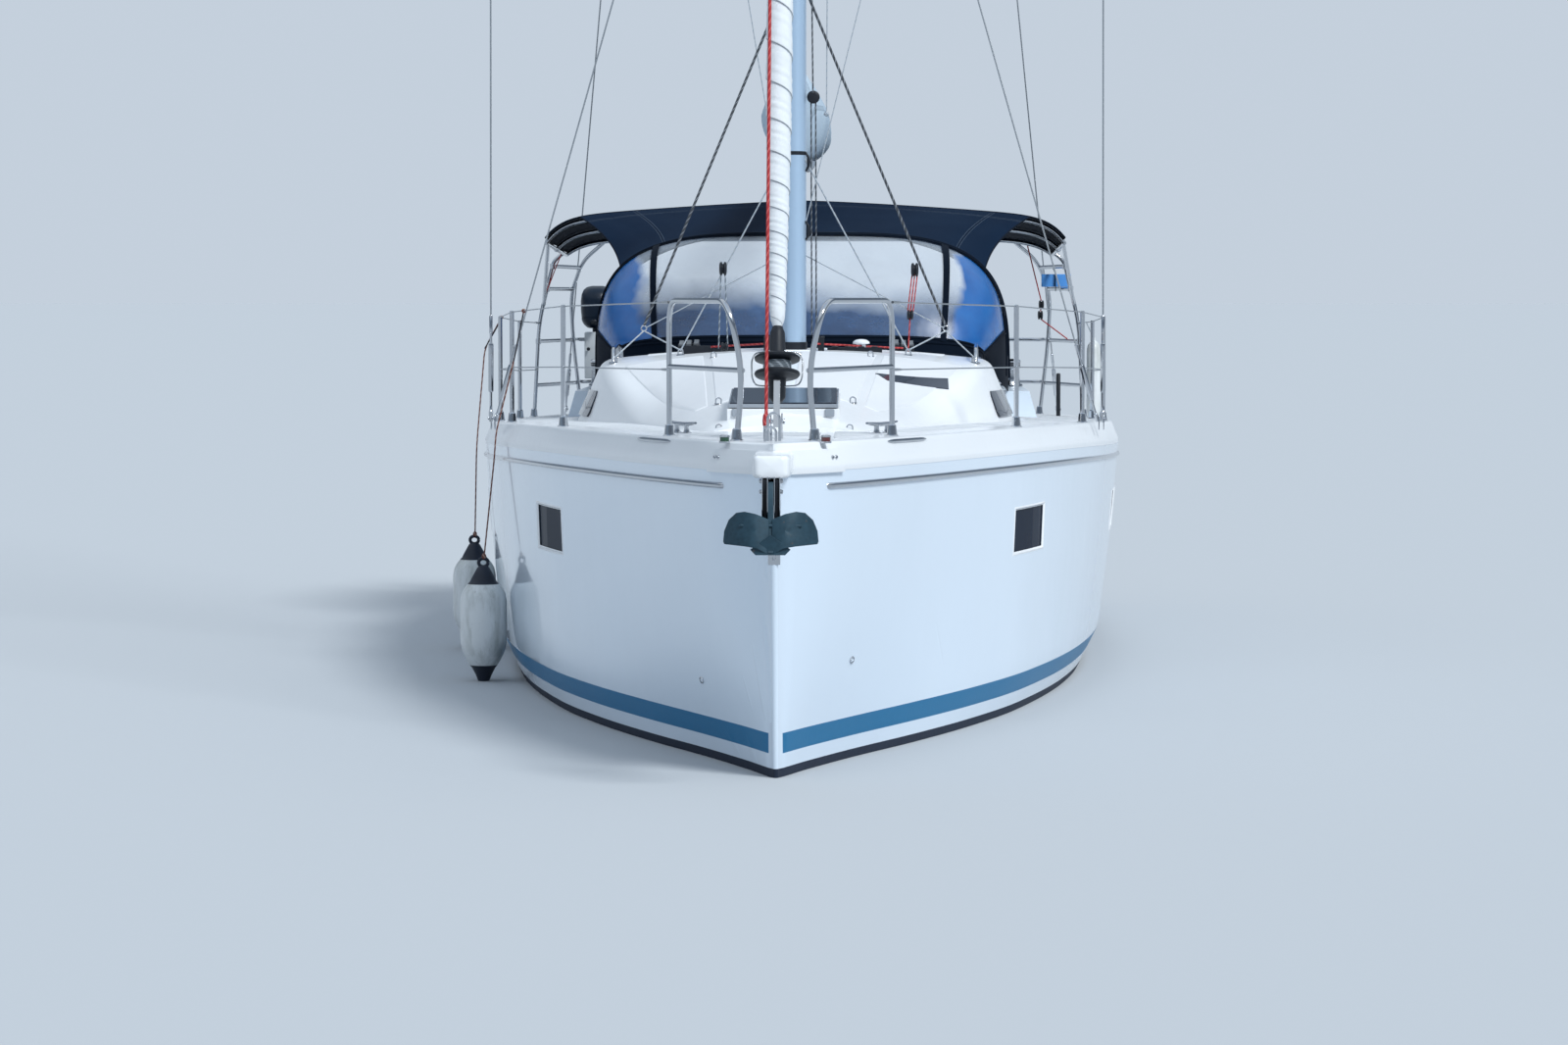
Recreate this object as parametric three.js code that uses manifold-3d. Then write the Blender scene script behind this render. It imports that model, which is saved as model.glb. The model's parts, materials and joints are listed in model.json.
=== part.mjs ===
// A 10.9 metre sailing cruiser afloat, with her whole hull, keel and rig.
// Millimetres, Z up from the waterline, bow towards -Y, port side +X, origin on the centreline amidships.
import * as THREE from 'three';
import { mergeVertices } from 'three/addons/utils/BufferGeometryUtils.js';
import Module from 'manifold-3d';

const wasm = await Module();
wasm.setup();

// Driving dimensions
const HULL_LENGTH = 10900;
const MIDSHIP = HULL_LENGTH / 2;
const GAP = 0.3;                // between pieces that touch
const STEM_RAKE = 400;          // how far the stem leans aft from deck to waterline
const RAKE_FADE = 3400;         // the lean of the sections dies out here
const DECK_EDGE = 120;          // height of the deck moulding's bevelled edge
const EDGE_BEVEL = 38;
const DECK_CAMBER = 0.03;       // crown over half breadth
const DECK_SKIN = 45;
const HULL_SKIN = 60;
const CHINE = 195;              // the soft chine, at the top of the blue band
const SOLE = -250;              // cabin sole
const TUBE = 12.5;              // radius of the stainless tubes
const WIRE = 4;
const SHROUD = 5;

const HULL = {
  columns: ['aft', 'gunwale', 'sheer', 'chine', 'water', 'depth'],
  rows: [
    [0, 16, 1440, 12, 10, 60],
    [45, 66, 1440, 34, 28, 85],
    [400, 270, 1437, 150, 130, 200],
    [1000, 490, 1430, 365, 330, 310],
    [1700, 710, 1421, 625, 595, 390],
    [2500, 960, 1413, 910, 870, 440],
    [3400, 1225, 1403, 1185, 1130, 470],
    [4600, 1505, 1383, 1460, 1385, 485],
    [5900, 1725, 1352, 1650, 1555, 480],
    [7200, 1850, 1322, 1735, 1610, 440],
    [8600, 1865, 1293, 1740, 1570, 340],
    [9900, 1820, 1268, 1680, 1450, 190],
    [10900, 1760, 1252, 1600, 1290, 40],
  ],
};

const COACHROOF = {
  columns: ['aft', 'base', 'shoulder', 'shoulderZ', 'crownZ'],
  rows: [
    [1720, 330, 300, 1440, 1470],
    [1900, 400, 350, 1455, 1520],
    [2450, 550, 500, 1462, 1590],
    [3300, 770, 710, 1475, 1700],
    [4700, 1150, 1005, 1698, 1772],
    [6300, 1205, 1055, 1690, 1760],
    [7100, 1190, 1045, 1680, 1750],
  ],
};

const MAST = { aft: 4700, foot: 1775, head: 15050, half: 62, chord: 190 };
const STAY = { aft: 640, z: 1520, headAft: 4560, headZ: 14650 };
const GOOSENECK = { aft: 4860, z: 2750, pin: 12 };
const VANG_PIN_Z = 2080;
const BOOM = { end: 9250, width: 100, height: 150, rise: 120 };
const RUDDER = { aft: 10150, stock: 45, top: -240, foot: -1600 };
const PROPELLER = { aft: 7130, z: -800, radius: 215 };
const WHEEL = { aft: 9280, x: 780, z: 1300, radius: 430, rim: 14 };
const COCKPIT = { front: 7150, back: 10600, half: 1300, floor: 450, wall: 40, seat: 900, footwell: 480 };
const STERN_GATE = { half: 620, sill: 430, thick: 70 };

const y = aft => aft - MIDSHIP;
const point = (x, aft, z) => new THREE.Vector3(x, y(aft), z);

// A smooth value from a table's column, through the rows on each side of a place along the hull.
function fair(table, column, aft) {
  const k = table.columns.indexOf(column);
  const rows = table.rows;
  let i = 0;
  while (i < rows.length - 2 && aft > rows[i + 1][0]) i += 1;
  const slope = j => {
    const a = rows[Math.max(j - 1, 0)];
    const b = rows[Math.min(j + 1, rows.length - 1)];
    return (b[k] - a[k]) / (b[0] - a[0]);
  };
  const span = rows[i + 1][0] - rows[i][0];
  const t = Math.min(Math.max((aft - rows[i][0]) / span, 0), 1);
  const h = t * t * (3 - 2 * t);
  const curve = span * t * (1 - t) * ((1 - t) * slope(i) - t * slope(i + 1));
  return rows[i][k] * (1 - h) + rows[i + 1][k] * h + curve;
}

// Solids from closed meshes, joined and cut
function solid(geometry) {
  const bare = geometry.clone();
  bare.deleteAttribute('normal');
  bare.deleteAttribute('uv');
  const merged = mergeVertices(bare);
  const index = merged.index ? merged.index.array : merged.attributes.position.array.map((v, i) => i);
  return new wasm.Manifold(new wasm.Mesh({
    numProp: 3,
    vertProperties: new Float32Array(merged.attributes.position.array),
    triVerts: new Uint32Array(index),
  }));
}

function geometryOf(body) {
  const mesh = body.getMesh();
  const geometry = new THREE.BufferGeometry();
  geometry.setAttribute('position', new THREE.Float32BufferAttribute(mesh.vertProperties, 3));
  geometry.setIndex(new THREE.Uint32BufferAttribute(mesh.triVerts, 1));
  geometry.computeVertexNormals();
  return geometry;
}

const join = (...bodies) => bodies.reduce((a, b) => a.add(b));
const cut = (body, ...cutters) => cutters.reduce((a, b) => a.subtract(b), body);
const common = (a, b) => a.intersect(b);

// A closed skin over rings of equally many points, with an end cap fanned about each end's middle.
function loft(rings) {
  const count = rings[0].length;
  const vertices = rings.flat();
  for (const end of [rings[0], rings[rings.length - 1]]) {
    vertices.push(end.reduce((sum, p) => sum.add(p), new THREE.Vector3()).divideScalar(count));
  }
  const faces = [];
  for (let r = 0; r < rings.length - 1; r += 1) {
    for (let i = 0; i < count; i += 1) {
      const a = r * count + i;
      const b = r * count + (i + 1) % count;
      faces.push([a, b, b + count], [a, b + count, a + count]);
    }
  }
  const last = (rings.length - 1) * count;
  for (let i = 0; i < count; i += 1) {
    const next = (i + 1) % count;
    faces.push([next, i, vertices.length - 2], [last + i, last + next, vertices.length - 1]);
  }
  const volume = faces.reduce((sum, [a, b, c]) => {
    return sum + vertices[a].dot(new THREE.Vector3().crossVectors(vertices[b], vertices[c]));
  }, 0);
  const geometry = new THREE.BufferGeometry();
  geometry.setAttribute('position', new THREE.Float32BufferAttribute(vertices.flatMap(p => p.toArray()), 3));
  geometry.setIndex(faces.flatMap(([a, b, c]) => (volume > 0 ? [a, b, c] : [a, c, b])));
  return solid(geometry);
}

const ring = (count, place) => Array.from({ length: count }, (_, i) => place(2 * Math.PI * i / count));

// A box between two places along the hull
function box(x0, x1, aft0, aft1, z0, z1) {
  const geometry = new THREE.BoxGeometry(x1 - x0, aft1 - aft0, z1 - z0);
  geometry.translate((x0 + x1) / 2, y((aft0 + aft1) / 2), (z0 + z1) / 2);
  return solid(geometry);
}

// A run of tube through given points, bent at each of them.
class Run extends THREE.Curve {
  constructor(points) {
    super();
    this.points = points;
  }

  getPointAt(u, target = new THREE.Vector3()) {
    const place = u * (this.points.length - 1);
    const i = Math.min(Math.floor(place), this.points.length - 2);
    return target.lerpVectors(this.points[i], this.points[i + 1], place - i);
  }

  getTangentAt(u, target = new THREE.Vector3()) {
    const i = Math.round(u * (this.points.length - 1));
    const here = this.points[i];
    const before = this.points[Math.max(i - 1, 0)];
    const after = this.points[Math.min(i + 1, this.points.length - 1)];
    const into = new THREE.Vector3().subVectors(here, before).normalize();
    const out = new THREE.Vector3().subVectors(after, here).normalize();
    return target.addVectors(into, out).normalize();
  }
}

function tube(points, radius, sides = 6) {
  const shape = new THREE.Shape(ring(sides, a => new THREE.Vector2(radius * Math.cos(a), radius * Math.sin(a))));
  const extrudePath = new Run(points);
  return solid(new THREE.ExtrudeGeometry(shape, { steps: points.length - 1, extrudePath }));
}

// Rounds the corners of a path of points with short arcs of chords.
function rounded(points, radius, chords = 2) {
  const path = [points[0]];
  for (let i = 1; i < points.length - 1; i += 1) {
    const into = new THREE.Vector3().subVectors(points[i - 1], points[i]);
    const out = new THREE.Vector3().subVectors(points[i + 1], points[i]);
    const reach = Math.min(radius, into.length() * 0.45, out.length() * 0.45);
    const start = into.setLength(reach).add(points[i]);
    const end = out.setLength(reach).add(points[i]);
    const arc = new THREE.QuadraticBezierCurve3(start, points[i], end);
    path.push(...arc.getPoints(chords));
  }
  path.push(points[points.length - 1]);
  return path;
}

// A symmetrical foil section, flat in Z, thickest a third of the way back
function foil(aft, chord, thick, z, count = 14) {
  return ring(count, a => {
    return point(thick / 2 * Math.sin(a) * (1 + 0.4 * Math.cos(a)), aft + chord * (1 - Math.cos(a)) / 2, z);
  });
}

// An upright oval ring across the hull
function oval(aft, x, z, halfWidth, halfHeight, count = 16) {
  return ring(count, a => point(x + halfWidth * Math.cos(a), aft, z + halfHeight * Math.sin(a)));
}

const yacht = new THREE.Group();
const FINISH = {
  gelcoat: { color: 0xf2f3f2, roughness: 0.25, metalness: 0 },
  deckNonSkid: { color: 0xe9eae8, roughness: 0.5, metalness: 0 },
  stainless: { color: 0xc9cccf, roughness: 0.25, metalness: 1 },
  wire: { color: 0xa9adb2, roughness: 0.4, metalness: 1 },
  galvanised: { color: 0x8f9496, roughness: 0.6, metalness: 0.8 },
  spar: { color: 0xb9c6d3, roughness: 0.4, metalness: 0.5 },
  canvas: { color: 0x1b2f52, roughness: 0.95, metalness: 0 },
  clear: { color: 0x9fc3dc, roughness: 0.1, metalness: 0 },
  darkGlass: { color: 0x14181d, roughness: 0.08, metalness: 0 },
  sailCloth: { color: 0xe4e9ee, roughness: 0.85, metalness: 0 },
  bagCloth: { color: 0xa9bccb, roughness: 0.9, metalness: 0 },
  black: { color: 0x1b1c1e, roughness: 0.5, metalness: 0 },
  iron: { color: 0x1d2b4a, roughness: 0.7, metalness: 0 },
  teak: { color: 0xa07c52, roughness: 0.7, metalness: 0 },
  engine: { color: 0x5f666b, roughness: 0.6, metalness: 0.3 },
  fender: { color: 0xe8e8e4, roughness: 0.5, metalness: 0 },
  bronze: { color: 0xa98b4f, roughness: 0.4, metalness: 1 },
};

function add(name, body, finish) {
  const mesh = new THREE.Mesh(geometryOf(body), new THREE.MeshStandardMaterial(FINISH[finish]));
  mesh.name = name;
  yacht.add(mesh);
}

const SIDES = [['port', 1], ['starboard', -1]];

// Hull: a half section from the gunwale down the topside, round the bilge to the keel line
const BILGE_STEPS = 4;
const TOPSIDE_KNEE = 700;

function lean(aft, z) {
  const fade = Math.max(0, 1 - aft / RAKE_FADE) ** 1.5;
  return STEM_RAKE * fade * (1 - z / HULL.rows[0][2]);
}

function halfBreadth(aft, z) {
  const top = fair(HULL, 'sheer', aft) - DECK_EDGE;
  const gunwale = fair(HULL, 'gunwale', aft);
  const chine = fair(HULL, 'chine', aft);
  const knee = chine + (gunwale - chine) * 0.62;
  if (z >= TOPSIDE_KNEE) return knee + (gunwale - knee) * (z - TOPSIDE_KNEE) / (top - TOPSIDE_KNEE);
  return chine + (knee - chine) * (z - CHINE) / (TOPSIDE_KNEE - CHINE);
}

function hullRing(aft, top, inset = 0, floor = -Infinity) {
  const water = fair(HULL, 'water', aft);
  const depth = fair(HULL, 'depth', aft);
  const half = [
    [halfBreadth(aft, top), top],
    [halfBreadth(aft, TOPSIDE_KNEE), TOPSIDE_KNEE],
    [fair(HULL, 'chine', aft), CHINE],
    [water, 0],
  ];
  for (let i = 1; i <= BILGE_STEPS; i += 1) {
    const a = Math.PI / 2 * i / (BILGE_STEPS + 0.5);
    half.push([water * Math.cos(a) ** 0.8, -(depth - inset) * Math.sin(a) ** 1.15]);
  }
  const place = side => ([x, z]) => {
    const low = Math.max(z, floor);
    const ahead = aft === 0 ? inset : 0;
    return new THREE.Vector3(side * Math.max(x - inset, 5), y(aft) + lean(aft, low) + ahead, low);
  };
  return [...half.map(place(1)), ...half.map(place(-1)).reverse()];
}

const HULL_SECTIONS = [0, 45, 180, 400, 700, 1000, 1350, 1700, 2100, 2500, 2950, 3400, 4000, 4600, 5250, 5900,
  6550, 7200, 7900, 8600, 9250, 9900, 10400, 10900];

function hullBody(grow = 0) {
  return loft(HULL_SECTIONS.map(aft => hullRing(aft, fair(HULL, 'sheer', aft) - DECK_EDGE, -grow)));
}

// Deck moulding: a bevelled edge standing on the hull, and a crowned top
function deckRing(aft, lift = 0, grow = 0, drop = 0) {
  const sheer = fair(HULL, 'sheer', aft);
  const edge = fair(HULL, 'gunwale', aft) + grow;
  const top = Math.max(edge - EDGE_BEVEL, 4 + grow);
  const crown = DECK_CAMBER * edge;
  const joint = sheer - DECK_EDGE + GAP;
  const half = [[edge, joint - drop], [edge, joint + 25], [top, sheer + lift], [top * 0.55, sheer + crown * 0.7 + lift]];
  const ahead = aft === 0 ? grow : 0;
  const place = side => ([x, z]) => new THREE.Vector3(side * x, y(aft) + lean(aft, z) - ahead, z);
  return [...half.map(place(1)), point(0, aft, sheer + crown + lift), ...half.map(place(-1)).reverse()];
}

const deckTop = (x, aft) => {
  const edge = fair(HULL, 'gunwale', aft);
  const rise = DECK_CAMBER * edge;
  const inner = (edge - EDGE_BEVEL) * 0.55;
  const sheer = fair(HULL, 'sheer', aft);
  const across = Math.abs(x);
  if (across < inner) return sheer + rise - rise * 0.3 * across / inner;
  return sheer + rise * 0.7 * (edge - EDGE_BEVEL - across) / (edge - EDGE_BEVEL - inner);
};

const deckBody = (lift = 0, grow = 0, drop = 0) => loft(HULL_SECTIONS.map(aft => deckRing(aft, lift, grow, drop)));

// Coachroof: a wedge that rises from the foredeck, with sloping sides
function roofRing(aft, inset = 0, foot = 1150) {
  const base = fair(COACHROOF, 'base', aft) - inset;
  const shoulder = fair(COACHROOF, 'shoulder', aft) - inset;
  const shoulderZ = fair(COACHROOF, 'shoulderZ', aft) - inset;
  const crownZ = fair(COACHROOF, 'crownZ', aft) - inset;
  const half = [[base, foot], [base, fair(HULL, 'sheer', aft)], [shoulder, shoulderZ],
    [shoulder * 0.55, shoulderZ + (crownZ - shoulderZ) * 0.72]];
  const place = side => ([x, z]) => point(side * x, aft, z);
  return [...half.map(place(1)), point(0, aft, crownZ), ...half.map(place(-1)).reverse()];
}

const ROOF_SECTIONS = [1720, 1900, 2150, 2450, 2850, 3300, 3750, 4200, 4700, 5500, 6300, 7100];
const ROOF_WALL = 45;
const CABIN = { front: 1800, back: 7060 };

function roofBody(inset = 0, foot = 1150, front = 0, back = Infinity) {
  const stations = ROOF_SECTIONS.filter(aft => aft > front && aft < back);
  if (front > 0) stations.unshift(front);
  if (back < Infinity) stations.push(back);
  return loft(stations.map(aft => roofRing(aft, inset, foot)));
}

// The cabin's inside, from the sole up to the deck's underside
function cabinSpace() {
  const stations = [CABIN.front, ...HULL_SECTIONS.filter(aft => aft > CABIN.front && aft < CABIN.back), CABIN.back];
  return loft(stations.map(aft => {
    const top = fair(HULL, 'sheer', aft) - DECK_SKIN;
    return hullRing(aft, top, HULL_SKIN + EDGE_BEVEL * 0.6, SOLE);
  }));
}

// Draws in each side of a four-cornered outline by the same distance.
function drawnIn(corners, distance) {
  const turn = corners.reduce((sum, [a, b], i) => {
    const [c, d] = corners[(i + 1) % corners.length];
    return sum + a * d - b * c;
  }, 0);
  const sides = corners.map(([a, b], i) => {
    const [c, d] = corners[(i + 1) % corners.length];
    const n = [b - d, c - a].map(v => v * Math.sign(turn) / Math.hypot(c - a, d - b));
    return { n, reach: n[0] * a + n[1] * b + distance };
  });
  return corners.map((corner, i) => {
    const { n: [p, q], reach: r } = sides[(i + sides.length - 1) % sides.length];
    const { n: [s, u], reach: v } = sides[i];
    const det = p * u - q * s;
    return [(r * u - q * v) / det, (p * v - r * s) / det];
  });
}

// A prism across the side, from four corners given along the hull and in height
function sidePrism(side, corners, shrink = 0, inner = 500, outer = 2100) {
  return loft([inner, outer].map(x => drawnIn(corners, shrink).map(([aft, z]) => point(side * x, aft, z))));
}

const WINDOW_HEAD = 380;        // below the sheer
const WINDOW_FOOT = 610;
const HULL_WINDOWS = { forward: [2990, 3620], aft: [6430, 6980] };
const windowCorners = ([front, back]) => [
  [front + 12, fair(HULL, 'sheer', front) - WINDOW_HEAD],
  [back, fair(HULL, 'sheer', back) - WINDOW_HEAD],
  [back - 12, fair(HULL, 'sheer', back) - WINDOW_FOOT],
  [front, fair(HULL, 'sheer', front) - WINDOW_FOOT],
];
const ROOF_WINDOW = [[4480, 1560], [6750, 1545], [6900, 1420], [4420, 1432]];
const GLASS = 10;

const companionway = () => box(-280, 280, 7030, 7200, 950, 1900);
const wellCut = COCKPIT.half + GAP;
const LOCKER = { front: 930, back: 1500, half: 175, depth: 900, ledge: 25, clearance: 5, thick: 28 };
const locker = (grow, z0, z1) => box(-LOCKER.half - grow, LOCKER.half + grow, LOCKER.front - grow,
  LOCKER.back + grow, z0, z1);
const chainLocker = () => locker(-LOCKER.ledge, LOCKER.depth, 1600);

const cabin = cabinSpace();
const sternOpening = () => box(-STERN_GATE.half, STERN_GATE.half, 10500, 11000, STERN_GATE.sill, 1600);
const rudderTube = () => tube([point(0, RUDDER.aft, -400), point(0, RUDDER.aft, 200 + GAP)], RUDDER.stock + 0.7, 24);
const cockpitBlock = () => box(-wellCut, wellCut, COCKPIT.front - GAP, COCKPIT.back + GAP,
  COCKPIT.floor - COCKPIT.wall - GAP, 1700);

let hull = cut(hullBody(), cabin, cockpitBlock(), sternOpening(), chainLocker(), companionway(), rudderTube());
let deck = cut(deckBody(), cabin, cockpitBlock(), sternOpening(), companionway(), chainLocker(),
  roofBody(ROOF_WALL, 1100, CABIN.front + 60, 7055), cut(locker(LOCKER.clearance, 1300, 1600), deckBody(-LOCKER.thick)));

for (const [side, sign] of SIDES) {
  for (const [place, span] of Object.entries(HULL_WINDOWS)) {
    const corners = windowCorners(span);
    hull = cut(hull, sidePrism(sign, corners));
    const skin = cut(hullBody(-6), hullBody(-6 - GLASS));
    add(`hull_window_${place}_${side}`, common(skin, sidePrism(sign, corners, GAP)), 'darkGlass');
  }
}
add('hull', hull, 'gelcoat');
add('deck', deck, 'deckNonSkid');

// Anchor locker lid, flush in the foredeck
add('anchor_locker_lid', cut(common(deckBody(), locker(0, 1300, 1600)), deckBody(GAP - LOCKER.thick, 0, 60)),
  'deckNonSkid');

// Coachroof shell, with a plinth for the fore hatch and runners for the sliding hatch
const FORE_HATCH = { aft: 1905, length: 500, half: 245, z: 1541, slope: Math.atan2(59, 500), plinth: 15, thick: 26 };
const SLIDE = { front: 6080, hatch: 6570, back: 7100, half: 320, top: 1790, runner: 22, thick: 32 };

// A block on the sloping fore hatch's plane; heights are above that plane, lengths back from its front edge.
function hatchBlock(grow, z0, z1) {
  const geometry = new THREE.BoxGeometry(2 * (FORE_HATCH.half + grow), FORE_HATCH.length + 2 * grow, z1 - z0);
  geometry.translate(0, FORE_HATCH.length / 2, (z0 + z1) / 2);
  geometry.rotateX(FORE_HATCH.slope);
  geometry.translate(0, y(FORE_HATCH.aft), FORE_HATCH.z);
  return solid(geometry);
}

const runner = side => box(side > 0 ? SLIDE.half - SLIDE.runner : -SLIDE.half, side > 0 ? SLIDE.half
  : SLIDE.runner - SLIDE.half, SLIDE.front, SLIDE.back, 1700, SLIDE.top);
const mastStep = box(-110, 110, MAST.aft - 130, MAST.aft + 130, 1720, MAST.foot);
let coachroof = join(roofBody(), hatchBlock(FORE_HATCH.plinth, -110, 0), runner(1), runner(-1), mastStep);
coachroof = cut(coachroof, deckBody(GAP, 0, 60), hullBody(GAP), roofBody(ROOF_WALL, 1100, CABIN.front + 60, 7055),
  hatchBlock(-30, -200, 20), box(-280, 280, SLIDE.hatch + 40, 7120, 1600, 1900), companionway());
for (const [side, sign] of SIDES) {
  coachroof = cut(coachroof, sidePrism(sign, ROOF_WINDOW, 0, 900, 1400));
  const skin = cut(roofBody(5, 1150, 1800, 7090), roofBody(5 + GLASS, 1100, 1790, 7095));
  add(`coachroof_window_${side}`, common(skin, sidePrism(sign, ROOF_WINDOW, GAP, 900, 1400)), 'darkGlass');
}
add('coachroof', coachroof, 'gelcoat');
add('foredeck_hatch', hatchBlock(0, GAP, FORE_HATCH.thick), 'darkGlass');
add('companionway_hatch', box(-SLIDE.half, SLIDE.half, SLIDE.hatch, SLIDE.back + 15, SLIDE.top + GAP,
  SLIDE.top + SLIDE.thick), 'gelcoat');
add('washboard', box(-280 + GAP, 280 - GAP, 7065, 7090, 950 + GAP, 1740), 'teak');

// A sheet of even thickness over a grid of points, closed round its edges
function sheet(rows, under) {
  const columns = rows[0].length;
  const top = rows.flat();
  const vertices = [...top, ...top.map(under)];
  const at = (r, c, layer) => layer * top.length + r * columns + c;
  const faces = [];
  const quad = (a, b, c, d) => faces.push([a, b, c], [a, c, d]);
  const lastRow = rows.length - 1;
  const lastColumn = columns - 1;
  for (let r = 0; r < lastRow; r += 1) {
    for (let c = 0; c < lastColumn; c += 1) {
      quad(at(r, c, 0), at(r, c + 1, 0), at(r + 1, c + 1, 0), at(r + 1, c, 0));
      quad(at(r, c, 1), at(r + 1, c, 1), at(r + 1, c + 1, 1), at(r, c + 1, 1));
    }
    quad(at(r, 0, 0), at(r + 1, 0, 0), at(r + 1, 0, 1), at(r, 0, 1));
    quad(at(r, lastColumn, 0), at(r, lastColumn, 1), at(r + 1, lastColumn, 1), at(r + 1, lastColumn, 0));
  }
  for (let c = 0; c < lastColumn; c += 1) {
    quad(at(0, c, 0), at(0, c, 1), at(0, c + 1, 1), at(0, c + 1, 0));
    quad(at(lastRow, c, 0), at(lastRow, c + 1, 0), at(lastRow, c + 1, 1), at(lastRow, c, 1));
  }
  const volume = faces.reduce((sum, [a, b, c]) => {
    return sum + vertices[a].dot(new THREE.Vector3().crossVectors(vertices[b], vertices[c]));
  }, 0);
  const geometry = new THREE.BufferGeometry();
  geometry.setAttribute('position', new THREE.Float32BufferAttribute(vertices.flatMap(p => p.toArray()), 3));
  geometry.setIndex(faces.flatMap(([a, b, c]) => (volume > 0 ? [a, b, c] : [a, c, b])));
  return solid(geometry);
}

// Cockpit: footwell, side seats, helm area and coamings in one moulding
const COAMING = { top: 1500, inner: 1150, rows: [[7150, 0], [8900, 0], [9500, 90], [9950, 260]] };
const HELM_FRONT = 9000;
const HELM_SEAT = { front: 10150, half: 560 };
const SEAT_LID = { front: 7560, back: 8540, inner: 540, outer: 1090, thick: 20, rim: 30 };

function coaming(side) {
  return loft(COAMING.rows.map(([aft, drop]) => {
    const top = COAMING.top - drop;
    const outline = [[COAMING.inner, 1150], [1190, top], [1330, top], [1430, 1150]];
    return outline.map(([x, z]) => point(side * x, aft, z));
  }));
}

const inner = COCKPIT.half - COCKPIT.wall;
const deckOutsideWell = cut(deckBody(GAP, 0, 60), box(-COCKPIT.half, COCKPIT.half, 7100, 11000, 1000, 1800));
const tub = common(box(-COCKPIT.half, COCKPIT.half, COCKPIT.front, COCKPIT.back,
  COCKPIT.floor - COCKPIT.wall, 1700), deckBody(0, 0, 1200));
const seatLocker = side => box(side > 0 ? SEAT_LID.inner + SEAT_LID.rim : -SEAT_LID.outer + SEAT_LID.rim,
  side > 0 ? SEAT_LID.outer - SEAT_LID.rim : -SEAT_LID.inner - SEAT_LID.rim,
  SEAT_LID.front + SEAT_LID.rim, SEAT_LID.back - SEAT_LID.rim, COCKPIT.floor + 30, 1000);
const front = COCKPIT.front + COCKPIT.wall;
const cockpit = cut(join(tub, cut(coaming(1), deckOutsideWell, hullBody(GAP)),
  cut(coaming(-1), deckOutsideWell, hullBody(GAP))),
box(-COCKPIT.footwell, COCKPIT.footwell, front, HELM_FRONT, COCKPIT.floor, 2000),
box(-COAMING.inner, COAMING.inner, front, HELM_FRONT, COCKPIT.seat, 2000),
box(-inner, inner, HELM_FRONT, HELM_SEAT.front, COCKPIT.floor, 2000),
box(-HELM_SEAT.half, HELM_SEAT.half, HELM_SEAT.front, 10700, COCKPIT.floor, 2000),
box(-inner, inner, HELM_SEAT.front, COCKPIT.back - COCKPIT.wall, COCKPIT.seat, 2000),
companionway(), seatLocker(1), seatLocker(-1));
add('cockpit', cockpit, 'deckNonSkid');

for (const [side, sign] of SIDES) {
  const [x0, x1] = sign > 0 ? [SEAT_LID.inner, SEAT_LID.outer] : [-SEAT_LID.outer, -SEAT_LID.inner];
  add(`seat_lid_${side}`, box(x0, x1, SEAT_LID.front, SEAT_LID.back, COCKPIT.seat + GAP,
    COCKPIT.seat + SEAT_LID.thick), 'gelcoat');
}
add('swim_platform', box(5 - STERN_GATE.half, STERN_GATE.half - 5, HULL_LENGTH - STERN_GATE.thick, HULL_LENGTH,
  STERN_GATE.sill + GAP, 1235), 'gelcoat');

// Cockpit table, with its leaves folded down beside the column
add('cockpit_table', join(box(-110, 110, 7900, 8700, 1050, 1090), box(-60, 60, 8000, 8600, COCKPIT.floor + GAP, 1060),
  box(-135, -112 + 10, 7900, 8700, 700, 1075), box(112 - 10, 135, 7900, 8700, 700, 1075),
  box(-130, 130, 8100, 8500, 1000, 1055)), 'teak');

// Steering wheels on their pedestals
const SPOKES = 6;
for (const [side, sign] of SIDES) {
  const x = sign * WHEEL.x;
  const hubFront = WHEEL.aft - 60;
  const column = loft([[COCKPIT.floor + GAP, 190, 90], [1000, 150, 80], [1230, 170, 90], [1420, 200, 60]]
    .map(([z, half, depth]) => [[-1, -1], [1, -1], [1, 1], [-1, 1]]
      .map(([a, b]) => point(x + a * half / 1.6, 9130 + b * depth, z))));
  add(`helm_pedestal_${side}`, join(column, tube([point(x, 9150, WHEEL.z), point(x, hubFront, WHEEL.z)], 30, 12)),
    'gelcoat');
  const rim = ring(24, a => point(x + WHEEL.radius * Math.cos(a), WHEEL.aft, WHEEL.z + WHEEL.radius * Math.sin(a)));
  const parts = ring(SPOKES, a => tube([point(x, WHEEL.aft, WHEEL.z),
    point(x + WHEEL.radius * Math.cos(a), WHEEL.aft, WHEEL.z + WHEEL.radius * Math.sin(a))], 9, 6));
  const torus = new THREE.TorusGeometry(WHEEL.radius, WHEEL.rim, 6, rim.length);
  torus.rotateX(Math.PI / 2);
  torus.translate(x, y(WHEEL.aft), WHEEL.z);
  const hub = tube([point(x, hubFront + GAP, WHEEL.z), point(x, WHEEL.aft + 25, WHEEL.z)], 45, 12);
  add(`wheel_${side}`, join(solid(torus), hub, ...parts), 'stainless');
}

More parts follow.
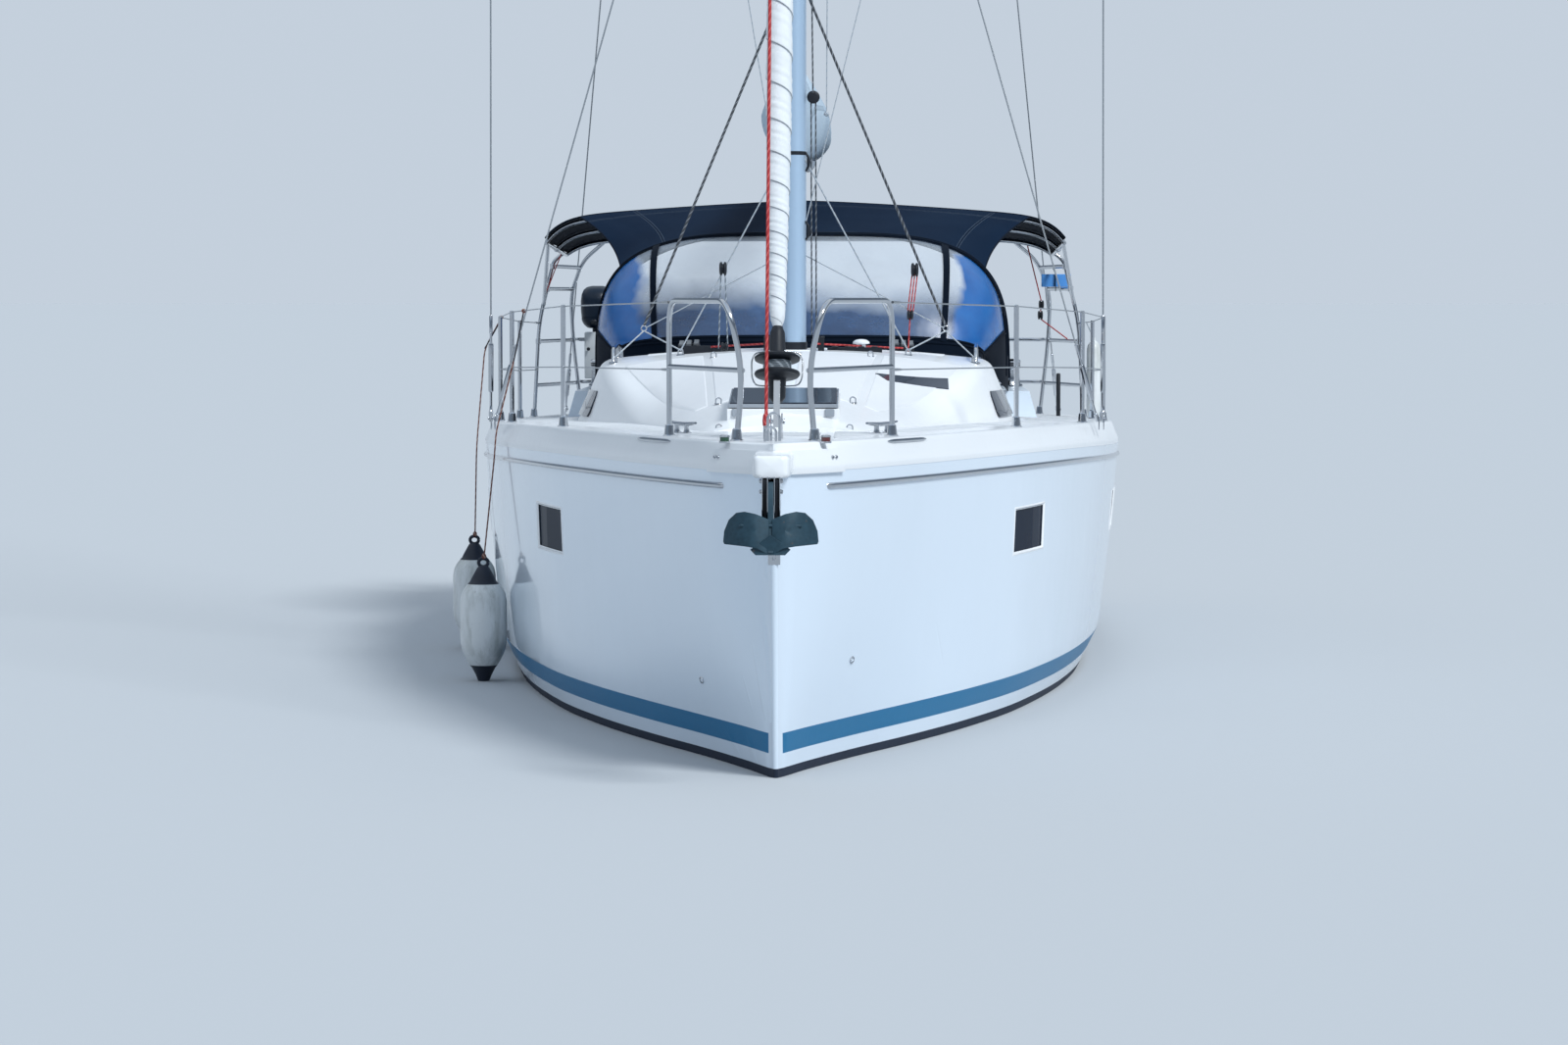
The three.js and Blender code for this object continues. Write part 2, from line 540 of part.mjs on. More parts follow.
// Keel: an iron fin with a bulb, flat underneath
const KEEL = { aft: 4950, root: 1330, tip: 1020, thick: 150, foot: -1760, bulb: 1900, bulbFront: 4700, base: -1940 };
const fin = loft([foil(KEEL.aft, KEEL.root, KEEL.thick, 100), foil(KEEL.aft + 120, KEEL.tip, 110, KEEL.foot)]);
const bulb = loft([[0.0, 0.12], [0.06, 0.5], [0.2, 0.88], [0.4, 1], [0.65, 0.86], [0.88, 0.42], [1, 0.06]]
  .map(([t, size]) => ring(12, a => point(170 * size * Math.cos(a), KEEL.bulbFront + KEEL.bulb * t,
    -1850 + 115 * size * Math.sin(a)))));
add('keel', cut(join(fin, bulb), hullBody(GAP), box(-300, 300, 4500, 6800, -2100, KEEL.base)), 'iron');

// Saildrive leg, propeller and engine
const LEG = { aft: 6930, top: -300, foot: -880 };
const leg = join(loft([foil(LEG.aft - 130, 300, 110, LEG.top), foil(LEG.aft - 110, 250, 90, LEG.foot + 60),
  foil(LEG.aft - 100, 200, 60, LEG.foot)]),
tube([point(0, LEG.aft - 90, PROPELLER.z), point(0, PROPELLER.aft - 45 - GAP, PROPELLER.z)], 52, 12));
add('saildrive', cut(leg, hullBody(GAP)), 'black');
const BLADE = [[35, 26, 9, 0.5], [110, 58, 7, 0.85], [185, 48, 5, 1.05], [PROPELLER.radius, 22, 3, 1.15]];
const blades = ring(3, a => loft(BLADE.map(([r, half, thick, pitch]) => {
  const [c, s] = [Math.cos(pitch), Math.sin(pitch)];
  return ring(8, b => {
    const tangent = half * Math.cos(b) * s - thick * Math.sin(b) * c;
    const axial = half * Math.cos(b) * c + thick * Math.sin(b) * s;
    return point(r * Math.cos(a) - tangent * Math.sin(a), PROPELLER.aft + axial,
      PROPELLER.z + r * Math.sin(a) + tangent * Math.cos(a));
  });
})));
const boss = loft([[-45, 48], [0, 46], [55, 34], [90, 12]].map(([along, r]) => {
  return oval(PROPELLER.aft + along, 0, PROPELLER.z, r, r, 12);
}));
add('propeller', join(boss, ...blades), 'bronze');
add('engine', box(-240, 240, 6400, 7020, SOLE + GAP, 330), 'engine');

// Spade rudder on its stock
const blade = loft([foil(RUDDER.aft - 130, 520, 100, RUDDER.top), foil(RUDDER.aft - 90, 380, 60, RUDDER.foot)]);
add('rudder', join(blade, tube([point(0, RUDDER.aft, -400), point(0, RUDDER.aft, 200)], RUDDER.stock, 24)), 'iron');

// Stainless rub rails below the deck edge, following the sheer to the stern
const RAIL = { below: 185, proud: 16, half: 14, front: 300 };
for (const [side, sign] of SIDES) {
  const stations = [RAIL.front, ...HULL_SECTIONS.filter(aft => aft > RAIL.front && aft < 10890), 10890];
  add(`rub_rail_${side}`, cut(loft(stations.map(aft => {
    const z = fair(HULL, 'sheer', aft) - RAIL.below;
    const x = halfBreadth(aft, z);
    const outline = [[-20, -RAIL.half], [RAIL.proud * 0.6, -RAIL.half * 0.8], [RAIL.proud, 0],
      [RAIL.proud * 0.6, RAIL.half * 0.8], [-20, RAIL.half]];
    return outline.map(([dx, dz]) => point(sign * (x + dx), aft + lean(aft, z + dz), z + dz));
  })), hullBody(GAP)), 'stainless');
}

// Bow fitting: a short moulded sprit bolted over the stem, with the roller cheeks under it
const SPRIT = { reach: 430, half: 80, low: 1317, high: 1410 };
const ROLLER = { aft: -395, z: 1223.7, radius: 38, half: 54 };
const bowCutter = join(deckBody(GAP, 2 * GAP, 60), hullBody(2 * GAP));
const wings = cut(common(deckBody(-6, 26, 60), box(-420, 420, -80, 430, 1335, 1432)), bowCutter);
const nose = loft([[-SPRIT.reach, 45], [-SPRIT.reach + 35, 74], [-SPRIT.reach + 90, SPRIT.half], [140, SPRIT.half]]
  .map(([aft, half]) => [[-half, SPRIT.low], [half, SPRIT.low], [half, SPRIT.high], [-half, SPRIT.high]]
    .map(([x, z]) => point(x, aft, z))));
const cheek = side => box(side > 0 ? ROLLER.half : -ROLLER.half - 8, side > 0 ? ROLLER.half + 8 : -ROLLER.half,
  -440, 10, 1150, SPRIT.low + 10);
add('bow_fitting', cut(join(wings, nose, cheek(1), cheek(-1),
  tube([new THREE.Vector3(-56, y(ROLLER.aft), ROLLER.z), new THREE.Vector3(56, y(ROLLER.aft), ROLLER.z)],
    ROLLER.radius, 12)), bowCutter), 'gelcoat');

// Plough anchor hung over the roller
const fluke = side => loft([-7, 7].map(d => [[0, -540, 985], [194, -475, 1060], [190, -453, 1165], [0, -480, 1160]]
  .map(([x, aft, z]) => point(side * x, aft + d, z))));
const shankZ = ROLLER.z + ROLLER.radius + GAP;
add('anchor', join(box(-11, 11, -500, 20, shankZ, shankZ + 42), box(-11, 11, -500, -450, 1000, shankZ + 42),
  fluke(1), fluke(-1), tube([point(-125, -470, 1128), point(125, -470, 1128)], 8, 8)), 'galvanised');

// Split pulpit, one welded frame a side
const PULPIT = { front: 400, back: 1350, corner: 500, top: 2038, mid: 1742 };
for (const [side, sign] of SIDES) {
  const rail = rounded([point(sign * 166, PULPIT.front, 1400), point(sign * 140, PULPIT.front - 10, PULPIT.mid),
    point(sign * 205, PULPIT.front - 30, PULPIT.top), point(sign * PULPIT.corner, PULPIT.back, PULPIT.top),
    point(sign * PULPIT.corner, PULPIT.back + 20, 1380)], 150);
  const middle = [point(sign * 140, PULPIT.front - 10, PULPIT.mid), point(sign * 300, 800, PULPIT.mid),
    point(sign * PULPIT.corner, PULPIT.back + 10, PULPIT.mid)];
  add(`pulpit_${side}`, cut(join(tube(rail, TUBE), tube(middle, TUBE)), deckBody(GAP)), 'stainless');
}

// Stanchions and guard wires from the pulpit to the stern frame
const STANCHIONS = [[3400, 1126, 2014], [5400, 1553, 1977], [6900, 1748, 1940], [8450, 1765, 1905]];
const STERN = { leg: 9600, foot: 1770, wire: 1890, rail: 1763, mid: 1480 };
const LOWER_WIRE = 310;

// The underside of the starboard upper guard wire, between the two stanchions about a place
function guardWireAt(aft) {
  const i = STANCHIONS.findIndex(([post]) => post > aft);
  const [[a, x0, z0], [b, x1, z1]] = [STANCHIONS[i - 1], STANCHIONS[i]];
  const t = (aft - a) / (b - a);
  return point(-(x0 + (x1 - x0) * t), aft, z0 + (z1 - z0) * t - 8 - WIRE - 2 * GAP);
}

for (const [side, sign] of SIDES) {
  const posts = STANCHIONS.map(([aft, x, top]) => tube([point(sign * x, aft, deckTop(x, aft) - 40),
    point(sign * x, aft, top)], TUBE, 8));
  const feet = STANCHIONS.map(([aft, x]) => tube([point(sign * x, aft, deckTop(x, aft) - 40),
    point(sign * x, aft, deckTop(x, aft) + 45)], 22, 8));
  const wire = drop => tube([point(sign * (PULPIT.corner + 6), PULPIT.back + TUBE + 8 + GAP, PULPIT.top - drop),
    ...STANCHIONS.map(([aft, x, top]) => point(sign * x, aft, top - drop)),
    point(sign * (STERN.foot - 20), STERN.leg - TUBE - GAP, STERN.wire - drop)], WIRE, 6);
  add(`guardrail_${side}`, cut(join(...posts, ...feet, wire(8), wire(LOWER_WIRE)), deckBody(GAP)), 'stainless');
}

// Stern frame: rails round the quarters, legs and bows that carry the sun awning
// The awning is gently crowned in front and flat behind, where it is lower, and turns down at both sides
const BIMINI = { front: 8150, back: 9950, half: 1580, frontZ: 2634, backZ: 2440, thick: 12 };
function biminiZ(x, aft) {
  const out = Math.abs(x / BIMINI.half);
  const front = BIMINI.frontZ - 100 * out ** 1.3 - 120 * out ** 16;
  const back = BIMINI.backZ - 95 * out ** 12;
  return front + (back - front) * (aft - BIMINI.front) / (BIMINI.back - BIMINI.front);
}
const across = Array.from({ length: 17 }, (_, i) => BIMINI.half * Math.sin(Math.PI / 2 * (i / 8 - 1)));
// A bow's axis lies a tube's radius square to the canvas, so further down where the canvas is steep
const bowZ = (x, aft) => {
  const slope = biminiZ(Math.abs(x) - 5, aft) - biminiZ(Math.abs(x) + 5, aft);
  return biminiZ(x, aft) - BIMINI.thick - (TUBE + 3 * GAP) * Math.hypot(1, slope / 10);
};
const shoulder = aft => bowZ(BIMINI.half, aft);
const frame = [];
for (const [, sign] of SIDES) {
  const x = sign * STERN.foot;
  frame.push(
    tube(rounded([point(x, STERN.leg, 1200), point(sign * 1735, STERN.leg, STERN.wire),
      point(sign * 1640, STERN.leg, 2280), point(sign * BIMINI.half, STERN.leg, shoulder(STERN.leg))], 120), TUBE),
    tube(rounded([point(sign * 1520, 10450, 1200), point(sign * 1575, 10420, STERN.rail), point(sign * 1585, 10340, 2060),
      point(sign * 1490, 10080, 2280), point(sign * 1330, BIMINI.back - 60, bowZ(1330, BIMINI.back - 60))], 120), TUBE),
    tube([point(sign * BIMINI.half, BIMINI.front + 60, shoulder(BIMINI.front + 60)),
      point(sign * BIMINI.half, BIMINI.back - 60, shoulder(BIMINI.back - 60))], TUBE),
    tube([point(sign * 1741, STERN.leg, STERN.rail), point(sign * 1577, 10420, STERN.rail),
      point(sign * 1560, 10720, STERN.rail), point(sign * 660, 10790, STERN.rail)], TUBE),
    tube([point(sign * 1756, STERN.leg, STERN.mid), point(sign * 1549, 10437, STERN.mid),
      point(sign * 1560, 10765, STERN.mid), point(sign * 660, 10795, STERN.mid)], TUBE),
    tube([point(sign * 660, 10790, STERN.rail), point(sign * 660, 10790, 1200)], TUBE),
    tube([point(sign * 1645, STERN.leg, 2245), point(sign * 1507, 10127, 2240)], TUBE),
    tube([point(sign * 1684, STERN.leg, 2100), point(sign * 1568, 10293, 2100)], TUBE),
    tube([point(sign * BIMINI.half, BIMINI.front + 200, shoulder(BIMINI.front + 200)),
      point(sign * 1705, STERN.leg, 2000)], TUBE),
  );
}
for (const aft of [BIMINI.front + 60, (BIMINI.front + BIMINI.back) / 2, BIMINI.back - 60]) {
  frame.push(tube(across.map(x => point(x, aft, bowZ(x, aft))), TUBE));
}
add('stern_frame', cut(join(...frame), deckBody(GAP)), 'stainless');
const canvasRow = aft => across.map(x => point(x, aft, biminiZ(x, aft)));
add('bimini', sheet([0, 0.25, 0.5, 0.75, 1].map(t => canvasRow(BIMINI.front + (BIMINI.back - BIMINI.front) * t)),
  p => new THREE.Vector3(p.x, p.y, p.z - BIMINI.thick)), 'canvas');

// Sprayhood: a canvas shell over the companionway, with a clear band round its front
const HOOD = {
  columns: ['t', 'crownAft', 'crownZ', 'footAft', 'footHalf', 'footZ'],
  rows: [
    [0, 6050, 1800, 6400, 1040, 1690],
    [0.2, 6165, 2020, 6480, 1090, 1630],
    [0.45, 6365, 2290, 6640, 1150, 1560],
    [0.62, 6580, 2402, 6790, 1180, 1528],
    [0.8, 6900, 2418, 7000, 1200, COAMING.top + 4],
    [1, 7300, 2420, 7250, 1210, COAMING.top + GAP],
  ],
};
const HOOD_SHAPE = 0.52;
const HOOD_THICK = 10;

function hoodPoint(t, v, out = 0) {
  const a = v * Math.PI / 2;
  const round = value => Math.sign(value) * Math.abs(value) ** HOOD_SHAPE;
  const footZ = fair(HOOD, 'footZ', t);
  const lift = round(Math.cos(a));
  const x = (fair(HOOD, 'footHalf', t) + out) * round(Math.sin(a));
  const aft = fair(HOOD, 'footAft', t) + (fair(HOOD, 'crownAft', t) - out - fair(HOOD, 'footAft', t)) * lift;
  return point(x, aft, footZ + (fair(HOOD, 'crownZ', t) + out - footZ) * lift);
}

function hoodSheet(t0, t1, v1, out, thick) {
  const rows = Array.from({ length: 7 }, (_, i) => t0 + (t1 - t0) * i / 6)
    .map(t => Array.from({ length: 17 }, (_, j) => hoodPoint(t, v1 * (j / 8 - 1), out)));
  const middle = point(0, HOOD.rows[HOOD.rows.length - 1][1], 1500);
  return sheet(rows, p => p.clone().add(new THREE.Vector3().subVectors(middle, p).setLength(thick)));
}

const BAND = { low: 0.05, high: 0.62, end: 0.8 };
const hoodGap = 0.0006;
const obstacles = [roofBody(-2 * GAP, 1000), runner(1), runner(-1), coaming(1), coaming(-1), deckBody(1)];
add('sprayhood', cut(hoodSheet(0, 1, 1, 0, HOOD_THICK), hoodSheet(BAND.low, BAND.high, BAND.end, 30, 90),
  ...obstacles), 'canvas');
add('sprayhood_window', cut(common(hoodSheet(0, 1, 1, -2, 4),
  hoodSheet(BAND.low + hoodGap, BAND.high - hoodGap, BAND.end - hoodGap, 30, 90)), ...obstacles), 'clear');

// Panel laced between the sprayhood and the awning
const LINK = { front: 7300 + GAP, back: BIMINI.front - GAP, frontHalf: 1060, backHalf: 1370, waist: 60 };
add('canopy_link', sheet([0, 0.25, 0.5, 0.75, 1].map(t => Array.from({ length: 13 }, (_, j) => {
  const v = j / 6 - 1;
  const half = LINK.frontHalf + (LINK.backHalf - LINK.frontHalf) * t - LINK.waist * Math.sin(Math.PI * t);
  const hoodZ = 2420 - 250 * Math.abs(v) ** 3.4;
  const backZ = biminiZ(half * v, BIMINI.front);
  return point(half * v, LINK.front + (LINK.back - LINK.front) * t, hoodZ + (backZ - hoodZ) * t);
})), p => new THREE.Vector3(p.x, p.y, p.z - 8)), 'canvas');

// Mast with two pairs of swept spreaders, and the brackets of the gooseneck and the vang
const TAPER = { from: 13000, to: 0.75 };
const mastSize = z => 1 - (1 - TAPER.to) * Math.max(0, (z - TAPER.from) / (MAST.head - TAPER.from));
const mastBody = (grow = 0) => loft([MAST.foot + GAP, TAPER.from, MAST.head].map(z => ring(14, a => {
  const size = mastSize(z);
  return point((MAST.half * size + grow) * Math.sin(a), MAST.aft - (MAST.chord / 2 * size + grow) * Math.cos(a), z);
})));
const SPREADERS = [[6900, 1640, 5280, 7010], [10850, 1160, 5150, 10930]];
const SHROUD_FOOT = { cap: [1662, 5330], lower: [1630, 5200] };
const tip = ([, x, aft, z], side) => point(side * x, aft, z);
const spreader = (row, side) => {
  const root = point(0, MAST.aft, row[0]);
  const end = tip(row, side);
  const length = root.distanceTo(end) - 2.4 * SHROUD;
  return tube([root, new THREE.Vector3().subVectors(end, root).setLength(length).add(root)], 24, 8);
};
function pinBracket(z, gap, plate, pin, width) {
  const half = gap / 2;
  const at = (z0, z1) => box(-width / 2, width / 2, MAST.aft + 60, GOOSENECK.aft + width / 2, z0, z1);
  return join(at(z - half - plate, z - half), at(z + half, z + half + plate),
    tube([point(0, GOOSENECK.aft, z - half - 1), point(0, GOOSENECK.aft, z + half + 1)], pin, 16));
}
const VANG_PIN = 9;
add('mast', join(mastBody(), ...SPREADERS.flatMap(row => [spreader(row, 1), spreader(row, -1)]),
  pinBracket(GOOSENECK.z, 76, 12, GOOSENECK.pin, 48), pinBracket(VANG_PIN_Z, 20, 10, VANG_PIN, 36),
  box(-30, 30, MAST.aft - 110, MAST.aft + 150, MAST.head - 10, MAST.head + 35)), 'spar');

// Boom with the rigid vang under it, on one vertical pair of pins
const boomZ = aft => GOOSENECK.z + 45 + BOOM.rise * (aft - GOOSENECK.aft) / (BOOM.end - GOOSENECK.aft);
const boomSpar = (grow = 0) => loft([GOOSENECK.aft + 100 - grow, BOOM.end + grow].map(aft => {
  return oval(aft, 0, boomZ(aft), BOOM.width / 2 + grow, BOOM.height / 2 + grow, 14);
}));
const eye = (z, height, half, pin, reach) => cut(box(-half, half, GOOSENECK.aft - half, GOOSENECK.aft + reach,
  z - height / 2 + GAP, z + height / 2 - GAP),
tube([point(0, GOOSENECK.aft, z - height), point(0, GOOSENECK.aft, z + height)], pin + 0.6, 16));
add('boom', join(boomSpar(), eye(GOOSENECK.z, 76, 22, GOOSENECK.pin, 130), eye(VANG_PIN_Z, 20, 16, VANG_PIN, 80),
  tube([point(0, GOOSENECK.aft + 62, VANG_PIN_Z), point(0, 5450, 2340)], 27, 10),
  tube([point(0, 5440, 2335), point(0, 6250, boomZ(6250) - 50)], 20, 10)), 'spar');

const BAG = [[5000, 130, 520], [5300, 165, 500], [6300, 170, 430], [7600, 165, 340], [8700, 145, 260], [9130, 110, 190]];
add('sail_bag', cut(loft(BAG.map(([aft, half, height]) => ring(16, a => {
  const low = boomZ(aft) - 20;
  const narrow = 1 - 0.35 * Math.max(0, Math.sin(a));
  return point(half * narrow * Math.cos(a), aft, low + height / 2 + height / 2 * Math.sin(a));
}))), boomSpar(GAP)), 'bagCloth');

// Forestay with its drum and the rolled headsail
const stayAt = z => {
  const t = (z - STAY.z) / (STAY.headZ - STAY.z);
  return point(0, STAY.aft + (STAY.headAft - STAY.aft) * t, z);
};
const HEADSAIL = [[1925, 22], [1960, 32], [2020, 37], [2280, 46], [2600, 53], [3000, 59], [5000, 62], [9000, 52],
  [12500, 40], [13600, 24], [13700, 9], [14800, 9]];
add('rolled_headsail', cut(loft(HEADSAIL.map(([z, r]) => ring(10, a => {
  return stayAt(z).add(new THREE.Vector3(r * Math.cos(a), r * Math.sin(a), 0));
}))), mastBody(GAP)), 'sailCloth');
const DRUM = [[1560, 22], [1680, 24], [1682, 94], [1694, 94], [1696, 52], [1796, 52], [1798, 94], [1810, 94], [1812, 36],
  [1842, 34], [1850, 22], [1925 - GAP, 22]];
const drum = loft(DRUM.map(([z, r]) => ring(16, a => {
  return stayAt(z).add(new THREE.Vector3(r * Math.cos(a), r * Math.sin(a), 0));
})));
add('furler', cut(join(drum, tube([point(0, 600, 1380), stayAt(1620)], 15, 8)), deckBody(GAP)), 'black');

// Shrouds with their rigging screws, and the backstay legs to the stern quarters
for (const [side, sign] of SIDES) {
  const masthead = point(sign * 40, MAST.aft + 20, 14900);
  const [capX, capAft] = SHROUD_FOOT.cap;
  const capFoot = point(sign * capX, capAft, deckTop(capX, capAft) - 30);
  const screw = (foot, to, length) => tube([foot, new THREE.Vector3().subVectors(to, foot).setLength(length).add(foot)],
    13, 8);
  const firstTip = tip(SPREADERS[0], sign);
  add(`cap_shroud_${side}`, cut(join(tube([capFoot, firstTip, tip(SPREADERS[1], sign), masthead], SHROUD, 6),
    screw(capFoot, firstTip, 420)), deckBody(GAP), mastBody(GAP)), 'wire');
  const [lowX, lowAft] = SHROUD_FOOT.lower;
  const lowFoot = point(sign * lowX, lowAft, deckTop(lowX, lowAft) - 30);
  const lowHead = point(sign * 30, MAST.aft + 20, 6780);
  add(`lower_shroud_${side}`, cut(join(tube([lowFoot, lowHead], SHROUD, 6), screw(lowFoot, lowHead, 420)),
    deckBody(GAP), mastBody(GAP)), 'wire');
  const sternFoot = point(sign * 1660, 10850, 1200);
  const top = point(sign * 20, MAST.aft + 20, 14950);
  add(`backstay_${side}`, cut(join(tube([sternFoot, top], SHROUD, 6), screw(sternFoot, top, 460)),
    deckBody(GAP), mastBody(GAP)), 'wire');
}

// Winches on the coamings and mooring cleats on the foredeck
for (const [side, sign] of SIDES) {
  const drum = [[0, 74], [18, 74], [30, 56], [110, 50], [125, 62], [160, 62], [170, 50]];
  add(`winch_${side}`, loft(drum.map(([h, r]) => ring(16, a => {
    return new THREE.Vector3(sign * 1260 + r * Math.cos(a), y(8350) + r * Math.sin(a), COAMING.top + GAP + h);
  }))), 'stainless');
  const cleatX = 455;
  const cleatAft = 1620;
  const base = deckTop(cleatX, cleatAft);
  const foot = d => box(sign * cleatX - 14, sign * cleatX + 14, cleatAft + d - 25, cleatAft + d + 25, base - 40, base + 50);
  add(`bow_cleat_${side}`, cut(join(foot(-45), foot(45), box(sign * cleatX - 13, sign * cleatX + 13, cleatAft - 125,
    cleatAft + 125, base + 32, base + 56)), deckBody(GAP)), 'stainless');
}

// Fenders hung outside the starboard topside from the guard wire
const FENDERS = [['forward', 4900], ['aft', 6980]];
const FENDER = { radius: 125, top: 600, foot: 0 };
for (const [place, aft] of FENDERS) {
  const x = -(halfBreadth(aft, FENDER.top) + FENDER.radius + 1.5 * GAP + 2);
  const profile = [[-70, 22], [-45, 75], [0, 112], [70, FENDER.radius], [530, FENDER.radius], [600, 112], [645, 75],
    [670, 24], [705, 16]];
  const body = loft(profile.map(([h, r]) => ring(12, a => {
    return new THREE.Vector3(x + r * Math.cos(a), y(aft) + r * Math.sin(a), FENDER.foot + h);
  })));
  const edge = fair(HULL, 'gunwale', aft);
  const rail = fair(HULL, 'sheer', aft);
  const line = tube([point(x, aft, FENDER.foot + 690), point(-edge - 40, aft, rail - 200),
    point(-edge - 20, aft, rail - 60), point(-edge + 45, aft, rail + 60), guardWireAt(aft)], 6, 6);
  add(`fender_${place}`, cut(join(body, line), hullBody(GAP), deckBody(GAP, GAP)), 'fender');
}

// Outboard motor clamped to a board on the starboard quarter rail
const OUTBOARD = { x: -1440, aft: 10766 };
const board = box(OUTBOARD.x - 80, OUTBOARD.x + 80, OUTBOARD.aft - 87.6, OUTBOARD.aft - 55.6, 1500, 1816);
const cowl = loft([[1840, 70, 110], [1880, 105, 150], [2050, 110, 160], [2125, 80, 120]].map(([z, half, depth]) => {
  return ring(12, a => point(OUTBOARD.x + half * Math.cos(a), OUTBOARD.aft + 70 + depth * Math.sin(a), z));
}));
add('outboard', join(board, cowl, box(OUTBOARD.x - 35, OUTBOARD.x + 35, OUTBOARD.aft + 45, OUTBOARD.aft + 105, 1320, 1860),
  box(OUTBOARD.x - 70, OUTBOARD.x + 70, OUTBOARD.aft - 80, OUTBOARD.aft + 60, STERN.rail + TUBE + GAP, 1799)), 'black');

export default yacht;
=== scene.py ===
"""A 10.9 metre sailing cruiser afloat at her waterline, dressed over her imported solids.

Metres, Z up from the waterline, bow towards -Y, port side +X. Places along the hull are given
as distances aft of the stem and turned into Y by one function.
"""

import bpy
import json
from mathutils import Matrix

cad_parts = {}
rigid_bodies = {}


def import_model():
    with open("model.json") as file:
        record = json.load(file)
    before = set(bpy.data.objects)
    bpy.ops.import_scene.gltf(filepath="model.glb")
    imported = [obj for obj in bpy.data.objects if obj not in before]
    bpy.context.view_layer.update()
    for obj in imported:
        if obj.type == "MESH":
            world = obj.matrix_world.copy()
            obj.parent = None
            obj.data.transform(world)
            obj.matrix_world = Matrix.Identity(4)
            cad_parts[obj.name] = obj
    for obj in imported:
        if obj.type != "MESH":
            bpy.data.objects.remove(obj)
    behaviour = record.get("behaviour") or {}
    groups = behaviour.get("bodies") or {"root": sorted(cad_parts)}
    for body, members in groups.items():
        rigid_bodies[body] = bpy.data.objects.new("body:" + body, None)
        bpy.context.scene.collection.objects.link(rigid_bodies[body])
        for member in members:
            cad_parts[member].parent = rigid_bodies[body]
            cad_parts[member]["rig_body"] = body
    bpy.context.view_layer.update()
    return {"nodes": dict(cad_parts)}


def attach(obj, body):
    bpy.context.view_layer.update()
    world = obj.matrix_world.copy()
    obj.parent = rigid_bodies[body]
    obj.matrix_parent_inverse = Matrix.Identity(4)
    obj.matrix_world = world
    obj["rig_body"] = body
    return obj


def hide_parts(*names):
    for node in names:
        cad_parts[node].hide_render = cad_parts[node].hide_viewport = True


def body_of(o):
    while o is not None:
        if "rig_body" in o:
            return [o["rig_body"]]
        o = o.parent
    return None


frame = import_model()

import json
import math

import bmesh
import bpy
import numpy as np

scene = bpy.context.scene
scene.view_settings.view_transform = "Standard"

# The camera: a long lens two metres above the water, 23 m ahead of midships and a little to port,
# level with the foredeck and turned down three degrees, as the yacht was seen.
CAMERA = {"place": (0.4125, -22.995, 2.066), "lens": 96.75, "down": 3.10, "turn": 1.203}
lens = bpy.data.cameras.new("bow_view")
lens.sensor_width = 36.0
lens.lens = CAMERA["lens"]
camera = bpy.data.objects.new("bow_view", lens)
camera.location = CAMERA["place"]
camera.rotation_euler = (math.radians(90 - CAMERA["down"]), 0, math.radians(CAMERA["turn"]))
scene.collection.objects.link(camera)
scene.camera = camera

# The stage: a pale matt floor at the waterline that meets a backdrop of its own lit shade, a dim band above
# that for polished metal to mirror, a bright ceiling, a soft key on the port bow and a cool fill opposite.
FLOOR_COLOUR = (0.458, 0.480, 0.502, 1)
BACKDROP = (0.585, 0.664, 0.758, 1)
SKY = [(0.0, BACKDROP), (0.54, BACKDROP), (0.575, (0.20, 0.25, 0.31, 1)), (0.66, (0.13, 0.17, 0.23, 1)),
       (0.74, (0.55, 0.65, 0.78, 1)), (0.82, (0.92, 0.97, 1.0, 1)), (1.0, (0.62, 0.78, 1.0, 1))]
SKY_STRENGTH = 0.95
KEY = {"strength": 2.85, "angle": 16, "turn": (47, 8, 30), "colour": (0.94, 0.98, 1.0)}
FILL = {"strength": 0.10, "angle": 60, "turn": (62, 0, -48), "colour": (0.50, 0.74, 1.0)}


def named_node(tree, kind, settings=(), values=()):
    """Adds a node, sets its settings, then its sockets' values."""
    node = tree.nodes.new(kind)
    for key, value in dict(settings).items():
        setattr(node, key, value)
    for key, value in dict(values).items():
        node.inputs[key].default_value = value
    return node


def ramp_stops(node, stops):
    """Puts (position, colour) stops on a colour ramp."""
    ramp = node.color_ramp
    while len(ramp.elements) < len(stops):
        ramp.elements.new(1)
    for element, (position, colour) in zip(ramp.elements, stops):
        element.position = position
        element.color = colour


def sun(name, strength, angle, turn, colour):
    """A distant soft light: strength, width in degrees, turn in degrees and colour."""
    light = bpy.data.lights.new(name, "SUN")
    light.energy = strength
    light.angle = math.radians(angle)
    light.color = colour
    lamp = bpy.data.objects.new(name, light)
    lamp.rotation_euler = [math.radians(a) for a in turn]
    scene.collection.objects.link(lamp)


sun("key_light", **KEY)
sun("fill_light", **FILL)
world = bpy.data.worlds.new("sky")
world.use_nodes = True
sky = world.node_tree
direction = named_node(sky, "ShaderNodeTexCoord")
height = named_node(sky, "ShaderNodeSeparateXYZ")
half_turn = named_node(sky, "ShaderNodeMapRange", values={"From Min": -1, "From Max": 1})
shades = named_node(sky, "ShaderNodeValToRGB")
ramp_stops(shades, SKY)
sky.links.new(direction.outputs["Generated"], height.inputs[0])
sky.links.new(height.outputs["Z"], half_turn.inputs["Value"])
sky.links.new(half_turn.outputs[0], shades.inputs[0])
sky.links.new(shades.outputs[0], sky.nodes["Background"].inputs[0])
sky.nodes["Background"].inputs[1].default_value = SKY_STRENGTH
scene.world = world

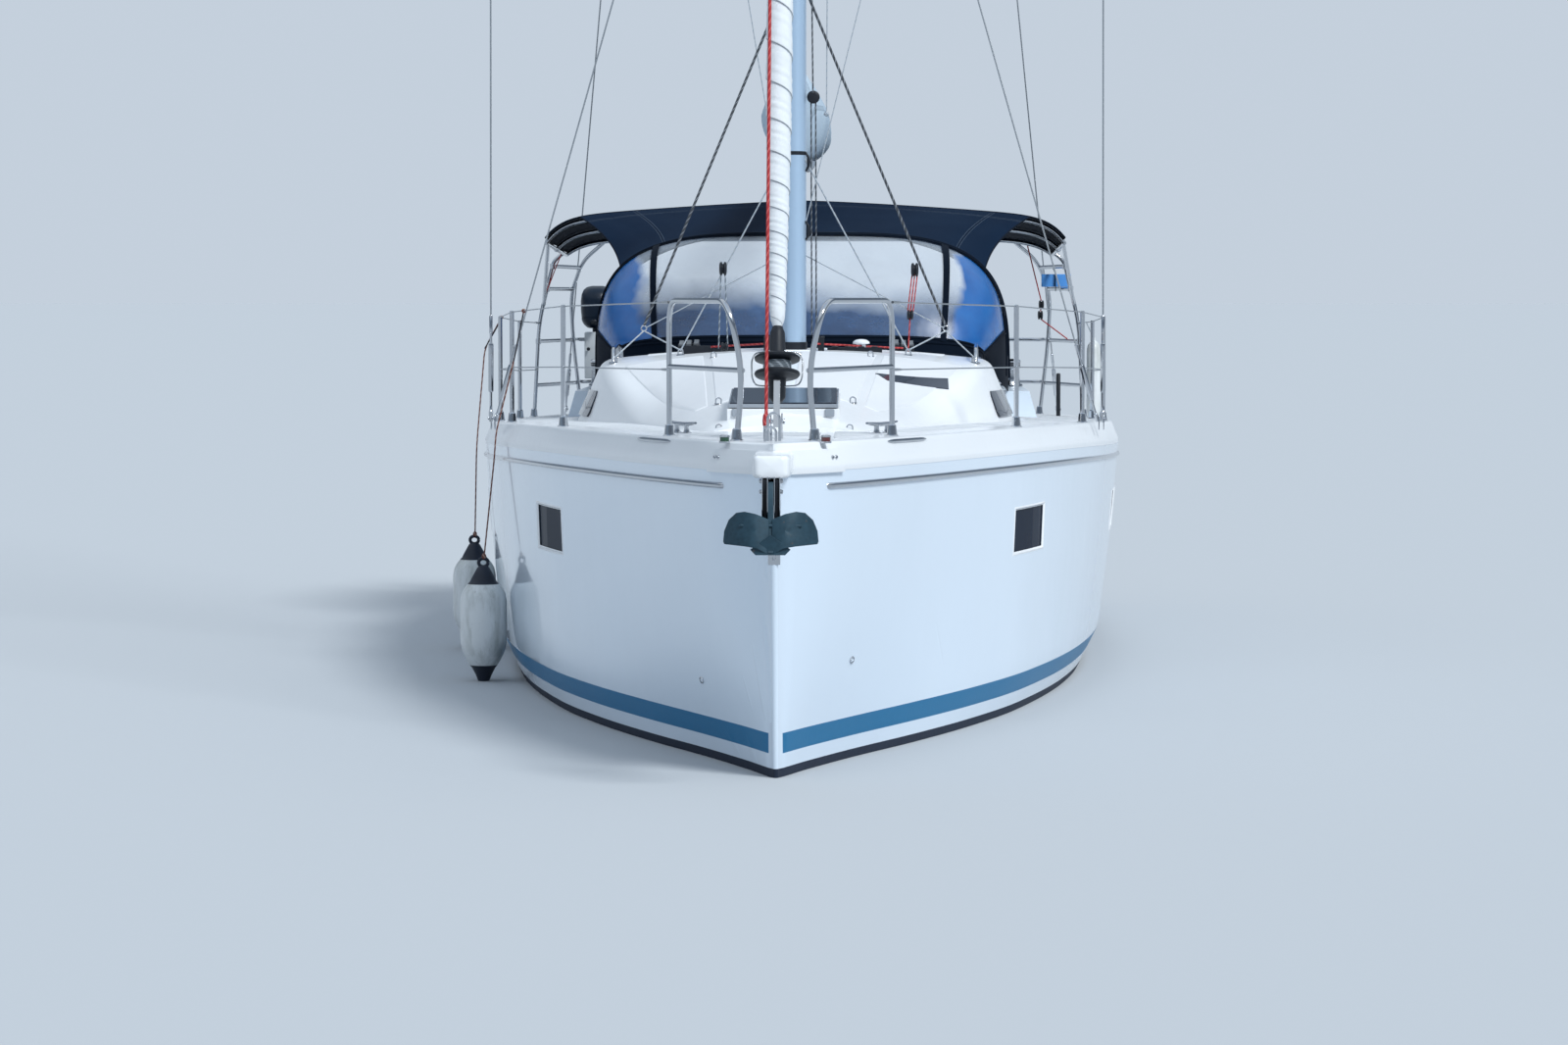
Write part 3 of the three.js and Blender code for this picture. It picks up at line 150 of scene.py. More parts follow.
FLOOR_REACH = 900
floor_corners = [(x * FLOOR_REACH, y * FLOOR_REACH, 0) for x, y in ((-1, -1), (1, -1), (1, 1), (-1, 1))]
floor_mesh = bpy.data.meshes.new("studio_floor")
floor_mesh.from_pydata(floor_corners, [], [(0, 1, 2, 3)])
studio_floor = bpy.data.objects.new("studio_floor", floor_mesh)
scene.collection.objects.link(studio_floor)
floor_paint = bpy.data.materials.new("floor_paint")
floor_paint.use_nodes = True
floor_shader = floor_paint.node_tree.nodes["Principled BSDF"]
floor_shader.inputs["Base Color"].default_value = FLOOR_COLOUR
floor_shader.inputs["Roughness"].default_value = 1.0
floor_shader.inputs["Specular IOR Level"].default_value = 0.0
floor_mesh.materials.append(floor_paint)

# Topsides and bottom: one moulded skin of gleaming white gelcoat, rounded at the stem, with a
# blue boot stripe on the soft chine, a white line under it and a near-black bottom.
MIDSHIP = 5.45
STEM_RAKE = 0.4
RAKE_FADE = 3.4
SHEER_AT_STEM = 1.44
DECK_EDGE = 0.12
CHINE = 0.195
KNEE, KNEE_SHARE = 0.7, 0.62
HULL_ROWS = np.array([  # aft, gunwale, sheer, chine, water, depth
    [0, 16, 1440, 12, 10, 60], [45, 66, 1440, 34, 28, 85], [400, 270, 1437, 150, 130, 200],
    [1000, 490, 1430, 365, 330, 310], [1700, 710, 1421, 625, 595, 390], [2500, 960, 1413, 910, 870, 440],
    [3400, 1225, 1403, 1185, 1130, 470], [4600, 1505, 1383, 1460, 1385, 485],
    [5900, 1725, 1352, 1650, 1555, 480], [7200, 1850, 1322, 1735, 1610, 440],
    [8600, 1865, 1293, 1740, 1570, 340], [9900, 1820, 1268, 1680, 1450, 190],
    [10900, 1760, 1252, 1600, 1290, 40]]) / 1000
GUNWALE, SHEER, CHINE_HALF, WATER_HALF, DEPTH = 1, 2, 3, 4, 5
HULL_END = 10.9


def fair(rows, column, along):
    """A cubic through a table's rows, whose slope at a row is that of the chord between its neighbours."""
    at, value = rows[:, 0], rows[:, column]
    last = len(at) - 1
    before, after = np.maximum(np.arange(last + 1) - 1, 0), np.minimum(np.arange(last + 1) + 1, last)
    slope = (value[after] - value[before]) / (at[after] - at[before])
    along = np.asarray(along, float)
    i = np.clip(np.searchsorted(at, along, side="left") - 1, 0, last - 1)
    span = at[i + 1] - at[i]
    t = np.clip((along - at[i]) / span, 0, 1)
    ease = t * t * (3 - 2 * t)
    bend = span * t * (1 - t) * ((1 - t) * slope[i] - t * slope[i + 1])
    return value[i] * (1 - ease) + value[i + 1] * ease + bend


def lean(aft, z):
    """How far a point at height z lies aft of its place at deck level, where the stem rakes."""
    return STEM_RAKE * np.maximum(0, 1 - aft / RAKE_FADE) ** 1.5 * (1 - z / SHEER_AT_STEM)


def y_of(aft):
    """A distance aft of the stem as a place along Y."""
    return np.asarray(aft, float) - MIDSHIP


def topside(aft, z):
    """Half breadth above the chine: the parabola in z through the gunwale, the knee and the chine."""
    top = fair(HULL_ROWS, SHEER, aft) - DECK_EDGE
    gunwale, chine = fair(HULL_ROWS, GUNWALE, aft), fair(HULL_ROWS, CHINE_HALF, aft)
    knee = chine + (gunwale - chine) * KNEE_SHARE
    return (chine * (z - KNEE) * (z - top) / ((CHINE - KNEE) * (CHINE - top))
            + knee * (z - CHINE) * (z - top) / ((KNEE - CHINE) * (KNEE - top))
            + gunwale * (z - CHINE) * (z - KNEE) / ((top - CHINE) * (top - KNEE)))


class Skin:
    """A mesh in the making: points, the corners of each face, and each corner's place on the surface
    in metres."""

    def __init__(self, points, faces, places):
        self.points, self.faces, self.places = points, faces, places

    def facing(self, inside=None):
        """The volume on the near side of the faces, or how far they face away from a point inside."""
        total = 0.0
        for quads in self.faces:
            if len(quads) == 0:
                continue
            a, b, c = (self.points[quads[:, k]] for k in (0, 1, 2))
            d = self.points[quads[:, -1]]
            area = np.cross(b - a, c - a) + np.cross(c - a, d - a)
            centre = (a + c) / 2 - (0 if inside is None else np.asarray(inside))
            total += float(np.sum(area * centre))
        return total

    def outward(self, inside=None):
        """The same skin with its faces turned outwards."""
        if self.facing(inside) >= 0:
            return self
        return Skin(self.points, [f[:, ::-1] for f in self.faces], [p[:, ::-1] for p in self.places])

    def mirrored(self):
        """A copy mirrored across the centreline."""
        return Skin(self.points * [-1, 1, 1], [f[:, ::-1] for f in self.faces],
                    [p[:, ::-1] for p in self.places])


def both_sides(skin):
    """A skin on the port side and its mirror image on the starboard side."""
    return [skin, skin.mirrored()]


def grid(points, loop=False, caps=False, keep=None):
    """Quads between the rows and columns of a grid of points. A loop joins the last column to the first;
    caps fan the first and last rows shut; keep marks the quads that stay. The surface place of a corner is
    (distance across, distance along) in metres, taken as the mean over the grid."""
    points = np.asarray(points, float)
    rows, columns = points.shape[:2]
    i, j = np.meshgrid(np.arange(rows - 1), np.arange(columns if loop else columns - 1), indexing="ij")
    right = (j + 1) % columns
    quads = np.stack([i * columns + j, i * columns + right, (i + 1) * columns + right,
                      (i + 1) * columns + j], -1)
    across = np.linalg.norm(np.roll(points, -1, axis=1) - points, axis=-1).mean(axis=0)
    along = np.linalg.norm(np.diff(points, axis=0), axis=-1).mean(axis=1)
    u, v = np.concatenate([[0], np.cumsum(across)]), np.concatenate([[0], np.cumsum(along)])
    places = np.stack([np.stack([u[j], v[i]], -1), np.stack([u[j + 1], v[i]], -1),
                       np.stack([u[j + 1], v[i + 1]], -1), np.stack([u[j], v[i + 1]], -1)], -2)
    stay = np.ones(i.shape, bool) if keep is None else keep
    quads, places = quads[stay], places[stay]
    flat = points.reshape(-1, 3)
    faces, where = [quads], [places]
    if caps:
        middles = np.stack([points[0].mean(0), points[-1].mean(0)])
        k = np.arange(columns)
        n = (k + 1) % columns
        foot = np.stack([n, k, np.full(columns, len(flat))], -1)
        head = np.stack([(rows - 1) * columns + k, (rows - 1) * columns + n,
                         np.full(columns, len(flat) + 1)], -1)
        flat = np.vstack([flat, middles])
        faces += [foot, head]
        where += [np.zeros((columns, 3, 2)), np.zeros((columns, 3, 2))]
    return Skin(flat, faces, where)


def closed(rings):
    """A closed solid skinned over rings of points, with both ends capped."""
    return grid(rings, loop=True, caps=True).outward()


def weld(mesh, distance, flat=None):
    """Merges points within a distance, and joins faces that meet flatter than an angle in degrees."""
    bm = bmesh.new()
    bm.from_mesh(mesh)
    bmesh.ops.remove_doubles(bm, verts=bm.verts, dist=distance)
    if flat:
        bmesh.ops.dissolve_limit(bm, angle_limit=math.radians(flat), verts=bm.verts, edges=bm.edges)
    bm.to_mesh(mesh)
    bm.free()


def smooth_shade(mesh, sharp):
    """Smooth shading, but for edges sharper than an angle in degrees."""
    mesh.polygons.foreach_set("use_smooth", np.ones(len(mesh.polygons), bool))
    mesh.set_sharp_from_angle(angle=math.radians(sharp))


def ease_edges(made, bevel):
    """Rounds the edges that turn by more than 40 degrees."""
    rounding = made.modifiers.new("edges", "BEVEL")
    rounding.width, rounding.segments = bevel, 2
    rounding.limit_method, rounding.angle_limit = "ANGLE", math.radians(40)
    rounding.harden_normals = True


def piece(name, skins, finish, body="yacht", replaces=(), merge=None, sharp=35,
          bevel=None, thick=None):
    """One object out of many skins: a mesh with its surface map, smooth but for edges sharper than an angle
    and the rims of a wall, with that wall and rounded edges if asked for, riding on a body."""
    skins = skins if isinstance(skins, (list, tuple)) else [skins]
    points, corners, starts, places = [], [], [], []
    base = corner = 0
    for skin in skins:
        points.append(skin.points)
        for faces, where in zip(skin.faces, skin.places):
            count, sides = faces.shape if len(faces) else (0, 3)
            corners.append((faces + base).reshape(-1))
            starts.append(corner + sides * np.arange(count))
            places.append(where.reshape(-1, 2))
            corner += count * sides
        base += len(skin.points)
    corners, starts = np.concatenate(corners).astype(np.int32), np.concatenate(starts).astype(np.int32)
    mesh = bpy.data.meshes.new(name)
    mesh.vertices.add(base)
    mesh.vertices.foreach_set("co", np.concatenate(points).astype(np.float32).ravel())
    mesh.loops.add(corner)
    mesh.loops.foreach_set("vertex_index", corners)
    mesh.polygons.add(len(starts))
    mesh.polygons.foreach_set("loop_start", starts)
    mesh.update(calc_edges=True)
    surface = mesh.uv_layers.new(name="surface")
    surface.data.foreach_set("uv", np.concatenate(places).astype(np.float32).ravel())
    mesh.validate()
    if merge:
        weld(mesh, merge)
    smooth_shade(mesh, sharp)
    if thick:
        edge_of, keen = np.zeros(len(mesh.loops), np.int32), np.zeros(len(mesh.edges), bool)
        mesh.loops.foreach_get("edge_index", edge_of)
        mesh.edges.foreach_get("use_edge_sharp", keen)
        mesh.edges.foreach_set("use_edge_sharp", keen | (np.bincount(edge_of, minlength=len(keen)) == 1))
    mesh.materials.append(finish)
    made = bpy.data.objects.new(name, mesh)
    scene.collection.objects.link(made)
    if thick:
        wall = made.modifiers.new("wall", "SOLIDIFY")
        wall.thickness, wall.offset = abs(thick), -1 if thick > 0 else 0
    if bevel:
        ease_edges(made, bevel)
    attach(made, body)
    if replaces:
        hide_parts(*replaces)
    return made


class Value:
    """A shader socket in an expression: each operator adds a Math node to its material."""

    def __init__(self, finish, socket):
        self.finish, self.socket = finish, socket

    def math(self, operation, *others, clamp=False):
        return self.finish.add("ShaderNodeMath", {"operation": operation, "use_clamp": clamp},
                               dict(enumerate((self, *others))))

    def __rsub__(self, other):
        return (self * -1) + other

    def sine(self):
        """The sine of a value in radians."""
        return self.math("SINE")

    def step(self, edge, soft):
        """0 below the edge and 1 above it, over a soft width."""
        return ((self - edge) / soft + 0.5).math("ADD", 0, clamp=True)


for sign, operation in {"add": "ADD", "radd": "ADD", "sub": "SUBTRACT", "mul": "MULTIPLY",
                        "rmul": "MULTIPLY", "truediv": "DIVIDE", "gt": "GREATER_THAN", "lt": "LESS_THAN",
                        "abs": "ABSOLUTE"}.items():
    setattr(Value, f"__{sign}__", lambda self, *other, operation=operation: self.math(operation, *other))


class Finish:
    """A material built up node by node. Constants go on the shader's own sockets."""

    def __init__(self, name, **constants):
        self.material = bpy.data.materials.new(name)
        self.material.use_nodes = True
        self.tree = self.material.node_tree
        self.shader = self.tree.nodes["Principled BSDF"]
        for socket, value in constants.items():
            self.shader.inputs[socket.replace("_", " ")].default_value = value
        self.place = self.add("ShaderNodeTexCoord", out="Object")
        self.x, self.y, self.z = (self.add("ShaderNodeSeparateXYZ", values={0: self.place}, out=k)
                                  for k in "XYZ")

    def add(self, kind, settings=None, values=None, out=0, stops=None):
        """Any node: its settings first, a ramp's stops, then its sockets' values or links."""
        node = self.tree.nodes.new(kind)
        for key, value in (settings or {}).items():
            setattr(node, key, value)
        if stops:
            ramp_stops(node, stops)
        for key, value in (values or {}).items():
            if isinstance(value, Value):
                self.tree.links.new(value.socket, node.inputs[key])
            else:
                node.inputs[key].default_value = value
        return Value(self, node.outputs[out])

    def surface(self):
        """The piece's own surface map: metres across and metres along."""
        place = self.add("ShaderNodeUVMap", {"uv_map": "surface"})
        return [self.add("ShaderNodeSeparateXYZ", values={0: place}, out=k) for k in "XY"]

    def noise(self, scale, detail=3, roughness=0.5, stretch=None):
        """Cloudy noise from 0 to 1, at a scale in cycles a metre, stretched along the axes if asked for."""
        vector = self.place
        if stretch:
            vector = self.add("ShaderNodeMapping", values={0: vector, 3: stretch})
        return self.add("ShaderNodeTexNoise", values={"Vector": vector, "Scale": scale, "Detail": detail,
                                                      "Roughness": roughness})

    def mix(self, factor, a, b):
        """Colour a where the factor is 0, b where it is 1."""
        return self.add("ShaderNodeMix", {"data_type": "RGBA"}, {0: factor, 6: a, 7: b}, out=2)

    def bump(self, height, distance, strength):
        """Raises the surface by height times a distance in metres."""
        return self.add("ShaderNodeBump", values={"Height": height, "Distance": distance,
                                                  "Strength": strength})

    def put(self, **links):
        """Links values that change over the surface to the shader's sockets."""
        for socket, value in links.items():
            self.tree.links.new(value.socket, self.shader.inputs[socket.replace("_", " ")])
        return self.material


SIDES = {"port": 1, "starboard": -1}
BOTTOM_LINE, STRIPE_FOOT, STRIPE_HEAD = 0.04, 0.105, 0.195
BOTTOM_NAVY = (0.012, 0.018, 0.036, 1)
STRIPE_BLUE = (0.001, 0.135, 0.290, 1)
# Painted skylight: the hull's white and its clouding are tinted blue and dimmer than the deck's white,
# standing for the cool sky light on the topsides. The cockpit shares them.
GELCOAT_SKYLIT_WHITE = (0.70, 0.785, 0.875, 1)
GELCOAT_SKYLIT_CLOUDING = (0.635, 0.73, 0.835, 1)
STRIPE_STOP = 0.03


def hull_gelcoat():
    """White gelcoat with its painted bands by height, faint weathering and streaks under the rub rail."""
    f = Finish("hull_gelcoat", Roughness=0.16, Coat_Weight=0.5, Coat_Roughness=0.04, Specular_IOR_Level=0.22)
    clouds = f.noise(0.9, 4)
    streaks = f.noise(7, 3, stretch=(1, 1, 0.05))
    low = 1 - f.z.step(0.45, 0.7)
    white = f.mix(clouds * 0.55 + streaks * 0.25 * low, GELCOAT_SKYLIT_WHITE, GELCOAT_SKYLIT_CLOUDING)
    blue = (f.z > STRIPE_FOOT) * (f.z < STRIPE_HEAD) * (abs(f.x) > STRIPE_STOP)
    wear = f.noise(40, 4)
    navy = f.mix(wear, BOTTOM_NAVY, (0.022, 0.032, 0.055, 1))
    painted = f.mix(f.z < BOTTOM_LINE, f.mix(blue, white,
                                             f.mix(wear * 0.5, STRIPE_BLUE, (0.008, 0.165, 0.35, 1))), navy)
    rough = (f.z < BOTTOM_LINE) * 0.5 + blue * 0.25 + clouds * 0.05 + 0.10
    coat = (1 - (f.z < BOTTOM_LINE)) * (1 - blue) * 0.55
    ripple = f.bump(f.noise(2.2, 2) + f.noise(260, 2) * 0.004, 0.004, 0.5)
    return f.put(Base_Color=painted, Roughness=rough, Coat_Weight=coat, Normal=ripple)


HULL_PAINT = hull_gelcoat()
HULL_WINDOWS = {"forward": (2.99, 3.62), "aft": (6.43, 6.98)}
WINDOW_HEAD, WINDOW_FOOT, WINDOW_SLANT = 0.38, 0.61, 0.012
SKIN_PROUD = 0.0015
NOSE_STEPS = 10


def round_the_stem(half, z, aft):
    """Points of one waterline: down the port side from aft to the stem, round it on a half circle as wide as
    the stem, and back along the starboard side. half, z and aft are arrays over height (rows) and length."""
    y = y_of(aft + lean(aft, z))
    port = np.stack([half, y, z], -1)[:, ::-1]
    turn = np.linspace(0, np.pi, NOSE_STEPS + 2)[1:-1]
    tip_x, tip_y, tip_z = half[:, :1], y[:, :1], z[:, :1]
    nose = np.stack([tip_x * np.cos(turn), tip_y - tip_x * np.sin(turn), np.repeat(tip_z, NOSE_STEPS, 1)],
                    -1)
    starboard = np.stack([-half, y, z], -1)
    return np.concatenate([port, nose, starboard], axis=1)


def hull_stations():
    """Places along the hull, close together at the bow, with a pair at each window's ends."""
    ends = [a for pair in HULL_WINDOWS.values() for a in pair]
    fine = np.concatenate([np.linspace(0, 0.4, 9), np.linspace(0.5, 3.4, 30),
                           np.linspace(3.5, HULL_END, 62)])
    fine = fine[np.min(np.abs(fine[:, None] - np.array(ends)[None]), axis=1) > 0.03]
    return np.sort(np.concatenate([fine, ends]))


along = hull_stations()
sheer = fair(HULL_ROWS, SHEER, along)
below = np.concatenate([[DECK_EDGE - 0.002], np.linspace(0.17, WINDOW_HEAD, 5), [0.495, WINDOW_FOOT]])
upper = sheer[None] - below[:, None]
share = np.linspace(0, 1, 9)[1:, None]
lower = upper[-1] + (CHINE + 0.012 - upper[-1]) * share
side_z = np.vstack([upper, lower])
slide = np.clip((WINDOW_FOOT - below) / (WINDOW_FOOT - WINDOW_HEAD), 0, 1)
slide = np.concatenate([slide, np.zeros(len(share))])[:, None] * WINDOW_SLANT
side_aft = np.repeat(along[None], len(side_z), axis=0)
for front, back in HULL_WINDOWS.values():
    side_aft[:, along == front] += slide
    side_aft[:, along == back] += slide - WINDOW_SLANT
side_half = topside(side_aft, side_z) + SKIN_PROUD
chine_z = np.array([0.185, 0.1, 0.0])[:, None] + 0 * along[None]
chine_half = fair(HULL_ROWS, WATER_HALF, along) + (fair(HULL_ROWS, CHINE_HALF, along)
                                                   - fair(HULL_ROWS, WATER_HALF, along)) * chine_z / CHINE
turn = np.radians([8, 18, 30, 42, 54, 66, 76, 84, 90])[:, None]
bilge_half = fair(HULL_ROWS, WATER_HALF, along) * np.maximum(np.cos(turn), 0) ** 0.8
bilge_z = -(fair(HULL_ROWS, DEPTH, along) + SKIN_PROUD) * np.sin(turn) ** 1.15
all_half = np.vstack([side_half, chine_half + SKIN_PROUD,
                      np.where(bilge_half < 1e-3, 0, bilge_half + SKIN_PROUD)])
all_z = np.vstack([side_z, chine_z, bilge_z])
all_aft = np.vstack([side_aft, np.repeat(along[None], len(chine_z) + len(bilge_z), axis=0)])
hull_points = round_the_stem(all_half, all_z, all_aft)
head_row, foot_row = list(below).index(WINDOW_HEAD), list(below).index(WINDOW_FOOT)
open_rows = np.zeros(len(all_z) - 1, bool)
open_rows[head_row:foot_row] = True
middle_aft = (along[1:] + along[:-1]) / 2
in_window = np.zeros(len(along) - 1, bool)
for front, back in HULL_WINDOWS.values():
    in_window |= (middle_aft > front) & (middle_aft < back)
columns = np.concatenate([in_window[::-1], np.zeros(NOSE_STEPS + 1, bool), in_window])
hull_skin = grid(hull_points, keep=~(open_rows[:, None] & columns[None])).outward((0, 0, 0.3))
piece("topsides", hull_skin, HULL_PAINT, merge=0.0002, thick=0.005, sharp=50)

DRESSED = {}


def dress(finish, *nodes):
    """Gives carried-over solids a finish."""
    for node in nodes:
        for place in frame["nodes"][node].material_slots:
            place.material = finish
        DRESSED[node] = finish


dress(HULL_PAINT, "hull")

# Deck moulding: white gelcoat with a bevelled edge standing on the topsides, rounded into a crowned
# deck. Grey-white non-skid panels, moulded in, stand a hair above the smooth waterways round them.
EDGE_BEVEL = 0.038
DECK_CAMBER = 0.03
PANEL_EDGE = 0.15
WELL_HALF, WELL_FRONT, WELL_BACK = 1.30, 7.15, 10.60
LOCKER = {"front": 0.93, "back": 1.50, "half": 0.175, "gap": 0.005}
ROOF_ROWS = np.array([  # aft, base, shoulder, shoulder height, crown height
    [1720, 330, 300, 1440, 1470], [1900, 400, 350, 1455, 1520], [2450, 550, 500, 1462, 1590],
    [3300, 770, 710, 1475, 1700], [4700, 1150, 1005, 1698, 1772], [6300, 1205, 1055, 1690, 1760],
    [7100, 1190, 1045, 1680, 1750]]) / 1000
BASE, SHOULDER, SHOULDER_Z, CROWN_Z = 1, 2, 3, 4


def deck_top(x, aft):
    """Height of the crowned deck: two straight slopes each side, meeting at 0.55 of the half breadth."""
    edge, level = fair(HULL_ROWS, GUNWALE, aft), fair(HULL_ROWS, SHEER, aft)
    rise, inner = DECK_CAMBER * edge, (edge - EDGE_BEVEL) * 0.55
    across = np.abs(x)
    return np.where(across < inner, level + rise - rise * 0.3 * across / inner,
                    level + rise * 0.7 * (edge - EDGE_BEVEL - across) / (edge - EDGE_BEVEL - inner))


def plain_gelcoat(name, tint=GELCOAT_SKYLIT_WHITE, shade=GELCOAT_SKYLIT_CLOUDING, gloss=0.5):
    """White gelcoat, glossy or matt, with faint clouding and a slow ripple from the mould."""
    f = Finish(name, Roughness=0.2, Coat_Weight=gloss, Coat_Roughness=0.06, Specular_IOR_Level=gloss)
    clouds = f.noise(1.7, 4)
    scuffs = f.noise(30, 5, roughness=0.7)
    return f.put(Base_Color=f.mix(clouds * 0.6, tint, shade), Roughness=scuffs * 0.12 + 0.14,
                 Normal=f.bump(f.noise(5, 2), 0.003, 0.4))


TREAD = 520  # radians a metre along both diagonals, for a diamond every 12 mm


def diamond_rows(f):
    """Rows of small diamonds from 0 to 1: the product of a wave along each diagonal."""
    return abs(((f.x + f.y) * TREAD).sine() * ((f.x - f.y) * TREAD).sine())


def non_skid(name, tint=(0.65, 0.67, 0.69, 1), shade=(0.55, 0.575, 0.605, 1)):
    """Moulded non-skid: rows of small diamonds, a little darker where feet have dulled them."""
    f = Finish(name, Roughness=0.6, Specular_IOR_Level=0.12)
    diamonds = diamond_rows(f)
    worn = f.noise(2.5, 5, roughness=0.65)
    return f.put(Base_Color=f.mix(worn * 0.7 + diamonds * 0.15, tint, shade),
                 Roughness=worn * 0.25 + 0.45, Normal=f.bump(diamonds, 0.0012, 0.7))


DECK_WHITE = plain_gelcoat("deck_gelcoat", (0.77, 0.79, 0.81, 1), (0.71, 0.735, 0.765, 1), 0.12)
NON_SKID = non_skid("deck_non_skid_pattern")
edge, level = fair(HULL_ROWS, GUNWALE, along), fair(HULL_ROWS, SHEER, along)
shape = np.array([[0.003, -0.1195], [0.003, -0.104], [0.002, -0.094], [-0.010, -0.062], [-0.024, -0.027],
                  [-0.033, -0.005], [-0.038, 0.0015], [-0.048, 0.0042]])
edge_half = np.maximum(edge + shape[:, :1], 0.004)
edge_z = level + shape[:, 1:]
inboard = np.array([0.075, 0.12, PANEL_EDGE + 0.03])[:, None]
inner_half = np.maximum(edge - inboard, 0.003)
edge_half = np.vstack([edge_half, inner_half])
edge_z = np.vstack([edge_z, deck_top(inner_half, along) + 0.003])
deck_edge = grid(round_the_stem(edge_half, edge_z, np.repeat(along[None], len(edge_z), axis=0)))
piece("deck_edge_moulding", deck_edge.outward((0, 0, 1)), DECK_WHITE, thick=0.003,
      sharp=50)


def on_deck(aft, x, lift):
    """A grid of points lifted off the deck, from distances aft by rows and half breadths by rows and
    columns."""
    aft = np.repeat(np.asarray(aft, float)[:, None], np.shape(x)[1], axis=1)
    z = deck_top(x, aft)
    return np.stack([x, y_of(aft + lean(aft, z)), z + lift], -1)


def across_span(aft, inner, outer, count):
    """Half breadths spread evenly from an inner to an outer line, both given per row."""
    share = np.linspace(0, 1, count)[None]
    aft = np.asarray(aft, float)
    inner, outer = (np.broadcast_to(v, aft.shape)[:, None] for v in (inner, outer))
    return inner + (outer - inner) * share


def deck_plane(front, back, inner, outer, steps, lift=0.0012):
    """A strip of smooth deck on the port side; inner and outer are half breadths as functions of aft."""
    aft = np.linspace(front, back, steps)
    return grid(on_deck(aft, across_span(aft, inner(aft), outer(aft), 6), lift)).outward((0, 0, 0))


outer_line = lambda aft: fair(HULL_ROWS, GUNWALE, aft) - PANEL_EDGE
roof_line = lambda aft: fair(ROOF_ROWS, BASE, aft) - 0.01
hole = LOCKER["half"] + LOCKER["gap"]
fore_aft = np.sort(np.append(np.linspace(0.35, 1.74, 22), [LOCKER["front"] - 0.005, LOCKER["back"] + 0.005]))
side = across_span(fore_aft, hole, np.maximum(outer_line(fore_aft), hole + 0.01), 7)
middle = np.linspace(-hole, hole, 5)[None, 1:-1].repeat(len(fore_aft), 0)
fore_x = np.concatenate([-side[:, ::-1], middle, side], axis=1)
mid_aft, mid_x = (fore_aft[1:] + fore_aft[:-1]) / 2, (fore_x[0, 1:] + fore_x[0, :-1]) / 2
beside_locker = (mid_aft > LOCKER["front"]) & (mid_aft < LOCKER["back"])
over_locker = beside_locker[:, None] & (np.abs(mid_x) < hole)[None]
planes = [grid(on_deck(fore_aft, fore_x, 0.0012), keep=~over_locker).outward((0, 0, 0))]
for strip in (deck_plane(1.70, WELL_FRONT, roof_line, outer_line, 40),
              deck_plane(WELL_FRONT, WELL_BACK, lambda a: WELL_HALF + 0 * a, outer_line, 20),
              deck_plane(WELL_BACK, 10.895, lambda a: 0.625 + 0 * a, outer_line, 4)):
    planes += both_sides(strip)
piece("deck_planes", planes, DECK_WHITE, thick=0.001)


def panel_grid(front, back, inner, outer, steps, count):
    """Distances aft and half breadths of a panel's points, close together along its rim."""
    aft = np.concatenate([[front, front + 0.004], np.linspace(front + 0.015, back - 0.015, steps),
                          [back - 0.004, back]])
    x = across_span(aft, inner(aft), outer(aft), count)
    x[:, 1], x[:, -2] = x[:, 0] + 0.006, x[:, -1] - 0.006
    return aft, x


def panel(front, back, inner, outer, lift=0.0035):
    """A raised non-skid panel on the port deck, its rim rolled down."""
    aft, x = panel_grid(front, back, inner, outer, 16, 9)
    points = on_deck(aft, x, lift)
    points[[0, -1], :, 2] -= lift
    points[:, [0, -1], 2] -= lift
    return grid(points).outward((0, 0, 0))


PANELS = [(0.66, 1.66, lambda a: 0.24 + 0 * a), (1.84, 3.25, lambda a: roof_line(a) + 0.06),
          (3.33, 4.95, lambda a: roof_line(a) + 0.06), (5.03, 6.95, lambda a: roof_line(a) + 0.06),
          (7.10, 8.85, lambda a: 1.47 + 0 * a), (8.93, 10.35, lambda a: 1.40 + 0 * a)]
panels = []
for front, back, inner in PANELS:
    panels += both_sides(panel(front, back, inner, lambda a: outer_line(a) - 0.02))
piece("non_skid_panels", panels, NON_SKID, sharp=25)
dress(DECK_WHITE, "deck")


def softened(node, finish, bevel):
    """A copy of a carried-over solid with its doubles merged, its flat faces joined and its edges rounded,
    standing for that node on the same body."""
    source = frame["nodes"][node]
    mesh = source.data.copy()
    mesh.name = node + "_moulding"
    weld(mesh, 1e-5, flat=1.5)
    smooth_shade(mesh, 30)
    mesh.materials.clear()
    mesh.materials.append(finish)
    made = bpy.data.objects.new(mesh.name, mesh)
    scene.collection.objects.link(made)
    ease_edges(made, bevel)
    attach(made, body_of(source)[0])
    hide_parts(node)


LID_GREY = non_skid("locker_lid_pattern")
softened("anchor_locker_lid", LID_GREY, 0.004)

# Coachroof: a white moulded wedge that rises out of the foredeck, with rounded shoulders, glued-on dark
# side windows, an aft bulkhead with the companionway cut in it, and non-skid panels on its top.
ROOF_ROUND = 0.06
ROOF_SKIN = 0.035
ROOF_END = 7.10
FORE_HATCH = {"aft": 1.905, "length": 0.50, "half": 0.245, "z": 1.541, "rise": 0.059, "rim": 0.03}
SLIDE = {"front": 6.61, "half": 0.28}
TOP_X = np.array([0.28, 0.25, 0.215, 0.11, 0.0])


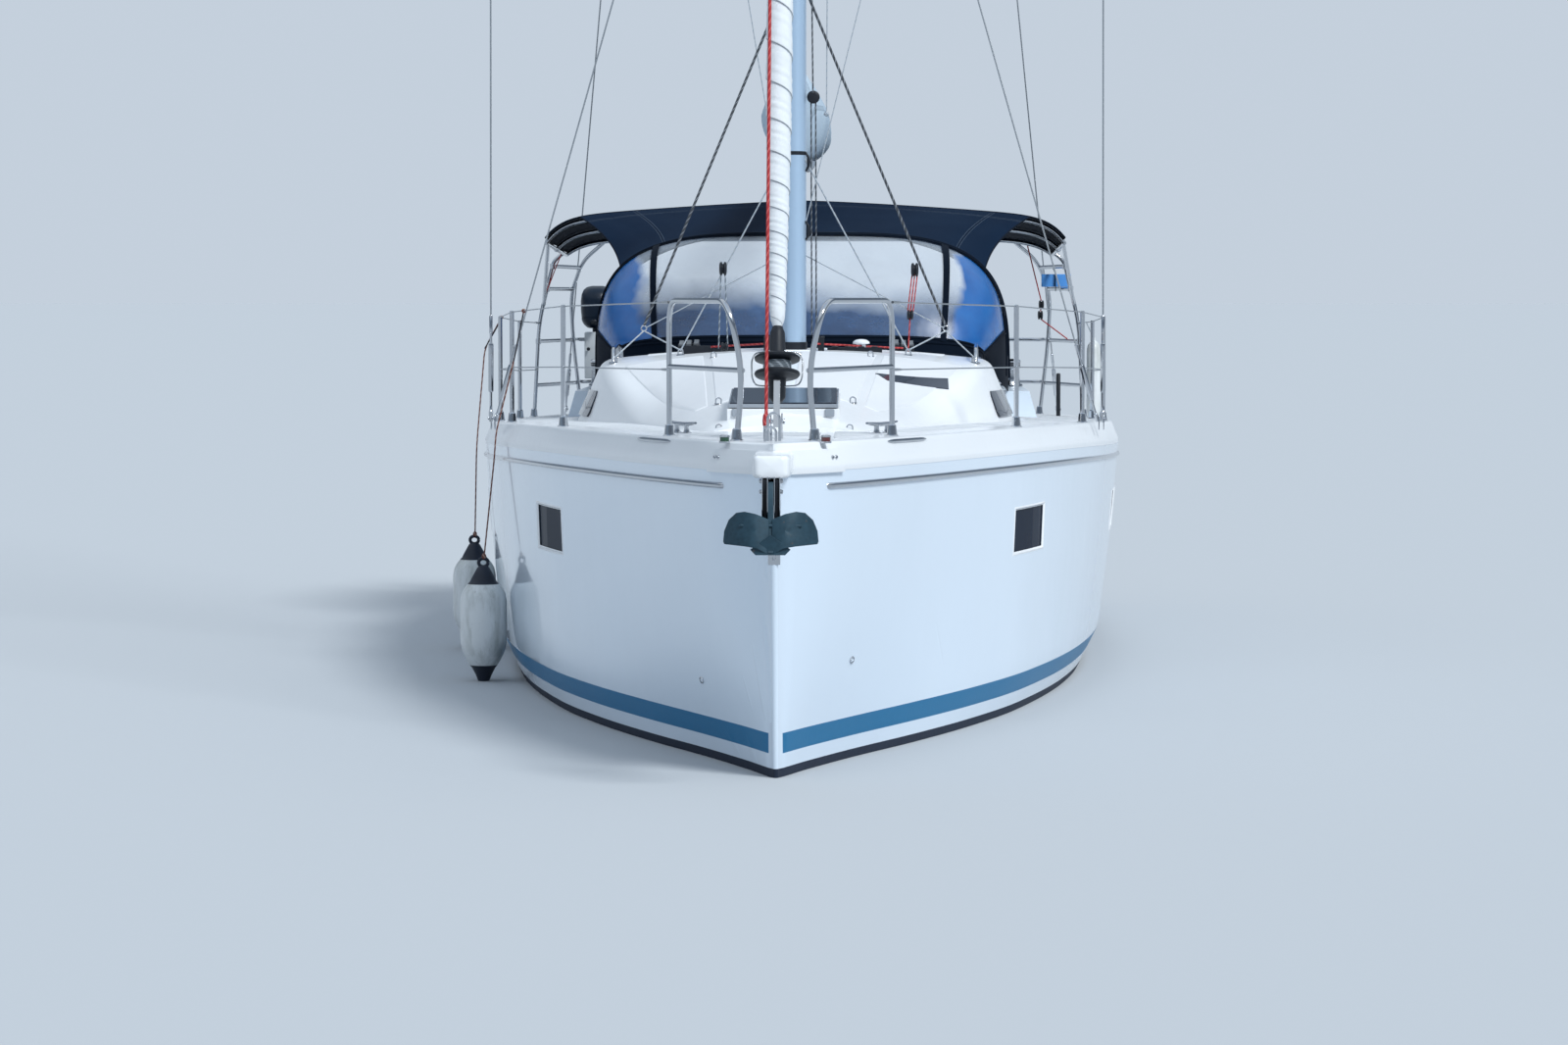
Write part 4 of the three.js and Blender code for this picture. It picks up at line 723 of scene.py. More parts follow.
def roof_half(aft):
    """Half a section of the coachroof from its foot on the deck up the side, round the shoulder on a
    quadratic curve, and over the crown, which is a parabola across. Returns x and z, rows by points."""
    aft = np.asarray(aft, float)[:, None]
    base, shoulder, low, high = (fair(ROOF_ROWS, k, aft) for k in (BASE, SHOULDER, SHOULDER_Z, CROWN_Z))
    foot = fair(HULL_ROWS, SHEER, aft)
    rise = high - low
    reach = np.minimum(ROOF_ROUND, np.minimum((shoulder - TOP_X[0]) * 0.6, (low - foot) * 0.8 + 0.006))
    side = np.hypot(base - shoulder, low - foot)
    a_x, a_z = shoulder + (base - shoulder) * reach / side, low + (foot - low) * reach / side
    b_x = shoulder - reach
    b_z = low + rise * (1 - (b_x / shoulder) ** 2)
    t = np.linspace(0, 1, 7)[None]
    bend_x = (1 - t) ** 2 * a_x + 2 * t * (1 - t) * shoulder + t * t * b_x
    bend_z = (1 - t) ** 2 * a_z + 2 * t * (1 - t) * low + t * t * b_z
    up = np.linspace(0, 1, 7)[None, :-1]
    side_x, side_z = base + (a_x - base) * up, foot - 0.03 + (a_z - foot + 0.03) * up
    over = np.linspace(1, 0, 7)[None, 1:-1]
    wide = TOP_X[0] + (b_x - TOP_X[0]) * over
    top_x = np.concatenate([wide, np.repeat(TOP_X[None], len(aft), 0)], axis=1)
    top_z = low + rise * (1 - (top_x / shoulder) ** 2)
    return np.concatenate([side_x, bend_x, top_x], 1), np.concatenate([side_z, bend_z, top_z], 1)


def roof_at(x, aft, lift=0.0):
    """Height of the coachroof's top at a half breadth and a distance aft."""
    shoulder, low, high = (fair(ROOF_ROWS, k, aft) for k in (SHOULDER, SHOULDER_Z, CROWN_Z))
    return low + (high - low) * (1 - (np.asarray(x) / shoulder) ** 2) + lift


hatch_front = FORE_HATCH["aft"] + FORE_HATCH["rim"]
hatch_back = FORE_HATCH["aft"] + FORE_HATCH["length"] - FORE_HATCH["rim"]
roof_aft = np.sort(np.concatenate([np.linspace(1.722, 1.92, 5), [hatch_front, hatch_back, SLIDE["front"]],
                                   np.linspace(2.0, 2.33, 5), np.linspace(2.45, 6.5, 46),
                                   np.linspace(6.7, ROOF_END, 6)]))
half_x, half_z = roof_half(roof_aft)
whole_x = np.concatenate([half_x, -half_x[:, -2::-1]], 1)
whole_z = np.concatenate([half_z, half_z[:, -2::-1]], 1)
roof_points = np.stack([whole_x, np.repeat(y_of(roof_aft)[:, None], whole_x.shape[1], 1), whole_z], -1)
toe = roof_points[:1] - [0, 0.012, 0]
toe[..., 2] = np.minimum(toe[..., 2], deck_top(toe[..., 0], 1.71)) - 0.008
roof_points = np.concatenate([toe, roof_points])
mid_aft = (roof_points[1:, 0, 1] + roof_points[:-1, 0, 1]) / 2 + MIDSHIP
mid_x = np.abs((roof_points[4, 1:, 0] + roof_points[4, :-1, 0]) / 2)
fore_hole = ((mid_aft > hatch_front) & (mid_aft < hatch_back))[:, None] & (mid_x < TOP_X[2])[None]
back_hole = (mid_aft > SLIDE["front"])[:, None] & (mid_x < SLIDE["half"])[None]
roof_skin = grid(roof_points, keep=~(fore_hole | back_hole)).outward((0, 0, 1.4))
# Painted skylight: the roof's white is a shade lighter than the deck's white, standing for the extra sky
# light on the coachroof.
ROOF_WHITE = plain_gelcoat("coachroof_gelcoat", (0.80, 0.815, 0.83, 1), (0.75, 0.77, 0.795, 1), 0.08)
piece("coachroof_moulding", roof_skin, ROOF_WHITE, replaces=["coachroof"],
      thick=ROOF_SKIN, sharp=32)


def prism(outline, shift):
    """A closed solid between an outline of points, in order, and its copy moved along a vector."""
    outline = np.asarray(outline, float)
    return closed(np.stack([outline, outline + shift]))


def block(x0, x1, front, back, z0, z1):
    """A closed block between two half breadths, distances aft and heights, for edges to be rounded."""
    y0, y1 = y_of(front), y_of(back)
    return prism([(x0, y0, z0), (x1, y0, z0), (x1, y1, z0), (x0, y1, z0)], (0, 0, z1 - z0))


def side_block(side, inner, outer, *rest):
    """A block on one side of the centreline, between two half breadths."""
    return block(*sorted((side * inner, side * outer)), *rest)


def at(x, aft, z):
    """A point by half breadth, distance aft and height."""
    return np.array([x, float(aft) - MIDSHIP, z])


end_x, end_z = roof_half([ROOF_END])
rim = end_x[0] > SLIDE["half"] - 0.001
BULKHEAD = {"y": y_of(7.055), "thick": 0.048, "foot": 1.15, "inset": 0.004}
outline = [(x - BULKHEAD["inset"], BULKHEAD["y"], z - BULKHEAD["inset"])
           for x, z in zip(end_x[0][rim], end_z[0][rim])]
outline += [(x, BULKHEAD["y"], BULKHEAD["foot"]) for x in (SLIDE["half"], end_x[0][0] - BULKHEAD["inset"])]
piece("aft_bulkhead", both_sides(prism(outline, (0, BULKHEAD["thick"], 0))), ROOF_WHITE,
      sharp=30)


def roof_panel(front, back, inner, outer):
    """A non-skid panel on the port half of the roof's top, its rim rolled down."""
    aft, x = panel_grid(front, back, inner, outer, 14, 10)
    z = roof_at(x, aft[:, None], 0.003)
    z[[0, -1]] -= 0.004
    z[:, [0, -1]] -= 0.004
    return grid(np.stack([x, np.repeat(y_of(aft)[:, None], 10, 1), z], -1)).outward((0, 0, 0))


shoulder_line = lambda inset: lambda a: fair(ROOF_ROWS, SHOULDER, a) - inset
roof_panels = []
groove = lambda shift: lambda a: 0.35 + (a - 2.45) * 0.051 + shift
for front, back, inner, outer in [(2.52, 4.50, lambda a: 0.04 + 0 * a, groove(-0.018)),
                                  (2.56, 4.46, groove(0.018), shoulder_line(0.09)),
                                  (4.95, 6.03, lambda a: 0.14 + 0 * a, shoulder_line(0.24)),
                                  (6.10, 6.95, lambda a: 0.36 + 0 * a, shoulder_line(0.24))]:
    roof_panels += both_sides(roof_panel(front, back, inner, outer))
# Painted skylight: this non-skid is lighter than the deck's non-skid, for the extra sky light on the roof.
piece("roof_non_skid_panels", roof_panels,
      non_skid("roof_non_skid", (0.715, 0.73, 0.75, 1), (0.63, 0.65, 0.68, 1)),
      sharp=25)

# Dark acrylic: side windows glued over the coachroof, the fore hatch in its frame, a flush skylight on
# the port side, and the hull's portlights set back behind white bevels.
SIDE_WINDOW = [(4.46, 1.562), (6.76, 1.547), (6.92, 1.418), (4.40, 1.430)]


def smoked_acrylic(name, gloss, index=1.5):
    """Near-black gloss with a faint blue-brown cast that drifts across it, and finely varying roughness."""
    f = Finish(name, Coat_Weight=gloss, Coat_Roughness=0.02, Specular_IOR_Level=0.3 + 0.3 * gloss, IOR=index)
    drift = f.noise(2.4, 2)
    tint = f.mix(drift, (0.007, 0.012, 0.024, 1),
                 (0.014 + 0.041 * gloss, 0.022 + 0.038 * gloss, 0.040 + 0.030 * gloss, 1))
    return f.put(Base_Color=tint, Roughness=f.noise(60, 4, roughness=0.7) * 0.10 + 0.02)


DARK_GLASS = smoked_acrylic("smoked_acrylic", 0.3, 1.3)
PORTLIGHT_GLASS = smoked_acrylic("portlight_acrylic", 0.0, 1.06)


def four_cornered(corners, s, t):
    """Both coordinates over a four-cornered sheet: s runs from the first corner to the second, and t from
    that edge to the one between the fourth and the third."""
    return [(a + (b - a) * s) * (1 - t) + (d + (c - d) * s) * t for a, b, c, d in zip(*corners)]


def side_window(side):
    """A rounded four-cornered sheet 3 mm proud of the coachroof's sloping side."""
    s, t = np.linspace(0, 1, 26)[:, None], np.linspace(0, 1, 7)[None]
    aft, z = four_cornered(SIDE_WINDOW, s, t)
    rounding = 0.02 * (np.maximum(0, np.abs(2 * t - 1) - 0.6) / 0.4) ** 2
    aft = aft + rounding * (np.exp(-s * 40) - np.exp((s - 1) * 40))
    base, shoulder, low = (fair(ROOF_ROWS, k, aft) for k in (BASE, SHOULDER, SHOULDER_Z))
    foot = fair(HULL_ROWS, SHEER, aft)
    x = base + (shoulder - base) * (z - foot) / (low - foot) + 0.003
    return grid(np.stack([side * x, y_of(aft), z], -1)).outward((0, 0, 1.4))


for name, side in SIDES.items():
    piece(f"side_window_{name}", side_window(side), DARK_GLASS,
          replaces=[f"coachroof_window_{name}"], thick=0.006, bevel=0.0015)
dress(PORTLIGHT_GLASS, *(f"hull_window_{place}_{side}" for place in HULL_WINDOWS
                         for side in SIDES))
softened("foredeck_hatch", DARK_GLASS, 0.005)
HATCH_SLOPE = math.atan2(FORE_HATCH["rise"], FORE_HATCH["length"])


def on_hatch(x, back, up):
    """A point on the fore hatch's sloping plane: across, back from its front edge, and square to it."""
    c, s = math.cos(HATCH_SLOPE), math.sin(HATCH_SLOPE)
    return at(x, FORE_HATCH["aft"] + back * c - up * s, FORE_HATCH["z"] + back * s + up * c)


def hatch_frame(inner, outer, low, high):
    """A square frame on the hatch's plane: four mitred bars between an inner and an outer rectangle."""
    size, half = FORE_HATCH["length"], FORE_HATCH["half"]
    corners = lambda grow, up: [on_hatch(x * (half + grow), size / 2 + b * (size / 2 + grow), up)
                                for x, b in ((1, 1), (-1, 1), (-1, -1), (1, -1), (1, 1))]
    rings = [corners(outer, low), corners(outer, high), corners(inner, high), corners(inner, low),
             corners(outer, low)]
    return grid(np.array(rings)).outward(on_hatch(0, size / 2, -0.5))


piece("hatch_plinth", hatch_frame(-0.03, 0.015, -0.09, -0.002), ROOF_WHITE,
      sharp=30, bevel=0.004)
STEEL_GREY = plain_gelcoat("frame_alloy", (0.30, 0.33, 0.37, 1), (0.22, 0.25, 0.29, 1))
piece("hatch_frame", hatch_frame(0.001, 0.009, 0.003, 0.020), STEEL_GREY, body="foredeck_hatch",
      bevel=0.002)
hinges = [block(x - 0.022, x + 0.022, FORE_HATCH["aft"] - 0.022, FORE_HATCH["aft"] - 0.006,
                1.503, 1.5375) for x in (-0.215, 0.215)]
piece("hatch_hinge_leaves", hinges, STEEL_GREY, bevel=0.004)

SKYLIGHT = [(0.427, 3.64), (0.486, 3.53), (0.800, 3.86), (0.800, 4.06)]
sky_x, sky_aft = four_cornered(SKYLIGHT, np.linspace(0, 1, 6)[None], np.linspace(0, 1, 14)[:, None])
sky_z = roof_at(np.minimum(sky_x, 0.97 * fair(ROOF_ROWS, SHOULDER, sky_aft)), sky_aft, 0.005)
piece("skylight_port", grid(np.stack([sky_x, y_of(sky_aft), sky_z], -1)).outward((0, 0, 0)), DARK_GLASS,
      thick=0.008, bevel=0.002)

# White mouldings on the coachroof and hull: the sliding hatch over the companionway in its runners, the box
# under the mast, and the portlights' frames, whose bevels lead from the topside in to the glass.
slides = [side_block(side, 0.298, 0.32, 6.08, 7.10, 1.70, 1.79) for side in (1, -1)]
piece("slide_runners", slides, ROOF_WHITE, bevel=0.006)
piece("mast_step", block(-0.11, 0.11, 4.57, 4.83, 1.72, 1.775), ROOF_WHITE,
      bevel=0.012)
softened("companionway_hatch", ROOF_WHITE, 0.008)


def stepped(knots, count):
    """A path through knots, of which each stretch takes count - 1 even steps."""
    return np.concatenate([np.linspace(a, b, count)[:-1] for a, b in zip(knots, knots[1:])]
                          + [knots[-1][None]])


def portlight_frame(side, front, back):
    """The moulded white bevel round a hull portlight: from its edge in the topside in to the dark glass."""
    top, foot = (float(fair(HULL_ROWS, SHEER, (front + back) / 2)) - drop
                 for drop in (WINDOW_HEAD, WINDOW_FOOT))
    rings = []
    for inset, depth in ((-0.005, -0.0005), (0.0, 0.002), (0.004, 0.0025), (0.009, -0.004),
                         (0.013, -0.0056)):
        aft = np.array([front, back, back, front, front]) + np.array([1, -1, -1, 1, 1]) * inset
        aft = aft + WINDOW_SLANT * np.array([1, 0, -1, 0, 1])
        z = np.array([top, top, foot, foot, top]) + np.array([-1, -1, 1, 1, -1]) * inset
        edge = stepped(np.stack([aft, z], -1), 7)
        x = topside(edge[:, 0], edge[:, 1]) + SKIN_PROUD + depth
        rings.append(np.stack([side * x, y_of(edge[:, 0] + lean(edge[:, 0], edge[:, 1])), edge[:, 1]], -1))
    return grid(np.array(rings)).outward((0, 0, 0.5))


frames = [portlight_frame(side, *span) for side in (1, -1) for span in HULL_WINDOWS.values()]
piece("portlight_frames", frames, ROOF_WHITE, sharp=25)

# Stainless tubes: the split pulpit, the stanchions with their guard wires, and fittings of polished
# stainless bar. Each tube is bent cold, so every corner is a smooth curve.
TUBE = 0.0125


def polished_steel(name, tint=(0.50, 0.52, 0.55, 1)):
    """Polished stainless with fine lengthwise brushing and faint tea staining."""
    f = Finish(name, Metallic=1.0, Roughness=0.18)
    stain = f.noise(9, 4, roughness=0.7)
    brushed = f.noise(120, 2, stretch=(1, 1, 0.15))
    return f.put(Base_Color=f.mix(stain.step(0.66, 0.16) * 0.35, tint, (0.42, 0.36, 0.30, 1)),
                 Roughness=brushed * 0.12 + 0.06)


STEEL = polished_steel("polished_stainless")


def rounded(points, radius, steps=6):
    """A path whose corners are quadratic curves that start a radius before each corner and end one after."""
    points = [np.asarray(p, float) for p in points]
    path = [points[0]]
    for before, corner, after in zip(points, points[1:], points[2:]):
        into, out = before - corner, after - corner
        reach = min(radius, np.linalg.norm(into) * 0.48, np.linalg.norm(out) * 0.48)
        start = corner + into / np.linalg.norm(into) * reach
        end = corner + out / np.linalg.norm(out) * reach
        t = np.linspace(0, 1, steps)[:, None]
        path.extend((1 - t) ** 2 * start + 2 * t * (1 - t) * corner + t * t * end)
    path.append(points[-1])
    return np.array(path)


def carried(path, radius, sides=12, flat=1.0, level=None):
    """A closed tube along a path: rings in the plane across each point's direction, turned as little as
    possible from ring to ring. radius may change along it; flat squeezes it across; level is a direction
    that the first ring's side axis is square to."""
    path = np.asarray(path, float)
    ahead = np.gradient(path, axis=0)
    ahead /= np.maximum(np.linalg.norm(ahead, axis=1, keepdims=True), 1e-12)
    up = np.array([0, 0, 1.0]) if level is None else np.asarray(level, float)
    if abs(ahead[0] @ up) > 0.98:
        up = np.array([0, 1.0, 0])
    sideways = np.cross(ahead[0], up)
    frames = []
    for direction in ahead:
        sideways = sideways - direction * (sideways @ direction)
        sideways /= np.linalg.norm(sideways)
        frames.append((sideways, np.cross(sideways, direction)))
    a = np.linspace(0, 2 * np.pi, sides, endpoint=False)
    radius = np.broadcast_to(radius, len(path))
    rings = np.array([p + r * (np.cos(a)[:, None] * s + np.sin(a)[:, None] * u * flat)
                      for p, r, (s, u) in zip(path, radius, frames)])
    return closed(rings)


def turned(foot, axis, profile, sides=20):
    """A turned piece: circles of the profile's (height, radius) pairs along an axis from a foot."""
    axis = np.asarray(axis, float) / np.linalg.norm(axis)
    side = np.cross(axis, [0, 1, 0] if abs(axis[1]) < 0.9 else [1, 0, 0])
    side /= np.linalg.norm(side)
    other = np.cross(axis, side)
    a = np.linspace(0, 2 * np.pi, sides, endpoint=False)
    round_it = np.cos(a)[:, None] * side + np.sin(a)[:, None] * other
    return closed(np.array([np.asarray(foot) + axis * h + r * round_it for h, r in profile]))


PULPIT = {"front": 0.40, "back": 1.35, "corner": 0.50, "top": 2.038, "mid": 1.742, "bend": 0.13}
STANCHIONS = [(3.40, 1.126, 2.014), (5.40, 1.553, 1.977), (6.90, 1.748, 1.940), (8.45, 1.765, 1.905)]
STERN = {"leg": 9.60, "foot": 1.770, "rail": 1.890}
WIRE_DROPS = (0.008, 0.310)
BASE_CUP = [(-0.002, 0.030), (0.004, 0.030), (0.008, 0.024), (0.05, 0.019), (0.055, 0.014)]


def pulpit(side):
    """One pulpit frame: a hoop bent twice, a middle rail and its bases."""
    p = PULPIT
    hoop = rounded([at(side * 0.166, p["front"], deck_top(0.166, 0.42) - 0.002),
                    at(side * 0.140, p["front"] - 0.01, p["mid"]),
                    at(side * 0.205, p["front"] - 0.03, p["top"]),
                    at(side * p["corner"], p["back"], p["top"]),
                    at(side * p["corner"], p["back"] + 0.02, deck_top(p["corner"], 1.37) - 0.002)],
                   p["bend"], 10)
    middle = [at(side * 0.140, p["front"] - 0.01, p["mid"]), at(side * 0.300, 0.80, p["mid"]),
              at(side * p["corner"], p["back"] + 0.01, p["mid"])]
    cups = [turned(at(side * x, aft, deck_top(x, aft)), (0, 0, 1), BASE_CUP)
            for x, aft in ((0.166, 0.40), (0.50, 1.37))]
    return [carried(hoop, TUBE, 14), carried(rounded(middle, 0.2), TUBE * 0.9, 12)] + cups


def guard_rail(side):
    """Stanchions in their bases, with ball tops, and two wires through them from pulpit to stern frame."""
    made = []
    for aft, x, top in STANCHIONS:
        foot = float(deck_top(x, aft))
        made.append(carried([at(side * x, aft, foot - 0.002), at(side * x, aft, (foot + top) / 2),
                             at(side * x, aft, top - 0.006), at(side * x, aft, top)],
                            [TUBE, TUBE, TUBE, TUBE * 0.55], 14))
        made.append(turned(at(side * x, aft, foot), (0, 0, 1), BASE_CUP))
        made += [turned(at(side * x, aft - 0.018, top - drop), (0, 1, 0),
                        [(0, 0.006), (0.004, 0.0075), (0.032, 0.0075), (0.036, 0.006)], 10)
                 for drop in WIRE_DROPS]
    return made


def guard_wires(side):
    """Stranded wires with a swaged terminal at each end."""
    made = []
    for drop in WIRE_DROPS:
        knots = [at(side * (PULPIT["corner"] + 0.002), PULPIT["back"] + 0.018, PULPIT["top"] - drop)]
        knots += [at(side * x, aft, top - drop) for aft, x, top in STANCHIONS]
        knots += [at(side * (STERN["foot"] - 0.022), STERN["leg"] - 0.010, STERN["rail"] - drop)]
        made.append(carried(stepped(knots, 9), 0.0032, 8))
        for near, far in ((knots[0], knots[1]), (knots[-1], knots[-2])):
            step = (far - near) / np.linalg.norm(far - near)
            made.append(carried([near, near + step * 0.06, near + step * 0.13, near + step * 0.14],
                                [0.007, 0.007, 0.005, 0.003], 10))
    return made


def stranded_wire(name, tint=(0.50, 0.53, 0.56, 1)):
    """Nineteen-strand wire: a fine spiral along the surface map, with painted shade in dark grey between the
    strands.
    """
    f = Finish(name, Metallic=0.9, Roughness=0.35)
    u, v = f.surface()
    strands = abs((u * 900 + v * 520).sine())
    # Painted shade: dark grey in the grooves between the strands.
    return f.put(Base_Color=f.mix(strands, (0.20, 0.21, 0.22, 1), tint), Normal=f.bump(strands, 0.0008, 0.8))


RIGGING = stranded_wire("stranded_rigging_wire")
for name, side in SIDES.items():
    piece(f"pulpit_frame_{name}", pulpit(side), STEEL, replaces=[f"pulpit_{name}"])
    piece(f"stanchions_{name}", guard_rail(side), STEEL, replaces=[f"guardrail_{name}"])
    piece(f"guard_wires_{name}", guard_wires(side), RIGGING)

# Rub rail: a half-round stainless strip along each topside, just under the joint of hull and deck, from
# behind the stem to the transom. Its front end is closed by a dome.
RAIL = {"below": 0.185, "half": 0.014, "proud": 0.017, "front": 0.30}


def rub_rail(side):
    """A half-round section carried along the topside at one depth under the sheer, closed by a dome."""
    aft = np.concatenate([RAIL["front"] + np.array([0, 0.003, 0.012]), np.linspace(0.34, 10.89, 80)])
    z = fair(HULL_ROWS, SHEER, aft) - RAIL["below"]
    x = topside(aft, z)
    a = np.linspace(-np.pi / 2, np.pi / 2, 9)
    size = np.concatenate([[0.35, 0.75, 0.95], np.ones(80)])[:, None]
    ring_x = x[:, None] - 0.004 + RAIL["proud"] * np.cos(a) * size + 0.004 * np.cos(a)
    ring_z = z[:, None] + RAIL["half"] * np.sin(a) * size
    ring_y = y_of(aft[:, None] + lean(aft[:, None], ring_z))
    return closed(np.stack([side * ring_x, ring_y, ring_z], -1))


for name, side in SIDES.items():
    piece(f"rub_rail_strip_{name}", [rub_rail(side)], STEEL,
          replaces=[f"rub_rail_{name}"], sharp=50)

# Bow fitting: a moulded white sprit with wings screwed over the bevelled edge, stainless roller cheeks
# hanging under its nose, and a galvanised plough anchor drawn up against the roller.
SPRIT = {"low": 1.317, "high": 1.410}
ROLLER_AFT = -0.395


def rounded_ring(half, low, high, corner, count=6):
    """An upright rectangle across the hull with rounded corners, as x and z."""
    turns = np.linspace(0, np.pi / 2, count)
    x, z = [], []
    for sx, sz, start in ((1, 1, 0), (-1, 1, 1), (-1, -1, 2), (1, -1, 3)):
        a = turns + start * np.pi / 2
        x.extend(sx * (half - corner) + corner * np.cos(a))
        z.extend((high - corner if sz > 0 else low + corner) + corner * np.sin(a))
    return np.array(x), np.array(z)


def sprit_nose():
    """The nose: rounded rectangles lofted aft, drawn in to a soft front, wider where it meets the wings."""
    rings = []
    for aft, half, drop in [(-0.430, 0.046, 0.012), (-0.426, 0.060, 0.004), (-0.415, 0.069, 0.001),
                            (-0.39, 0.075, 0.0), (-0.33, 0.080, 0.0), (-0.10, 0.081, 0.0),
                            (0.02, 0.082, 0.0), (0.14, 0.082, 0.0)]:
        x, z = rounded_ring(half, SPRIT["low"] + drop, SPRIT["high"] - drop, min(0.018, half * 0.4))
        rings.append(np.stack([x, np.full(len(x), y_of(aft)), z], -1))
    return closed(np.array(rings))


def sprit_wing():
    """A wing each side: a plate that follows the deck's bevelled edge round the stem, 12 mm proud of it."""
    aft = np.linspace(0.0, 0.42, 16)
    edge, level = fair(HULL_ROWS, GUNWALE, aft), fair(HULL_ROWS, SHEER, aft)
    offsets = np.array([[0.018, -0.128], [0.019, -0.106], [0.017, -0.094], [0.004, -0.06], [-0.009, -0.026]])
    half = np.maximum(edge + offsets[:, :1], 0.006)
    sheet = grid(round_the_stem(half, level + offsets[:, 1:], np.repeat(aft[None], len(offsets), 0)))
    return sheet.outward((0, 0.4 - MIDSHIP, 1.3))


screws = []
for side in (1, -1):
    for aft, depth in ((0.345, 0.062), (0.375, 0.062)):
        x = float(fair(HULL_ROWS, GUNWALE, aft)) - 0.002
        spot = at(side * (x + 0.004), aft, 1.437 - depth)
        screws.append(turned(spot - [side * 0.002, 0, 0], (side, -0.9, 0.5),
                             [(0, 0.0085), (0.003, 0.0085), (0.005, 0.004)], 12))
piece("sprit_nose", sprit_nose(), DECK_WHITE, replaces=["bow_fitting"], sharp=40)
piece("sprit_wings", sprit_wing(), DECK_WHITE, thick=0.014, bevel=0.003)
CHEEK = [(-0.428, 1.325), (-0.437, 1.18), (-0.425, 1.14), (-0.38, 1.14), (-0.34, 1.22), (-0.02, 1.29),
         (-0.02, 1.325)]
cheeks = [prism([at(side * x, aft, z) for aft, z in CHEEK], (side * 0.004, 0, 0)) for side in (1, -1)
          for x in (0.034, 0.012)]
cheeks += [turned(at(side * 0.037, ROLLER_AFT, z), (side, 0, 0),
                  [(0, 0.009), (0.009, 0.009), (0.012, 0.005)], 12) for side in (1, -1)
           for z in (1.262, 1.306)]
piece("roller_cheeks", cheeks + screws, STEEL, bevel=0.001)


def scaled(tint, by):
    """A tint made darker or lighter by a factor."""
    return tuple(min(1, c * by) for c in tint[:3]) + (1,)


def rubber_black(name, tint=(0.008, 0.010, 0.014, 1)):
    """Satin black plastic or rubber with a fine grain."""
    f = Finish(name, Roughness=0.45, Specular_IOR_Level=0.28)
    grain = f.noise(900, 2)
    return f.put(Base_Color=f.mix(f.noise(12, 4), tint, scaled(tint, 1.8)),
                 Roughness=grain * 0.2 + 0.32, Normal=f.bump(grain, 0.0004, 0.5))


BLACK = rubber_black("black_plastic")
# Painted shade: black blocks between the cheek plates fill the dark slot round the roller.
slot_shade_blocks = [side_block(side, 0.0165, 0.0335, -0.420, -0.34, 1.145, 1.316) for side in (1, -1)]
piece("bow_roller_slot_shade", slot_shade_blocks, BLACK, bevel=0.004)


def galvanised_iron(name):
    """Hot-dip zinc dulled by use: crystalline patches, dark green-grey stains and rust on the edges."""
    f = Finish(name, Metallic=0.25, Roughness=0.6)
    spangle = f.add("ShaderNodeTexVoronoi", values={"Vector": f.place, "Scale": 55})
    stain = f.noise(11, 5, roughness=0.7)
    colour = f.mix(spangle * 0.3 + stain * 0.55, (0.004, 0.022, 0.036, 1), (0.022, 0.070, 0.105, 1))
    rust = f.noise(26, 5, roughness=0.75).step(0.68, 0.08)
    return f.put(Base_Color=f.mix(rust * 0.5, colour, (0.11, 0.075, 0.05, 1)), Roughness=stain * 0.35 + 0.4,
                 Normal=f.bump(stain, 0.0015, 0.5))


ZINC = galvanised_iron("galvanised_iron")
FLUKE_EDGE = np.array([[0.006, 1.155], [0.060, 1.178], [0.105, 1.187], [0.140, 1.181], [0.172, 1.150],
                       [0.190, 1.105], [0.194, 1.062], [0.190, 1.052], [0.100, 1.047], [0.055, 1.040],
                       [0.006, 1.012]])


def fluke(side):
    """One plough share: a plate 12 mm thick that folds back from the middle, hollow on its face."""
    centre = np.array([0.06, 1.11])
    rings = []
    for share in (0.0, 0.35, 0.7, 0.93, 1.0):
        p = centre + (FLUKE_EDGE - centre) * share
        depth = -0.538 + 0.42 * p[:, 0] - 0.05 * np.sin(np.pi * np.clip(p[:, 0] / 0.194, 0, 1))
        depth = depth + 0.17 * np.clip(p[:, 1] - 1.02, 0, 1)
        rings.append(np.stack([side * p[:, 0], y_of(depth), p[:, 1]], -1))
    front, back = np.array(rings), np.array(rings) + [0, 0.012, 0]
    return closed(np.concatenate([front, back[::-1]]))


anchor_parts = [fluke(1), fluke(-1)]
anchor_parts += [carried([at(-0.128, -0.512, 1.128), at(-0.12, -0.514, 1.130), at(0.12, -0.514, 1.130),
                          at(0.128, -0.512, 1.128)], [0.004, 0.008, 0.008, 0.004], 12)]
shank = [(-0.545, 1.02), (-0.520, 1.10), (-0.500, 1.20), (-0.492, 1.268), (-0.470, 1.300),
         (-0.430, 1.3035), (-0.10, 1.304), (-0.10, 1.268), (-0.40, 1.264), (-0.452, 1.256),
         (-0.466, 1.20), (-0.478, 1.10), (-0.49, 1.02)]
anchor_parts.append(prism([at(-0.011, a, z) for a, z in shank], (0.022, 0, 0)))
TIP = [(-0.060, 1.012), (0.060, 1.012), (0.082, 1.034), (0.0, 1.096), (-0.082, 1.034)]
tip_plate = prism([at(x, -0.562 + 0.35 * abs(x), z) for x, z in TIP], (0, 0.012, 0))
piece("anchor_tip", tip_plate, galvanised_iron("bright_zinc"), bevel=0.002)
piece("plough_anchor", anchor_parts, ZINC, replaces=["anchor"], bevel=0.0025)

